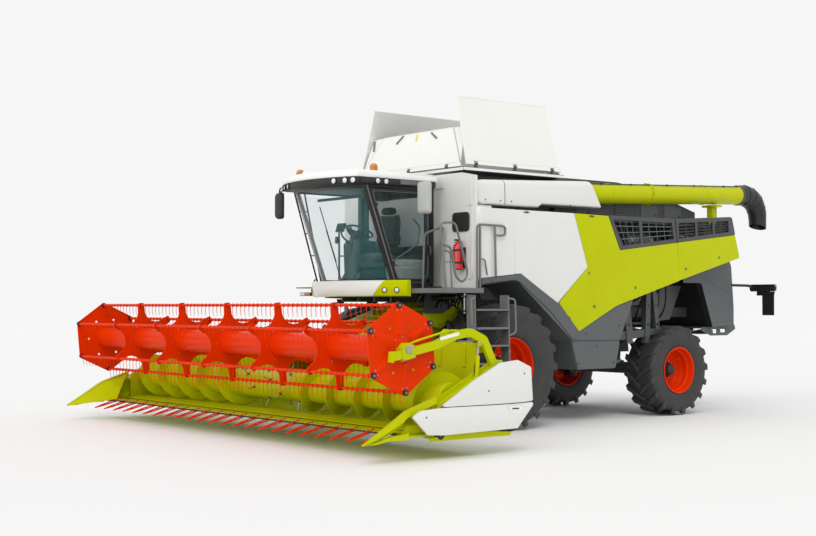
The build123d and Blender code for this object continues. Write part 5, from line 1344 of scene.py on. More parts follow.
# instruments on the column's right, training seat and cool box on the left
inside.box(at(-0.085, -1.475, 2.8), at(0.085, -1.45, 2.9), TRIM, Matrix.Rotation(radians(-25), 3, "X"))
for sections in (((2.142, 0.225), (2.34, 0.24), (2.352, 0.246), (2.372, 0.246), (2.384, 0.236)),
        ((2.384, 0.24), (2.41, 0.248), (2.47, 0.25), (2.488, 0.235))):
    stack(inside, 0.59, -0.95, 0.035, [(z, g * 0.82, g) for z, g in sections], BOX_GREY)
inside.tube(curve([at(0.5, -1.192, 2.4), at(0.5, -1.215, 2.4), at(0.68, -1.215, 2.4), at(0.68, -1.192, 2.4)], 0.02),
    0.008, TRIM)
# terminal box under the roof and sun blind roll
inside.box(at(0.36, -1.44, 3.35), at(0.6, -1.25, 3.47), TRIM)
inside.box(at(0.375, -1.252, 3.365), at(0.585, -1.244, 3.455), SCREEN)
inside.rod(at(0.48, -1.345, 3.46), at(0.48, -1.345, 3.52), 0.018, TRIM, 12)
inside.rod(at(-0.6, -1.7, 3.4), at(0.6, -1.7, 3.4), 0.022, SHELL, 16)
# rear shelf and lining under the rear window
inside.box(at(-0.8, -0.8, 2.142), at(0.8, -0.715, 2.56), SHELL)
for k in range(5):
    inside.tube([at(-0.74, -0.802, 2.22 + 0.07 * k), at(0.74, -0.802, 2.22 + 0.07 * k)], 0.006, SHELL, 6)
inside.build("cab_fittings", "chassis", replaces=("cab_interior",), slot="cover_plastic", bevel=0.005, angle=45)

# ------------------------------------------------------- platform and ladder
deck = Piece()
deck_line = [(0.885, -1.32), (1.92, -1.32), (1.92, -0.62), (1.7, -0.47), (0.885, -0.47)]
deck.slab(deck_line, lambda u, v, w: at(u, v, 2.04 + w), 0.012, TREAD)
for k in range(24):
    x = 0.915 + 0.043 * k
    back = -0.49 if x < 1.69 else -0.49 - (x - 1.69) * 0.68
    deck.box(at(x, -1.3, 2.052), at(x + 0.01, back, 2.0585), TREAD)
deck.side(rect(-1.325, -1.31, 1.99, 2.058), 0.885, 1.035, RAIL)
for x in (0.885, 1.905):
    deck.side(rect(-1.325, -0.61, 1.99, 2.06), x, 0.016, RAIL)
for x in (1.15, 1.45, 1.7):
    deck.box(at(x - 0.02, -1.31, 2.0), at(x + 0.02, -0.48, 2.04), DARK)
deck.build("platform_floor", "chassis", replaces=("platform",), slot="dark_paint", bevel=0.002, segments=1)

rails = Piece()
R = 0.0165
front_x, rear_x = 1.905, 1.69
rails.tube(curve(track(front_x, (-1.3, 2.05), (-1.405, 2.955), (-1.13, 2.975), (-0.89, 2.25), (-1.0, 2.13),
    (-1.12, 2.215), (-1.215, 2.63), (-1.345, 2.65)), 0.09), R, RAIL, 14)
rails.tube(track(front_x, (-1.34, 2.42), (-1.165, 2.42)), 0.009, RAIL, 10)
rails.tube(curve(track(front_x, (-1.19, 2.06), (-1.225, 2.56), (-1.33, 2.58)), 0.06), 0.012, RAIL, 12)
rails.tube(curve(track(0.95, (-0.93, 2.055), (-0.9, 2.86), (-0.545, 2.985), (-0.645, 2.16)), 0.06), R, RAIL, 14)
rails.tube(curve(track(rear_x, (-0.53, 2.05), (-0.53, 2.98), (-0.04, 2.975), (0.02, 2.955), (0.02, 2.85),
    (-0.04, 2.832), (-0.185, 2.832)), 0.07), R, RAIL, 14)
rails.tube(track(rear_x, (-0.475, 2.05), (-0.475, 2.965)), R, RAIL, 14)
rails.tube(track(rear_x, (-0.185, 2.968), (-0.165, 2.24)), R, RAIL, 14)
rails.tube(curve(track(rear_x, (-0.475, 2.48), (-0.38, 2.48), (-0.335, 2.25)), 0.06), 0.012, RAIL, 12)
for s in (-0.53, -0.475):
    rails.box(at(rear_x - 0.035, s - 0.03, 2.055), at(rear_x + 0.035, s + 0.03, 2.067), RAIL)
for s in (-1.29, -1.19):
    rails.box(at(front_x - 0.035, s - 0.03, 2.055), at(front_x + 0.015, s + 0.03, 2.067), RAIL)
# the hoop on the far side of the cab, which the windows show
rails.tube(curve(track(-1.2, (-0.88, 2.16), (-0.88, 3.09), (-0.64, 3.09), (-0.64, 2.16)), 0.08), R, RAIL, 14)
rails.tube(track(-1.2, (-0.88, 2.6), (-0.64, 2.6)), 0.011, RAIL, 10)
rails.box(at(-1.23, -0.91, 2.12), at(-0.88, -0.61, 2.16), DARK)
rails.build("platform_rails", "chassis", slot="dark_paint")

# pipes, valves and cables under the platform and the cab floor
under = Piece()
random.seed(11)
for k in range(7):
    x = 0.96 + 0.09 * k
    drop = random.uniform(0.14, 0.26)
    under.tube(spline([at(x, -0.46, 1.98), at(x + 0.05, -0.62 - 0.05 * random.random(), 1.9),
        at(x + 0.08, -0.74, 1.98 - drop), at(0.95 + 0.06 * k, -0.6, 1.9)]), random.choice((0.011, 0.014, 0.009)), HOSE)
for k in range(5):
    under.box(at(0.92 + 0.13 * k, -0.62, 1.9), at(1.0 + 0.13 * k, -0.5, 1.985), CAST)
    under.rod(at(0.96 + 0.13 * k, -0.62, 1.945), at(0.96 + 0.13 * k, -0.66, 1.945), 0.016, STEEL, 12)
under.side(rounded([(-0.98, 1.7), (-0.93, 2.0), (-0.3, 2.0), (-0.3, 1.86), (-0.6, 1.7)], 0.03), 1.0, 0.01, DARK)
under.rod(at(0.93, -0.8, 1.93), at(1.55, -0.8, 1.93), 0.024, TRIM, 14)
under.tube(spline([at(1.3, -1.2, 1.995), at(1.25, -1.25, 1.9), at(1.05, -1.1, 1.8), at(0.98, -0.8, 1.84),
    at(1.02, -0.5, 1.9)]), 0.014, HOSE, 10)
under.build("pipes_under_cab", "chassis", slot="dark_paint")

steps_piece = Piece()
# stringers: folded plates, light tubes on their inner edges
for s in (-0.945, -0.31):
    steps_piece.slab([(1.932, 1.96), (2.092, 1.96), (2.128, 0.712), (1.968, 0.712)], lambda u, v, w,
        s=s: at(u, s + w - 0.008, v), 0.016, RAIL)
    steps_piece.tube([at(2.1, s, 1.955), at(2.136, s, 0.718)], 0.014, RAIL, 12)
    steps_piece.tube([at(1.944, s, 1.955), at(1.978, s, 0.718)], 0.012, RAIL, 12)
for z in (1.765, 1.51, 1.26, 1.01, 0.76):
    x0, x1 = 1.935, 2.148
    steps_piece.box(at(x0, -0.935, z - 0.03), at(x1, -0.32, z - 0.022), RAIL)
    steps_piece.box(at(x0, -0.935, z - 0.03), at(x0 + 0.006, -0.32, z), RAIL)
    steps_piece.box(at(x1 - 0.006, -0.935, z - 0.03), at(x1, -0.32, z), RAIL)
    for k in range(9):
        s = -0.9 + 0.068 * k
        for along in (0.055, 0.14):
            steps_piece.lathe([(0, 0.012), (0.01, 0.012), (0.014, 0.017), (0.01, 0.02), (0, 0.02)],
                at(x0 + along, s, z - 0.022), UP, RAIL, 12)
steps_piece.tube(curve([at(2.1, -0.31, 1.915), at(2.128, -0.2, 1.905), at(2.14, -0.195, 1.43), at(2.115, -0.31, 1.385)],
    0.07), 0.014, RAIL, 12)
steps_piece.tube(curve([at(2.1, -0.945, 1.915), at(2.128, -1.03, 1.905), at(2.14, -1.03, 1.52),
    at(2.115, -0.945, 1.48)], 0.06), 0.014, RAIL, 12)
steps_piece.rod(at(1.935, -0.985, 1.7), at(1.935, -0.985, 1.98), 0.014, STEEL, 16)
for z in (1.74, 1.94):
    steps_piece.box(at(1.925, -1.0, z - 0.015), at(1.955, -0.94, z + 0.015), CAST)
steps_piece.box(at(1.962, -0.935, 0.712), at(2.14, -0.32, 0.722), RED)
steps_piece.build("ladder_steps", "ladder", replaces=("ladder",), slot="dark_paint", bevel=0.0015, segments=1)


# -------------------------------------------------------------------- header
# X of the side wall, its outer face, the divider's inner face, and the hose and stay on the reel arm
WALL_X, WALL_OUT, DIVIDER_X, HOSE_X, STAY_X = 3.845, 3.866, 3.884, 3.874, 3.905
for node, mat in (("header_frame", GREEN), ("feeder_house", GREEN), ("reel_arms", GREEN), ("reel_carriers", GREEN),
        ("header_lift_barrels", CAST), ("header_lift_rods", STEEL), ("reel_lift_barrels", GREEN),
        ("reel_lift_rods", STEEL)):
    paint(node, mat)

# Station and height of the drive shaft behind the back wall
SHAFT_S, SHAFT_Z = -2.38, 0.72
back = Piece()
for sign in back.both():
    # folded ribs on the back wall over the auger
    for k in range(7):
        x = 0.86 + 0.46 * k
        back.side([(-2.471, 1.05), (-2.484, 1.065), (-2.484, 1.34), (-2.471, 1.355)], x - 0.03, 0.06, GREEN)
        # stiffeners between the two beams at the rear
        back.side([(-2.461, 0.6), (-2.3, 0.5), (-2.33, 0.76), (-2.4, 1.0), (-2.352, 1.238), (-2.461, 1.238)], x - 0.006,
            0.012, GREEN)
        back.bolt(at(x + sign * 0.1, -2.41, 1.36), UP, 0.012)
    # hook for the feeder house and its latch
    back.side([(-2.42, 1.24), (-2.3, 1.13), (-2.25, 1.16), (-2.29, 1.24), (-2.37, 1.33), (-2.42, 1.33)], 0.665, 0.07,
        GREEN)
    back.side([(-2.33, 0.5), (-2.25, 0.52), (-2.22, 0.62), (-2.3, 0.64)], 0.665, 0.07, CAST)
    back.bolt(at(0.735, -2.285, 0.57), OUT, 0.016)
    # drive box and shaft guard behind the side wall
    back.box(at(3.52 - 0.13, -2.455, 0.56), at(3.52 + 0.13, -2.3, 0.83), CAST)
    back.tube(curve([at(0.8, SHAFT_S, SHAFT_Z), at(3.4, SHAFT_S, SHAFT_Z)], 0.1), 0.032, TRIM, 14)
    for k in range(4):
        back.lathe([(-0.012, 0.03), (-0.012, 0.047), (0.012, 0.047), (0.012, 0.03)],
            at(1.3 + 0.6 * k, SHAFT_S, SHAFT_Z), OUT, CAST, 20)
# clamps that hold the pipes on the beam
for k in range(12):
    x = -3.4 + 6.8 * k / 11
    back.box(at(x - 0.02, -2.4, 1.36), at(x + 0.02, -2.362, 1.386), CAST)
back.build("header_back_fittings", "header", slot="green_paint", bevel=0.003, segments=1)

# oil pipes along the beam, hoses at its ends
pipes = Piece()
for k, s in enumerate((-2.39, -2.374)):
    pipes.tube([at(-3.7, s, 1.371), at(3.7 - 0.2 * k, s, 1.371)], 0.008, STEEL)
for _ in pipes.both():
    # hoses from the beam down to the reel cylinder and along the arm
    pipes.tube(spline([at(3.7, -2.385, 1.372), at(3.8, -2.4, 1.35), at(3.86, -2.47, 1.22), at(3.873, -2.52, 1.08),
        at(3.88, -2.53, 1.0)]), 0.01, HOSE)
    pipes.tube(spline([at(3.66, -2.375, 1.372), at(3.8, -2.33, 1.33), at(3.862, -2.3, 1.21), at(3.868, -2.262, 1.12)]),
        0.01, HOSE)
pipes.build("header_pipes", "header", slot="dark_paint")

# skids and the green strip under and over the side cover
for hand, sign in SIDES:
    trim = Piece(sign)
    out = 0.03
    trim.side(rounded([(-3.3, 0.262), (-3.265, 0.225), (-3.06, 0.226), (-2.016, 0.226), (-2.0, 0.27), (-2.4, 0.3),
        (-3.02, 0.3)], 0.01, 2), 3.925, out, GREEN)
    trim.side([(-3.16, 0.64), (-2.8, 0.818), (-2.426, 1.01), (-2.208, 1.122), (-2.14, 1.15), (-2.12, 1.13),
        (-2.2, 1.06), (-2.44, 0.96), (-2.8, 0.77), (-3.16, 0.6)], WALL_OUT, 0.078, GREEN)
    # wheel-like roller and lever of the side drive under the cover
    trim.lathe([(-0.028, 0.012), (-0.028, 0.058), (-0.01, 0.07), (0.01, 0.07), (0.028, 0.058), (0.028, 0.012)],
        at(3.93, -3.13, 0.3), OUT, TRIM)
    trim.bolt(at(3.955, -3.13, 0.3), OUT, 0.018)
    # gusset under the arm's pivot
    trim.side(rounded([(-2.34, 1.02), (-2.16, 1.02), (-2.14, 1.145), (-2.24, 1.146), (-2.34, 1.1)], 0.02), WALL_OUT,
        0.016, GREEN)
    trim.bolts(track(WALL_OUT, (-3.05, 0.42), (-2.75, 0.36), (-2.45, 0.4), (-2.2, 0.38)), OUT, 0.014)
    trim.build(f"header_side_trim_{hand}", "header", slot="green_paint", bevel=0.003, segments=1)

# white covers of the side drives
for hand, sign in SIDES:
    cover = Piece(sign)
    upper = [(-3.185, 0.628), (-2.68, 0.919), (-2.24, 1.12), (-1.951, 1.146), (-1.741, 1.056), (-1.7, 0.64),
        (-1.86, 0.628), (-2.264, 0.624)]
    lower = [(-3.622, 0.534), (-3.48, 0.6), (-3.18, 0.618), (-2.264, 0.612), (-1.88, 0.616), (-1.702, 0.622),
        (-1.7, 0.59), (-1.955, 0.314), (-3.12, 0.298), (-3.372, 0.312)]
    bowed(cover, upper, sign, WHITE, 0.02, [((-3.2, 0.76), (-1.7, 0.83), 0.02)], thick=0.03, cell=0.08, outer=4.046)
    bowed(cover, lower, sign, WHITE, 0.022, [((-3.6, 0.47), (-1.7, 0.53), 0.035)], thick=0.03, cell=0.07, outer=4.046)
    inner = [(-3.59, 0.53), (-3.2, 0.61), (-2.68, 0.89), (-2.24, 1.092), (-1.951, 1.116), (-1.766, 1.036),
        (-1.724, 0.6), (-1.966, 0.34), (-3.12, 0.322), (-3.356, 0.336)]
    # dark plate behind the covers: seen through the gap between the upper and lower cover, it is painted shade in the
    # groove
    cover.side(inner, 3.99, 0.022, DARK)
    cover.side(inner, 3.962, 0.027, GREEN)
    # handle pocket at the end of the groove, latches and the folded flange
    pocket = rounded([(-2.15, 0.606), (-1.885, 0.596), (-1.91, 0.5), (-2.05, 0.486)], 0.016)
    cover.side(pocket, 4.03, 0.01, SHEET)
    cover.tube(track(4.041, *pocket), 0.006, WHITE, closed=True)
    cover.rod(at(4.036, -2.06, 0.56), at(4.036, -1.95, 0.556), 0.01, CAST)
    for s, z in ((-3.42, 0.52), (-2.45, 0.79), (-1.86, 0.98)):
        cover.rod(at(4.03, s, z), at(4.045, s, z), 0.012, GREY, 16)
    cover.side(rounded([(-3.17, 0.47), (-2.96, 0.474), (-2.92, 0.446), (-3.13, 0.44)], 0.01, 2), 4.026, 0.014, SHEET)
    cover.build(f"side_cover_{hand}", "header", replaces=("header_side_covers",), slot="white_plastic", bevel=0.006,
        segments=3, angle=50)

# intake auger: tube, two flights that carry to the middle, and fingers
AUGER_R, AUGER_HALF = 0.2, 3.8
auger = Piece()
AUGER = at(0, -2.83, 0.69)
auger.lathe([(-AUGER_HALF, 0.001), (-AUGER_HALF, 0.19), (-3.79, AUGER_R), (-0.66, AUGER_R), (-0.655, 0.203),
    (-0.645, 0.203), (-0.64, AUGER_R), (0.64, AUGER_R), (0.645, 0.203), (0.655, 0.203), (0.66, AUGER_R),
    (3.79, AUGER_R), (AUGER_HALF, 0.19), (AUGER_HALF, 0.001)], AUGER, OUT, GREEN, 48)
PITCH = 0.6
for sign in (1, -1):
    start, stop = 3.77, 0.64
    count = int((start - stop) / PITCH * 28)
    rings = []
    for k in range(count + 1):
        x = start - (start - stop) * k / count
        a = 2 * pi * (start - x) / PITCH + (0.4 if sign < 0 else 0)
        # the flight ends in a slope at the middle
        high = 0.328 - 0.1 * max(0, 1 - (x - stop) / 0.1)
        spoke = Vector((0, cos(a), sin(a)))
        centre = AUGER + Vector((sign * x, 0, 0))
        half = Vector((0.004, 0, 0))
        rings.append([centre + spoke * 0.196 - half, centre + spoke * high - half, centre + spoke * high + half,
            centre + spoke * 0.196 + half])
    auger.loft(rings, GREEN)
    auger.lathe([(0, 0.045), (0.044, 0.045)], AUGER + Vector((sign * AUGER_HALF - (0.044 if sign < 0 else 0), 0, 0)),
        OUT, STEEL, 24)
# fingers wound round the tube at the golden angle
GOLDEN = 2.399
for k in range(16):
    a = k * GOLDEN
    x = -0.6 + 1.2 * k / 15
    spoke = Vector((0, cos(a), sin(a)))
    centre = AUGER + Vector((x, 0, 0))
    auger.rod(centre + spoke * 0.195, centre + spoke * 0.212, 0.022, CAST, 12)
    auger.rod(centre + spoke * 0.21, centre + spoke * 0.322, 0.008, STEEL)
for k in range(9):
    # hand holes with bolted lids
    x = -3.4 + 6.8 * k / 8
    a = 0.9 + k * 1.3
    spoke = Vector((0, cos(a), sin(a)))
    for dx in (-0.05, 0.05):
        auger.bolt(AUGER + Vector((x + dx, 0, 0)) + spoke * 0.199, spoke, 0.009)
auger.build("auger", "intake_auger", replaces=("intake_auger",), slot="green_paint", angle=40)

# cutter table: sheet, knife with its guards, lifters
table = Piece()
TABLE_HALF = WALL_X - 0.015
table.box(at(-TABLE_HALF, -3.58, 0.3005), at(TABLE_HALF, -2.62, 0.3115), GREEN)
for k in range(26):
    # folded seams of the table
    x = -TABLE_HALF + 0.3 + (2 * TABLE_HALF - 0.6) * k / 25
    table.box(at(x - 0.012, -3.555, 0.3115), at(x + 0.012, -3.27, 0.3145), GREEN)
table.box(at(-TABLE_HALF, -3.6, 0.3), at(TABLE_HALF, -3.56, 0.322), GREEN)
table.build("cutter_sheet", "cutter_table", replaces=("cutter_table",), slot="red_paint", bevel=0.002, segments=1)
knife = Piece()
guards = 100
for k in range(guards):
    x = -TABLE_HALF + 0.05 + (2 * TABLE_HALF - 0.1) * k / (guards - 1)
    knife.loft([[at(x - w, s, 0.309 - h), at(x + w, s, 0.309 - h), at(x + w, s, 0.309 + h),
        at(x - w, s, 0.309 + h)] for s, w, h in ((-3.56, 0.012, 0.011), (-3.6, 0.014, 0.01), (-3.64, 0.011, 0.008),
        (-3.668, 0.003, 0.003))], CAST)
    if k < guards - 1:
        # knife section between two guards
        step = (2 * TABLE_HALF - 0.1) / (guards - 1)
        knife.add([at(x + 0.014, -3.6, 0.3105), at(x + step - 0.014, -3.6, 0.3105),
            at(x + step / 2 + 0.006, -3.652, 0.3105), at(x + step / 2 - 0.006, -3.652, 0.3105)], [(0, 1, 2, 3)], STEEL)
lifters = 23
for k in range(lifters):
    x = -0.318 * (lifters - 1) / 2 + 0.318 * k
    # runner from the knife to the nose, and the spring bar that rises back from it
    knife.tube(spline(track(x, (-3.58, 0.296), (-3.7, 0.264), (-3.83, 0.232), (-3.948, 0.208)), 4),
        [0.01] * 9 + [0.008] * 3 + [0.004], RED)
    knife.tube(spline(track(x, (-3.946, 0.209), (-3.84, 0.246), (-3.7, 0.288), (-3.52, 0.338)), 4), 0.0095, RED)
    knife.rod(at(x, -3.72, 0.258), at(x, -3.705, 0.286), 0.005, RED, 6)
    knife.box(at(x - 0.013, -3.625, 0.286), at(x + 0.013, -3.57, 0.326), RED)
knife.build("knife_and_lifters", "cutter_table", slot="red_paint")

for hand, sign in SIDES:
    divider = Piece(sign)
    # upper bar from the nose to the knee and on along the cover
    rings = []
    for s, low, high, wide in ((-4.236, 0.229, 0.243, 0.006), (-4.1, 0.268, 0.318, 0.03), (-3.9, 0.35, 0.434, 0.05),
            (-3.7, 0.455, 0.553, 0.066), (-3.627, 0.497, 0.597, 0.074), (-3.4, 0.575, 0.67, 0.074),
            (-3.172, 0.65, 0.745, 0.06)):
        inner = DIVIDER_X
        outer = inner + (wide if s > -3.65 else wide + 0.02)
        if s > -3.65:
            outer = min(outer, 3.95)
        rings.append([at(inner, s, low), at(outer, s, low + 0.2 * (high - low)), at(outer - 0.2 * wide, s, high),
            at(inner, s, high)])
    divider.loft(rings, GREEN)
    # lower bar and the nose plate between the bars
    divider.loft([[at(DIVIDER_X, s, low), at(DIVIDER_X + wide, s, low), at(DIVIDER_X + wide, s, high),
        at(DIVIDER_X, s, high)] for s, low, high, wide in ((-4.225, 0.23, 0.242, 0.006), (-4.05, 0.236, 0.262, 0.03),
        (-3.9, 0.266, 0.306, 0.045), (-3.6, 0.266, 0.345, 0.06))], GREEN)
    divider.side([(-4.2, 0.24), (-3.98, 0.27), (-3.94, 0.38), (-4.08, 0.31)], 3.886, 0.008, GREEN)
    # wedge on the inner side that leads the crop to the knife
    tip, knee = at(DIVIDER_X, -4.215, 0.236), at(DIVIDER_X, -3.61, 0.585)
    heel = at(3.56, -3.6, 0.322)
    sheet_in = [tip, knee, at(3.835, -3.24, 0.69), at(3.56, -3.54, 0.326), heel]
    drop = Vector((0, 0, -0.006))
    divider.loft([sheet_in, [p + drop for p in sheet_in]], GREEN)
    # lower strut to the nose and the rib along the top edge
    divider.tube(track(3.925, (-3.96, 0.3), (-3.74, 0.42), (-3.64, 0.5)), 0.01, GREEN)
    divider.box(at(3.7, -3.6, 0.284), at(3.886, -3.175, 0.31), GREEN)
    divider.side([(-3.66, 0.296), (-3.42, 0.312), (-3.18, 0.312), (-3.18, 0.42), (-3.56, 0.42)], 3.832, 0.006, GREEN)
    divider.bolts(track(3.896, (-3.52, 0.5), (-3.4, 0.4), (-3.24, 0.62)), OUT, 0.012)
    divider.build(f"divider_{hand}", "cutter_table", slot="green_paint", bevel=0.003, segments=1, angle=40)

# ---------------------------------------------------------------------- reel
REEL_S, REEL_Z, REEL_R = -3.606, 1.309, 0.512
BAR_ANGLES = [radians(95.36 - 60 * k) for k in range(6)]
PLATE_X = 3.811


def round_reel(x, angle, r):
    return at(x, REEL_S + r * cos(angle), REEL_Z + r * sin(angle))


reel = Piece()
hub = at(0, REEL_S, REEL_Z)
tube = [(-PLATE_X, 0.12), (-PLATE_X, 0.155)]
for k in range(7):
    x = -PLATE_X + 2 * PLATE_X * k / 6
    if 0 < k < 6:
        tube += [(x - 0.05, 0.155), (x - 0.046, 0.172), (x + 0.046, 0.172), (x + 0.05, 0.155)]
tube += [(PLATE_X, 0.155), (PLATE_X, 0.12)]
reel.lathe(tube, hub, OUT, RED, 40)
for k in range(7):
    x = -PLATE_X + 2 * PLATE_X * k / 6
    ends = k in (0, 6)
    sign = -1 if k < 3 else 1
    if ends:
        corners = [round_reel(0, a, 0.548) for a in BAR_ANGLES]
        flat = [(p.y - AXLE_Y, p.z) for p in corners]
        hole_list = []
        for a in BAR_ANGLES:
            m = a - pi / 6
            c = (REEL_S + 0.3 * cos(m), REEL_Z + 0.3 * sin(m))
            hole_list.append(circle(*c, 0.017, 12))
        reel.side(rounded(flat, 0.05, 4), x + sign * 0.002, sign * 0.006, RED, hole_list)
        # folded rim and pressed star of six ribs
        reel.tube(track(x, *rounded(flat, 0.05, 4)), 0.009, RED, closed=True)
        for a in BAR_ANGLES:
            side_dir = a + pi / 2
            ring_sets = []
            for r, w, h in ((0.17, 0.085, 0.02), (0.3, 0.055, 0.02), (0.43, 0.03, 0.016), (0.5, 0.018, 0.004)):
                c = round_reel(x + sign * 0.008, a, r)
                v = Vector((0, cos(side_dir), sin(side_dir)))
                lift = Vector((sign * h, 0, 0))
                ring_sets.append([c - v * w, c - v * w * 0.45 + lift, c + v * w * 0.45 + lift, c + v * w])
            reel.loft(ring_sets, RED)
            # black bearing of the tine bar
            reel.rod(round_reel(x - sign * 0.012, a, REEL_R), round_reel(x + sign * 0.03, a, REEL_R), 0.036, TRIM, 20)
            reel.bolt(round_reel(x + sign * 0.03, a, REEL_R), (sign, 0, 0), 0.014)
            for t in (-0.13, 0.13):
                reel.bolt(round_reel(x + sign * 0.008, a + t * 0.55, REEL_R - 0.055), (sign, 0, 0), 0.01)
        reel.lathe([(0.006, 0.19), (0.014, 0.185), (0.018, 0.12), (0.03, 0.1), (0.036, 0.05), (0.036, 0.001)],
            at(x, REEL_S, REEL_Z), (sign, 0, 0), RED, 36)
        reel.bolts([round_reel(x + sign * 0.014, a, 0.145) for a in turns(8)], (sign, 0, 0), 0.011)
        reel.rod(at(x, REEL_S, REEL_Z), at(sign * 3.844, REEL_S, REEL_Z), 0.04, CAST, 24)
    else:
        # open star: six arms with hollow bows between them
        outline = []
        for a in reversed(BAR_ANGLES):
            for t in (-1, 0, 1):
                outline.append((REEL_S + 0.54 * cos(a + 0.07 * t), REEL_Z + 0.54 * sin(a + 0.07 * t)))
            m = a + pi / 6
            for i in range(7):
                u = pi * (i + 1) / 8
                # hollow half round between this arm and the next
                c = 0.98 * REEL_R
                px = REEL_S + c * cos(m) + 0.205 * cos(m + pi + (u - pi / 2) * -1.05)
                pz = REEL_Z + c * sin(m) + 0.205 * sin(m + pi + (u - pi / 2) * -1.05)
                outline.append((px, pz))
        reel.side(outline, x - 0.004, 0.008, RED)
        reel.tube(track(x, *outline), 0.009, RED, closed=True)
        for a in BAR_ANGLES:
            reel.rod(round_reel(x - 0.024, a, REEL_R), round_reel(x + 0.024, a, REEL_R), 0.03, RED, 18)
            reel.rod(round_reel(x - 0.028, a, REEL_R), round_reel(x + 0.028, a, REEL_R), 0.024, TRIM, 18)
        for i in range(6):
            for face in (1, -1):
                reel.bolt(round_reel(x + face * 0.004, BAR_ANGLES[i] + 0.52, 0.2), (face, 0, 0), 0.012)
reel.build("reel_frame", "reel", replaces=("reel",), slot="red_paint", merge=False)

random.seed(7)
for k, a in enumerate(BAR_ANGLES):
    bar = Piece()
    centre = (REEL_S + REEL_R * cos(a), REEL_Z + REEL_R * sin(a))
    bar.tube([at(-PLATE_X - 0.014, *centre), at(PLATE_X + 0.014, *centre)], 0.017, RED, 16)
    tines = 72
    for i in range(tines):
        x = -PLATE_X + 0.075 + (2 * PLATE_X - 0.15) * i / (tines - 1)
        if min(abs(x - (-PLATE_X + 2 * PLATE_X * j / 6)) for j in range(7)) < 0.045:
            continue
        lean = random.uniform(-0.004, 0.004)
        # clip round the bar and a spring tine hanging from it
        bar.lathe([(-0.016, 0.018), (-0.016, 0.024), (0.016, 0.024), (0.016, 0.018)], at(x, *centre), OUT, RED, 12)
        bar.tube([at(x, centre[0] - 0.008, centre[1] - 0.012), at(x, centre[0] - 0.01, centre[1] - 0.05),
            at(x + lean / 2, centre[0] - 0.006, centre[1] - 0.105), at(x + lean, centre[0] + 0.002, centre[1] - 0.15)],
            [0.0042, 0.004, 0.0036, 0.003], RED, 6)
    bar.build(f"tine_bar_{k + 1}", f"reel_bar_{k + 1}", replaces=(f"reel_bar_{k + 1}",), slot="red_paint", merge=False)

for hand, sign in SIDES:
    arm = Piece(sign)
    outer = 3.94
    # bare plate and rib on the arm's flank, bosses at pivot and cylinder
    arm.side([(-3.129, 1.44), (-2.835, 1.5), (-2.828, 1.46), (-3.122, 1.4)], outer, 0.003, SHEET)
    arm.rod(at(outer, -2.25, 1.08), at(3.952, -2.25, 1.08), 0.052, GREEN, 28)
    arm.bolt(at(3.952, -2.25, 1.08), OUT, 0.026)
    arm.rod(at(outer, -2.505, 1.355), at(3.95, -2.505, 1.355), 0.036, GREEN, 24)
    arm.bolt(at(3.95, -2.505, 1.355), OUT, 0.018)
    # stay over the reel drive: flat bar with a dog-leg above the arm
    arm.tube(curve(track(STAY_X, (-3.56, 1.37), (-3.44, 1.408), (-3.08, 1.492), (-2.9, 1.52), (-2.8, 1.512)), 0.05),
        0.013, GREEN)
    arm.side(rounded([(-3.1, 1.395), (-2.96, 1.425), (-2.96, 1.53), (-3.04, 1.536), (-3.1, 1.49)], 0.015), 3.896, 0.012,
        GREEN)
    # end stop and hoses of the reel slide
    arm.side(rounded([(-3.862, 1.16), (-3.82, 1.16), (-3.806, 1.292), (-3.85, 1.286)], 0.01, 2), 3.88, 0.068, GREEN)
    arm.tube(spline([at(3.878, -3.35, 1.345), at(HOSE_X, -3.2, 1.395), at(HOSE_X, -3.0, 1.44), at(HOSE_X, -2.76, 1.5),
        at(HOSE_X, -2.56, 1.478), at(HOSE_X, -2.4, 1.38), at(HOSE_X, -2.3, 1.23)]), 0.009, HOSE)
    arm.tube(spline([at(3.878, -3.34, 1.325), at(HOSE_X, -3.2, 1.372), at(HOSE_X, -3.0, 1.418),
        at(HOSE_X, -2.76, 1.478), at(HOSE_X, -2.57, 1.456), at(HOSE_X, -2.43, 1.37), at(HOSE_X, -2.335, 1.23)]), 0.009,
        HOSE)
    for s, z in ((-3.25, 1.37), (-2.7, 1.49), (-2.38, 1.33)):
        arm.box(at(3.868, s - 0.01, z - 0.03), at(3.886, s + 0.01, z + 0.02), CAST)
    arm.build(f"arm_fittings_{hand}", "reel_arms", slot="green_paint", bevel=0.002, segments=1)
    shoe = Piece(sign)
    # bearing shell of the reel shaft and the slide's bolts
    slope = math.atan2(1.224 - 1.35, -3.84 + 3.18)
    for t in (-0.075, 0.075):
        for up in (-0.064, 0.064):
            s = REEL_S + t * cos(slope)
            z = line_at(s, (-3.18, 1.35), (-3.84, 1.224)) + up
            shoe.bolt(at(3.95, s, z), OUT, 0.011)
    shoe.box(at(3.951, REEL_S - 0.04, REEL_Z - 0.045), at(3.962, REEL_S + 0.04, REEL_Z + 0.035), STEEL)
    shoe.build(f"slide_fittings_{hand}", "reel_carriers", slot="dark_paint", bevel=0.002, segments=1)

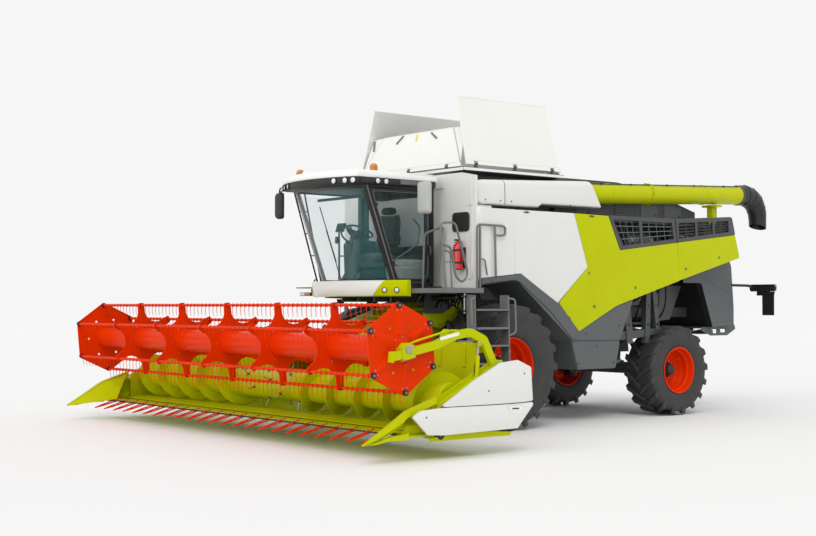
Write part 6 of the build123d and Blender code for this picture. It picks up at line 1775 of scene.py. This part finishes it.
# feeder house: pressed ribs, cover of its top, drive guard and lugs
feeder = Piece()
TOP_LINE = ((-0.2, 1.88), (-2.3, 1.13))
for _ in feeder.both():
    for a, b in (((-0.55, 1.52), (-2.18, 1.0)), ((-0.55, 1.32), (-2.18, 0.72))):
        feeder.tube([at(0.752, *a), at(0.752, *b)], 0.02, GREEN)
    feeder.side(rounded([(-0.62, 1.66), (-1.5, 1.36), (-1.5, 1.12), (-0.62, 1.34)], 0.04, 4), 0.75, 0.014, GREEN)
    feeder.bolts(track(0.764, (-0.68, 1.58), (-1.42, 1.34), (-1.42, 1.16), (-0.68, 1.4)), OUT, 0.016)
    feeder.rod(at(0.75, -2.06, 0.96), at(0.8, -2.06, 0.96), 0.085, CAST, 28)
    feeder.bolt(at(0.8, -2.06, 0.96), OUT, 0.026)
for k in range(6):
    s = -0.55 - 0.3 * k
    z = line_at(s, *TOP_LINE)
    feeder.tube([at(-0.74, s, z + 0.004), at(0.74, s, z + 0.004)], 0.014, GREEN)
feeder.build("feeder_fittings", "header", slot="green_paint", bevel=0.003, segments=1)

# glands and collars of the lift cylinders
rams = Piece()
for _ in rams.both():
    x = 0.56
    run = (at(x, -1.65, 0.7) - at(x, -0.215, 0.79)).normalized()
    base = at(x, -0.215, 0.79)
    rams.lathe([(0.955, 0.048), (0.955, 0.061), (0.972, 0.064), (0.985, 0.058), (0.985, 0.04)], base, run, CAST, 28)
    rams.lathe([(0.09, 0.05), (0.09, 0.058), (0.12, 0.058), (0.12, 0.05)], base, run, CAST, 28)
rams.build("header_ram_glands", "header_lift_barrels", slot="dark_paint")


# --------------------------------------------------------- rear of the machine
for node, mat in (("main_frame", CHASSIS), ("threshing_housing", CHASSIS), ("front_axle", DARK), ("rear_axle", CAST),
        ("engine_deck", DARK), ("steering_knuckle_left", CAST), ("steering_knuckle_right", CAST),
        ("radiator_housing", PANEL)):
    paint(node, mat)

# dark lining behind the rear grilles
lining = Piece()
for _ in lining.both():
    lining.side([(4.48, 3.13), (4.48, 3.262), (5.395, 3.318), (5.425, 3.13)], 1.262, 0.012, TRIM)
    for s in (4.6, 4.95, 5.3):
        lining.tube(track(1.276, (s, 3.15), (s, 3.25)), 0.01, DARK)
lining.build("grille_lining", "chassis", slot="dark_paint")

# green saddle and post sleeve that the unloading tube rests on
rest = Piece()
REST_X, REST_S, REST_Z = 1.28, 5.3, 3.557
rest.box(at(REST_X - 0.06, REST_S - 0.06, 3.215), at(REST_X + 0.06, REST_S + 0.06, REST_Z - 0.042), GREEN)
rest.box(at(REST_X - 0.092, REST_S - 0.092, 3.168), at(REST_X + 0.092, REST_S + 0.092, 3.182), GREEN)
rest.box(at(REST_X - 0.152, REST_S - 0.082, REST_Z - 0.041), at(REST_X + 0.152, REST_S + 0.082, REST_Z - 0.004), GREEN)
for u in (-0.075, 0.075):
    for v in (-0.075, 0.075):
        rest.bolt(at(REST_X + u, REST_S + v, 3.182), UP, 0.01)
for sign in (1, -1):
    rest.side([(REST_S + sign * 0.06, 3.182), (REST_S + sign * 0.088, 3.182), (REST_S + sign * 0.06, 3.3)],
        REST_X - 0.005, 0.01, GREEN)
rest.build("tube_rest", "chassis", slot="green_paint")

# straw hood: bent side sheets, back and roof; black sheets within them are painted shade of its open inside
# X of the side sheets and of the beads on them
HOOD_X, BEAD_X = 1.292, 1.298
hood = Piece()
profile = [(4.5, 3.14), (5.45, 3.14), (5.8, 2.5), (5.86, 1.8), (5.86, 1.48)]
for _ in hood.both():
    wall_line = [(4.5, 3.14), (5.45, 3.14), (5.8, 2.5), (5.86, 1.8), (5.86, 1.48), (5.25, 1.44), (4.95, 2.2),
        (4.5, 2.2)]
    hood.side(rounded(wall_line, [0.01, 0.03, 0.03, 0.03, 0.02, 0.02, 0.05, 0.02]), HOOD_X, 0.008, PANEL)
    # black sheet on the inner face of the side sheet: painted shade inside the hood
    hood.side(rounded([(4.52, 3.12), (5.43, 3.12), (5.78, 2.5), (5.84, 1.5), (5.27, 1.46), (4.97, 2.22), (4.52, 2.22)],
        0.02), 1.286, 0.005, TRIM)
    # folded front edge, seam and stiffening beads of the side sheet
    hood.side([(4.95, 2.2), (4.975, 2.2), (5.275, 1.44), (5.25, 1.44)], 1.3, -0.09, PANEL)
    hood.tube(track(BEAD_X, (5.05, 2.3), (5.72, 2.02)), 0.008, PANEL)
    hood.tube(track(BEAD_X, (5.3, 1.52), (5.84, 1.56)), 0.008, PANEL)
    hood.bolts(track(1.3, (5.1, 2.12), (5.32, 1.56), (5.8, 1.58), (5.79, 2.3), (5.6, 2.7), (5.05, 2.75)), OUT, 0.011)
    # lower lip with cut-outs
    hood.side(rounded([(5.25, 1.44), (5.86, 1.48), (6.06, 1.48), (6.085, 1.4), (5.85, 1.29), (5.4, 1.29), (5.15, 1.38),
        (5.15, 1.44)], 0.02), 1.15, 0.012, PANEL, [rect(5.42, 5.56, 1.33, 1.4), rect(5.66, 5.8, 1.345, 1.415)])
for a, b in zip(profile, profile[1:]):
    run = Vector((b[0] - a[0], b[1] - a[1], 0)).normalized()
    normal = Vector((run.y, -run.x, 0)) * -0.01
    hood.side([a, b, (b[0] + normal.x, b[1] + normal.y), (a[0] + normal.x, a[1] + normal.y)], -HOOD_X, 2 * HOOD_X,
        PANEL)
# black strip across the hood along the front edge of its sides: painted shade in its open inside
hood.side([(4.5, 2.2), (4.95, 2.2), (5.25, 1.44), (5.262, 1.446), (4.958, 2.212), (4.5, 2.212)], -HOOD_X, 2 * HOOD_X,
    TRIM)
hood.side([(5.15, 1.44), (6.06, 1.48), (6.085, 1.4), (6.07, 1.395), (6.05, 1.462), (5.15, 1.425)], -1.15, 2.3, PANEL)
# ribs, hatch and hand rail on the rear sheet
for x in (-1.05, -0.62, 0.62, 1.05):
    for a, b in ((profile[1], profile[2]), (profile[2], profile[3])):
        hood.tube(track(x, (a[0] + 0.03 * (b[0] - a[0]), a[1] - 0.03), (b[0], b[1] + 0.03)), 0.012, PANEL)
for z0, z1 in ((1.95, 2.36), (1.56, 1.84)):
    s0, s1 = line_at(z0, (2.5, 5.8), (1.8, 5.86)), line_at(z1, (2.5, 5.8), (1.8, 5.86))
    corners = rect(-0.48, 0.48, z0, z1)
    hood.slab(rounded(corners, 0.03), lambda u, v, w, a=(z0, s0), b=(z1, s1): at(u, line_at(v, a, b) + w, v), 0.012,
        GREY)
    for x in (-0.4, 0.4):
        hood.bolt(at(x, s1 + 0.014, z1 - 0.05), BACK, 0.012)
for x in (-0.72, 0.72):
    hood.tube(curve(track(x, (5.79, 2.62), (5.88, 2.6), (5.94, 2.0), (5.868, 1.98)), 0.05), 0.012, RAIL, 10)
hood.build("straw_hood_shell", "chassis", replaces=("straw_hood",), slot="dark_paint", bevel=0.003, segments=1)

BRACKET_X = 1.286
# lamps, plate and holder on their brackets at the rear
markers = Piece()
for _ in markers.both():
    markers.tube(curve([at(BRACKET_X, 5.8, 2.172), at(BRACKET_X, 6.3, 2.168), at(1.33, 6.38, 2.14)], 0.06), 0.024, TRIM,
        12)
    markers.loft([track(x, (6.352, z0), (6.408, z0), (6.408, z1), (6.352, z1)) for x, z0,
        z1 in ((1.275, 2.1, 2.185), (1.3, 2.064, 2.188), (1.78, 2.064, 2.188), (1.806, 2.085, 2.18))], TRIM)
    for x, mat in ((1.34, RED_LENS), (1.46, AMBER), (1.58, RED_LENS), (1.7, LENS)):
        markers.lathe([(-0.002, 0.001), (0.006, 0.03), (0.002, 0.046), (-0.004, 0.048)], at(x, 6.409, 2.125), BACK, mat,
            24)
    markers.box(at(1.805 - 0.004, 6.358, 2.15), at(1.805 + 0.004, 6.402, 2.184), AMBER)
    markers.box(at(1.55 - 0.13, 6.362, 1.99), at(1.55 + 0.13, 6.398, 2.064), TRIM)
    markers.slab(rounded([(1.53, 1.642), (1.77, 1.642), (1.772, 1.99), (1.79, 2.06), (1.5, 2.06), (1.528, 1.99)], 0.012,
        2), lambda u, v, w: at(u, 6.37 + w, v), 0.016, TRIM)
    markers.slab(rounded(rect(1.545, 1.755, 1.655, 1.8), 0.008, 2), lambda u, v, w: at(u, 6.386 + w, v), 0.004, SHEET)
    for x in (1.56, 1.74):
        markers.bolt(at(x, 6.386, 1.94), BACK, 0.009)
markers.build("rear_lamps", "chassis", slot="dark_paint", bevel=0.003)


def pulley(piece, x, s, z, r, width):
    """Grooved wheel with five spokes on its hub, seen from the side."""
    centre, axis = at(x, s, z), (piece.sign, 0, 0)
    piece.lathe([(-width / 2, 0.86 * r), (-width / 2, r), (-width * 0.3, r), (-width * 0.15, 0.93 * r), (0, r),
        (width * 0.15, 0.93 * r), (width * 0.3, r), (width / 2, r), (width / 2, 0.86 * r), (-width / 2, 0.86 * r)],
        centre, axis, CAST, 40)
    piece.lathe([(-width / 2, 0.02), (-width / 2, 0.2 * r), (width / 2, 0.2 * r), (width * 0.6, 0.02)], centre, axis,
        CAST, 24)
    for k in range(5):
        a = 2 * pi * k / 5 + 0.3
        piece.tube(track(x, (s + 0.17 * r * cos(a), z + 0.17 * r * sin(a)),
            (s + 0.9 * r * cos(a), z + 0.9 * r * sin(a))), [0.11 * r, 0.08 * r], CAST)
    piece.bolt(at(x + width / 2, s, z), OUT, 0.022)


def belt(piece, x, a, b):
    """Closed belt round two pulleys, each given as station, height and radius."""
    path, half = [], 0.025
    run = math.atan2(b[1] - a[1], b[0] - a[0])
    for (s, z, r), start in ((b, run - pi / 2), (a, run + pi / 2)):
        for i in range(13):
            t = start + pi * i / 12
            path.append((s + (r + 0.006) * cos(t), z + (r + 0.006) * sin(t)))
    rings = []
    n = len(path)
    for i in range(n):
        p, q = Vector(path[i - 1]), Vector(path[(i + 1) % n])
        side_dir = Vector((q.y - p.y, p.x - q.x)).normalized() * 0.007
        s, z = path[i]
        rings.append([at(x - half, s - side_dir.x, z - side_dir.y), at(x + half, s - side_dir.x, z - side_dir.y),
            at(x + half, s + side_dir.x, z + side_dir.y), at(x - half, s + side_dir.x, z + side_dir.y)])
    piece.loft(rings + [rings[0]], HOSE, caps=False)


# drives, struts and hoses on the flanks between the boxes and the rear wheels
for hand, sign in SIDES:
    flank = Piece(sign)
    # X of the pulleys' middle
    x = 0.96
    for s, z, r in ((3.35, 2.02, 0.24), (4.32, 2.42, 0.2), (2.05, 1.95, 0.3), (3.1, 1.36, 0.15), (1.35, 2.3, 0.22)):
        pulley(flank, x, s, z, r, 0.07)
        flank.rod(at(0.815, s, z), at(x, s, z), 0.04, CAST, 16)
    belt(flank, x, (3.35, 2.02, 0.24), (4.32, 2.42, 0.2))
    belt(flank, x + 0.001, (2.05, 1.95, 0.3), (3.1, 1.36, 0.15))
    # uprights and diagonal struts with lightening holes
    for s, wide, lean_s in ((2.98, 0.14, -0.1), (3.42, 0.11, 0.05), (3.72, 0.09, -0.16)):
        outline = [(s, 1.2), (s + wide, 1.2), (s + wide + lean_s, 2.46), (s + lean_s, 2.4)]
        holes = []
        for t in (0.25, 0.5, 0.75):
            c = (s + wide / 2 + lean_s * t, 1.2 + 1.22 * t)
            holes.append(circle(*c, 0.022, 10))
        flank.side(outline, 1.38, 0.014, DARK, holes)
        flank.side([(s, 1.2), (s + 0.012, 1.2), (s + 0.012 + lean_s, 2.4), (s + lean_s, 2.4)], 1.3, 0.086, DARK)
    flank.side(rounded([(2.6, 1.26), (3.02, 1.26), (3.86, 1.36), (3.86, 1.45), (2.98, 1.4), (2.6, 1.4)], 0.02), 1.36,
        0.018, DARK)
    flank.tube(curve([at(1.33, 2.46, 0.905), at(1.33, 2.9, 0.92), at(0.93, 3.02, 1.06)], 0.1), 0.034, DARK, 12)
    flank.rod(at(0.93, 3.02, 1.08), at(1.37, 3.02, 1.26), 0.03, CAST, 14)
    # tray between box and wheel, with battery box and tank
    flank.box(at(1.02 - 0.2, 3.05, 1.5), at(1.02 + 0.2, 3.7, 1.54), DARK)
    flank.side(rounded([(3.9, 1.52), (4.55, 1.58), (4.86, 2.16), (4.4, 2.16), (3.96, 1.8)], 0.03), 0.93, 0.03, DARK)
    random.seed(3 if sign > 0 else 5)
    for k in range(7):
        s = 3.0 + 0.17 * k
        flank.tube(spline([at(1.24, s, 2.48), at(1.26 + 0.02 * random.random(), s + 0.06, 2.1),
            at(1.2, s + random.uniform(-0.1, 0.12), 1.74), at(0.98, s + 0.1, 1.52)]),
            random.choice((0.01, 0.013, 0.016)), HOSE)
    for k in range(3):
        # steel hoops of the brake and steering lines over the wheel
        flank.tube(spline([at(1.22, 3.74 + 0.08 * k, 2.3), at(1.3, 3.86 + 0.1 * k, 2.16),
            at(1.24, 3.98 + 0.11 * k, 2.3 + 0.03 * k), at(1.14, 4.1 + 0.1 * k, 2.42)]), 0.008, STEEL)
    flank.build(f"flank_{hand}", "chassis", slot="dark_paint", bevel=0.002, segments=1)

# steering cylinder, tie rods and hub plates of the rear axle
# Station and height of the steering rods
ROD_S, ROD_Z = 4.262, 0.79
axle = Piece()
for _ in axle.both():
    axle.side(rounded(rect(3.9, 4.24, 0.62, 0.9), 0.04, 4), 0.79, 0.022, CAST)
    axle.tube([at(0.1, ROD_S, ROD_Z), at(0.42, ROD_S, ROD_Z)], 0.045, CAST, 18)
    axle.tube([at(0.42, ROD_S, ROD_Z), at(0.74, ROD_S, ROD_Z)], 0.022, STEEL, 14)
    axle.bolt(at(0.74, ROD_S, ROD_Z), OUT, 0.022)
    axle.side([(3.93, 1.02), (4.21, 1.02), (4.16, 1.52), (3.98, 1.52)], 0.3, 0.03, CAST)
axle.box(at(-0.14, 4.232, 0.7), at(0.14, 4.3, 0.86), CAST)
axle.build("rear_axle_fittings", "chassis", slot="cast", bevel=0.006)

front = Piece()
for _ in front.both():
    # final drives and their flanges on the front axle
    front.lathe([(0, 0.2), (0.02, 0.225), (0.1, 0.225), (0.12, 0.19), (0.2, 0.17), (0.22, 0.14)], at(0.93, 0, 0.925),
        OUT, CAST, 40)
    front.bolts([at(1.03, 0.205 * cos(a), 0.925 + 0.205 * sin(a)) for a in turns(12)], OUT, 0.014)
    for s in (-0.18, 0.18):
        front.bolt(at(0.87, s, 1.062), UP, 0.02)
front.box(at(-0.36, -0.24, 0.7), at(0.36, 0.24, 0.78), CAST)
front.lathe([(-0.3, 0.1), (-0.28, 0.21), (0.28, 0.21), (0.3, 0.1)], at(0, 0.0, 0.83), OUT, CAST)
front.build("front_axle_fittings", "chassis", slot="cast", bevel=0.004)

# threshing housing: bolted lids, beads and inspection hatches on its flanks and belly
body = Piece()
for _ in body.both():
    for s0, s1, z0, z1 in ((1.6, 2.8, 1.26, 1.62), (3.3, 4.4, 1.82, 2.1), (0.3, 0.95, 1.9, 2.1)):
        # the lowest lid lies further out than the others
        base = 0.937 if z0 < 1.5 and s0 > 1 else 0.834
        body.side(rounded(rect(s0, s1, z0, z1), 0.05), base - 0.012, 0.012, GREY)
        for s, z in rect(s0 + 0.05, s1 - 0.05, z0 + 0.05, z1 - 0.05):
            body.bolt(at(base, s, z), OUT, 0.012)
for k in range(8):
    s = 1.55 + 0.17 * k
    body.tube([at(-0.8, s, 0.85), at(0.8, s, 0.85)], 0.01, GREY, 6)
body.build("housing_fittings", "chassis", slot="grey_paint", bevel=0.002, segments=1)

# engine with pipes, filters and exhaust, seen through the grilles
engine = Piece()
engine.box(at(-0.34, 2.62, 2.16), at(0.34, 4.02, 2.62), CAST)
engine.box(at(-0.26, 2.66, 2.62), at(0.26, 3.98, 2.8), CAST)
for k in range(6):
    s = 2.76 + 0.22 * k
    engine.box(at(-0.2, s - 0.085, 2.8), at(0.2, s + 0.085, 2.9), DARK)
    for sign in engine.both():
        engine.bolt(at(0.16, s, 2.9), UP, 0.014)
        engine.tube(spline([at(0.26, s, 2.7), at(0.38, s, 2.72), at(0.44, s + 0.04, 2.66)], 5), 0.032,
            CAST if sign > 0 else STEEL, 10)
for sign, mat in ((1, CAST), (-1, STEEL)):
    engine.tube(track(sign * 0.45, (2.7, 2.66), (3.96, 2.66)), 0.055, mat, 18)
pulley(engine, 0, 4.16, 2.36, 0.18, 0.06)
for s in (2.9, 3.3, 3.7):
    engine.lathe([(-0.16, 0.02), (-0.16, 0.055), (-0.02, 0.058), (0, 0.05), (0.02, 0.02)], at(0.46, s, 2.42), UP,
        WHITE if s == 3.3 else TRIM, 24)
engine.box(at(-0.58, 2.52, 2.152), at(0.58, 4.28, 2.165), DARK)
engine.box(at(0.34, 2.7, 2.18), at(0.56, 2.86, 2.4), CAST)
engine.lathe([(-0.14, 0.02), (-0.14, 0.11), (0.14, 0.11), (0.16, 0.05)], at(-0.48, 3.2, 2.38), BACK, CAST, 28)
engine.build("engine", "chassis", replaces=("engine_block",), slot="cast", bevel=0.006)

# coolant pipes, air filter and frame beside the engine
bay = Piece()
for _ in bay.both():
    for k, s in enumerate((2.7, 3.05, 3.38, 3.66)):
        bay.tube(spline([at(0.45, s, 2.68), at(0.9, s + 0.05, 2.86), at(1.3, s + 0.1, 2.96), at(1.42, s + 0.16, 2.7),
            at(1.38, s + 0.2, 2.46)]), 0.026 - 0.004 * (k % 3), (STEEL, HOSE, HOSE, CAST)[k], 10)
    bay.lathe([(-0.32, 0.02), (-0.32, 0.12), (-0.3, 0.14), (0.3, 0.14), (0.32, 0.12), (0.32, 0.02)], at(1.3, 3.3, 2.86),
        BACK, GREY)
    for s in (3.06, 3.3, 3.54):
        bay.lathe([(-0.012, 0.138), (-0.012, 0.147), (0.012, 0.147), (0.012, 0.138)], at(1.3, s, 2.86), BACK, STEEL)
    for k in range(4):
        s = 4.1 + 0.3 * k
        bay.rod(at(1.34, s, 2.6), at(1.34, s, 3.14), 0.035, DARK, 12)
        bay.tube(track(1.45, (s, 2.98), (s + 0.24, 2.98)), 0.02, STEEL, 10)
    bay.box(at(1.25 - 0.16, 4.45, 2.72), at(1.25 + 0.16, 4.95, 3.05), GREY)
    bay.side([(2.45, 2.55), (5.35, 2.9), (5.35, 3.16), (2.45, 3.16)], 1.1, 0.01, BLACK)
    for k in range(9):
        bay.box(at(1.11 - 0.012, 2.6 + 0.3 * k, 2.74), at(1.11 + 0.012, 2.66 + 0.3 * k, 3.14), DARK)
bay.build("engine_bay", "chassis", slot="dark_paint", bevel=0.003, segments=1)

# cooling housing behind the tank: rotary screen, louvres, light strip on its edge, exhaust
EXHAUST_X = -0.55
cooler = Piece()
for sign in cooler.both():
    x = 1.03 if sign > 0 else 1.05
    for k in range(3):
        s = 2.1 + 0.62 * k
        cooler.side(rounded(rect(s - 0.26, s + 0.26, 3.26, 3.74), 0.03), x, 0.01, DARK)
        for j in range(9):
            z = 3.3 + 0.05 * j
            cooler.side(rect(s - 0.23, s + 0.23, z, z + 0.03), x + 0.01, 0.008, PANEL)
    cooler.tube(track(x, (1.72, 3.838), (3.15, 3.838), (3.9, 3.758), (5.14, 3.428)), 0.008, PANEL)
    for s in (3.95, 4.55):
        z = line_at(s, (3.9, 3.76), (5.15, 3.43))
        cooler.side(rounded([(s - 0.22, 3.22), (s + 0.22, 3.22), (s + 0.22, z - 0.12), (s - 0.22, z - 0.04)], 0.02), x,
            0.008, GREY)
        cooler.rod(at(x + 0.008, s + 0.16, 3.34), at(x + 0.018, s + 0.16, 3.34), 0.016, TRIM, 16)
cooler.box(at(0.35, 1.8, 3.836), at(1.02, 3.02, 3.848), SHEET)
cooler.box(at(-1.0, 1.8, 3.836), at(0.3, 3.02, 3.845), MESH)
for k in range(24):
    cooler.tube(track(-0.98 + 0.053 * k, (1.84, 3.848), (2.98, 3.848)), 0.006, CAST, 6)
z = line_at(4.35, (3.9, 3.76), (5.15, 3.43))
cooler.tube(curve(track(EXHAUST_X, (4.35, z - 0.05), (4.35, z + 0.2), (4.5, z + 0.3)), 0.1), 0.07, STEEL, 24)
cooler.lathe([(0, 0.071), (0, 0.082), (0.03, 0.082), (0.03, 0.071)], at(EXHAUST_X, 4.35, z + 0.08), UP, CAST, 24)
cooler.box(at(-1.02, 5.146, 3.2), at(1.0, 5.16, 3.4), DARK)
for k in range(7):
    cooler.box(at(-0.95, 5.158, 3.215 + 0.025 * k), at(0.93, 5.166, 3.227 + 0.025 * k), PANEL)
cooler.build("cooling_fittings", "chassis", slot="dark_paint", bevel=0.002, segments=1)

# spreader discs with bent blades and hubs
for hand, _ in SIDES:
    disc = Piece()
    low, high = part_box(f"spreader_disc_{hand}")
    centre = Vector(((low.x + high.x) / 2, (low.y + high.y) / 2, low.z))
    disc.lathe([(0, 0.02), (0, 0.425), (0.004, 0.43), (0.01, 0.43), (0.01, 0.02)], centre, UP, STEEL, 56)
    disc.lathe([(0.01, 0.09), (0.03, 0.085), (0.05, 0.06), (0.13, 0.05), (0.13, 0.001)], centre, UP, CAST, 28)
    for a in turns(6):
        u, v = Vector((cos(a), sin(a), 0)), Vector((-sin(a), cos(a), 0))
        blade = []
        for r, bend, high_z in ((0.095, 0.0, 0.045), (0.2, 0.004, 0.07), (0.32, -0.006, 0.078), (0.422, -0.03, 0.06)):
            p = centre + u * r + v * bend
            blade.append([p - v * 0.003 + Vector((0, 0, 0.01)), p + v * 0.003 + Vector((0, 0, 0.01)),
                p + v * 0.003 + Vector((0, 0, 0.01 + high_z)), p - v * 0.003 + Vector((0, 0, 0.01 + high_z))])
        disc.loft(blade, STEEL)
        disc.bolt(centre + u * 0.15 + v * 0.02 + Vector((0, 0, 0.01)), UP, 0.01)
        disc.bolt(centre + u * 0.36 + v * 0.02 + Vector((0, 0, 0.01)), UP, 0.01)
    disc.build(f"spreader_{hand}", f"spreader_{hand}", replaces=(f"spreader_disc_{hand}",), slot="steel", merge=False)


# --------------------------------------------------------------------- stage
def stage_material(name, srgb):
    """Even, matte ground that takes the object's shadow."""
    mat = bpy.data.materials.new(name)
    mat.use_nodes = True
    tree = mat.node_tree
    new, link = tree.nodes.new, tree.links.new
    shader = tree.nodes["Principled BSDF"]
    noise = new("ShaderNodeTexNoise")
    noise.inputs["Scale"].default_value = 0.6
    ramp = new("ShaderNodeValToRGB")
    base = linear(srgb)
    ramp.color_ramp.elements[0].color = (*(c * 0.99 for c in base[:3]), 1)
    ramp.color_ramp.elements[1].color = base
    link(noise.outputs["Fac"], ramp.inputs["Fac"])
    link(ramp.outputs["Color"], shader.inputs["Base Color"])
    shader.inputs["Roughness"].default_value = 0.9
    shader.inputs["Specular IOR Level"].default_value = 0.1
    return mat


FLOOR_SIZE = 260
floor_mesh = bpy.data.meshes.new("floor")
floor_mesh.from_pydata([(-FLOOR_SIZE, -FLOOR_SIZE, 0), (FLOOR_SIZE, -FLOOR_SIZE, 0), (FLOOR_SIZE, FLOOR_SIZE, 0),
    (-FLOOR_SIZE, FLOOR_SIZE, 0)], [], [(0, 1, 2, 3)])
floor_mesh.materials.append(stage_material("floor_white", (249, 249, 249)))
floor = add_object("floor", floor_mesh)
floor.location.z = cad_low.z - 0.001

world = bpy.data.worlds.new("studio")
bpy.context.scene.world = world
world.use_nodes = True
tree = world.node_tree
tree.nodes.clear()
new, link = tree.nodes.new, tree.links.new
output = new("ShaderNodeOutputWorld")
seen, soft, mixed = new("ShaderNodeBackground"), new("ShaderNodeBackground"), new("ShaderNodeMixShader")
seen.inputs["Color"].default_value = linear((246, 246, 246))
seen.inputs["Strength"].default_value = 1.0
soft.inputs["Color"].default_value = linear((246, 246, 246))
soft.inputs["Strength"].default_value = 0.74
rays = new("ShaderNodeLightPath")
seen_by = rays.outputs["Is Camera Ray"]
for kind in ("Is Glossy Ray", "Is Transmission Ray"):
    either = new("ShaderNodeMath")
    either.operation = "MAXIMUM"
    link(seen_by, either.inputs[0])
    link(rays.outputs[kind], either.inputs[1])
    seen_by = either.outputs["Value"]
link(seen_by, mixed.inputs["Fac"])
link(soft.outputs["Background"], mixed.inputs[1])
link(seen.outputs["Background"], mixed.inputs[2])
link(mixed.outputs["Shader"], output.inputs["Surface"])


def lamp(name, aim, strength, angle, colour=(1, 1, 1)):
    """Broad soft light from one direction."""
    data = bpy.data.lights.new(name, "SUN")
    data.energy = strength
    data.angle = radians(angle)
    data.color = colour
    obj = add_object(name, data)
    obj.rotation_euler = Vector(aim).to_track_quat("-Z", "Y").to_euler()


lamp("key", (-10, 6, -13), 0.82, 26, (1, 0.99, 0.975))
lamp("front", (-3, 18, -9), 0.75, 50)
lamp("fill", (-15, 11, -2), 0.2, 40)


camera_data = bpy.data.cameras.new("camera")
camera_data.lens = 58.235
camera_data.sensor_width = 36
camera_data.clip_end = 500
camera = add_object("camera", camera_data)
camera.location = (15.802, -14.45, 1.812)
camera.rotation_euler = (radians(91.634), 0, radians(51.182))
bpy.context.scene.camera = camera
bpy.context.scene.view_settings.view_transform = "Standard"
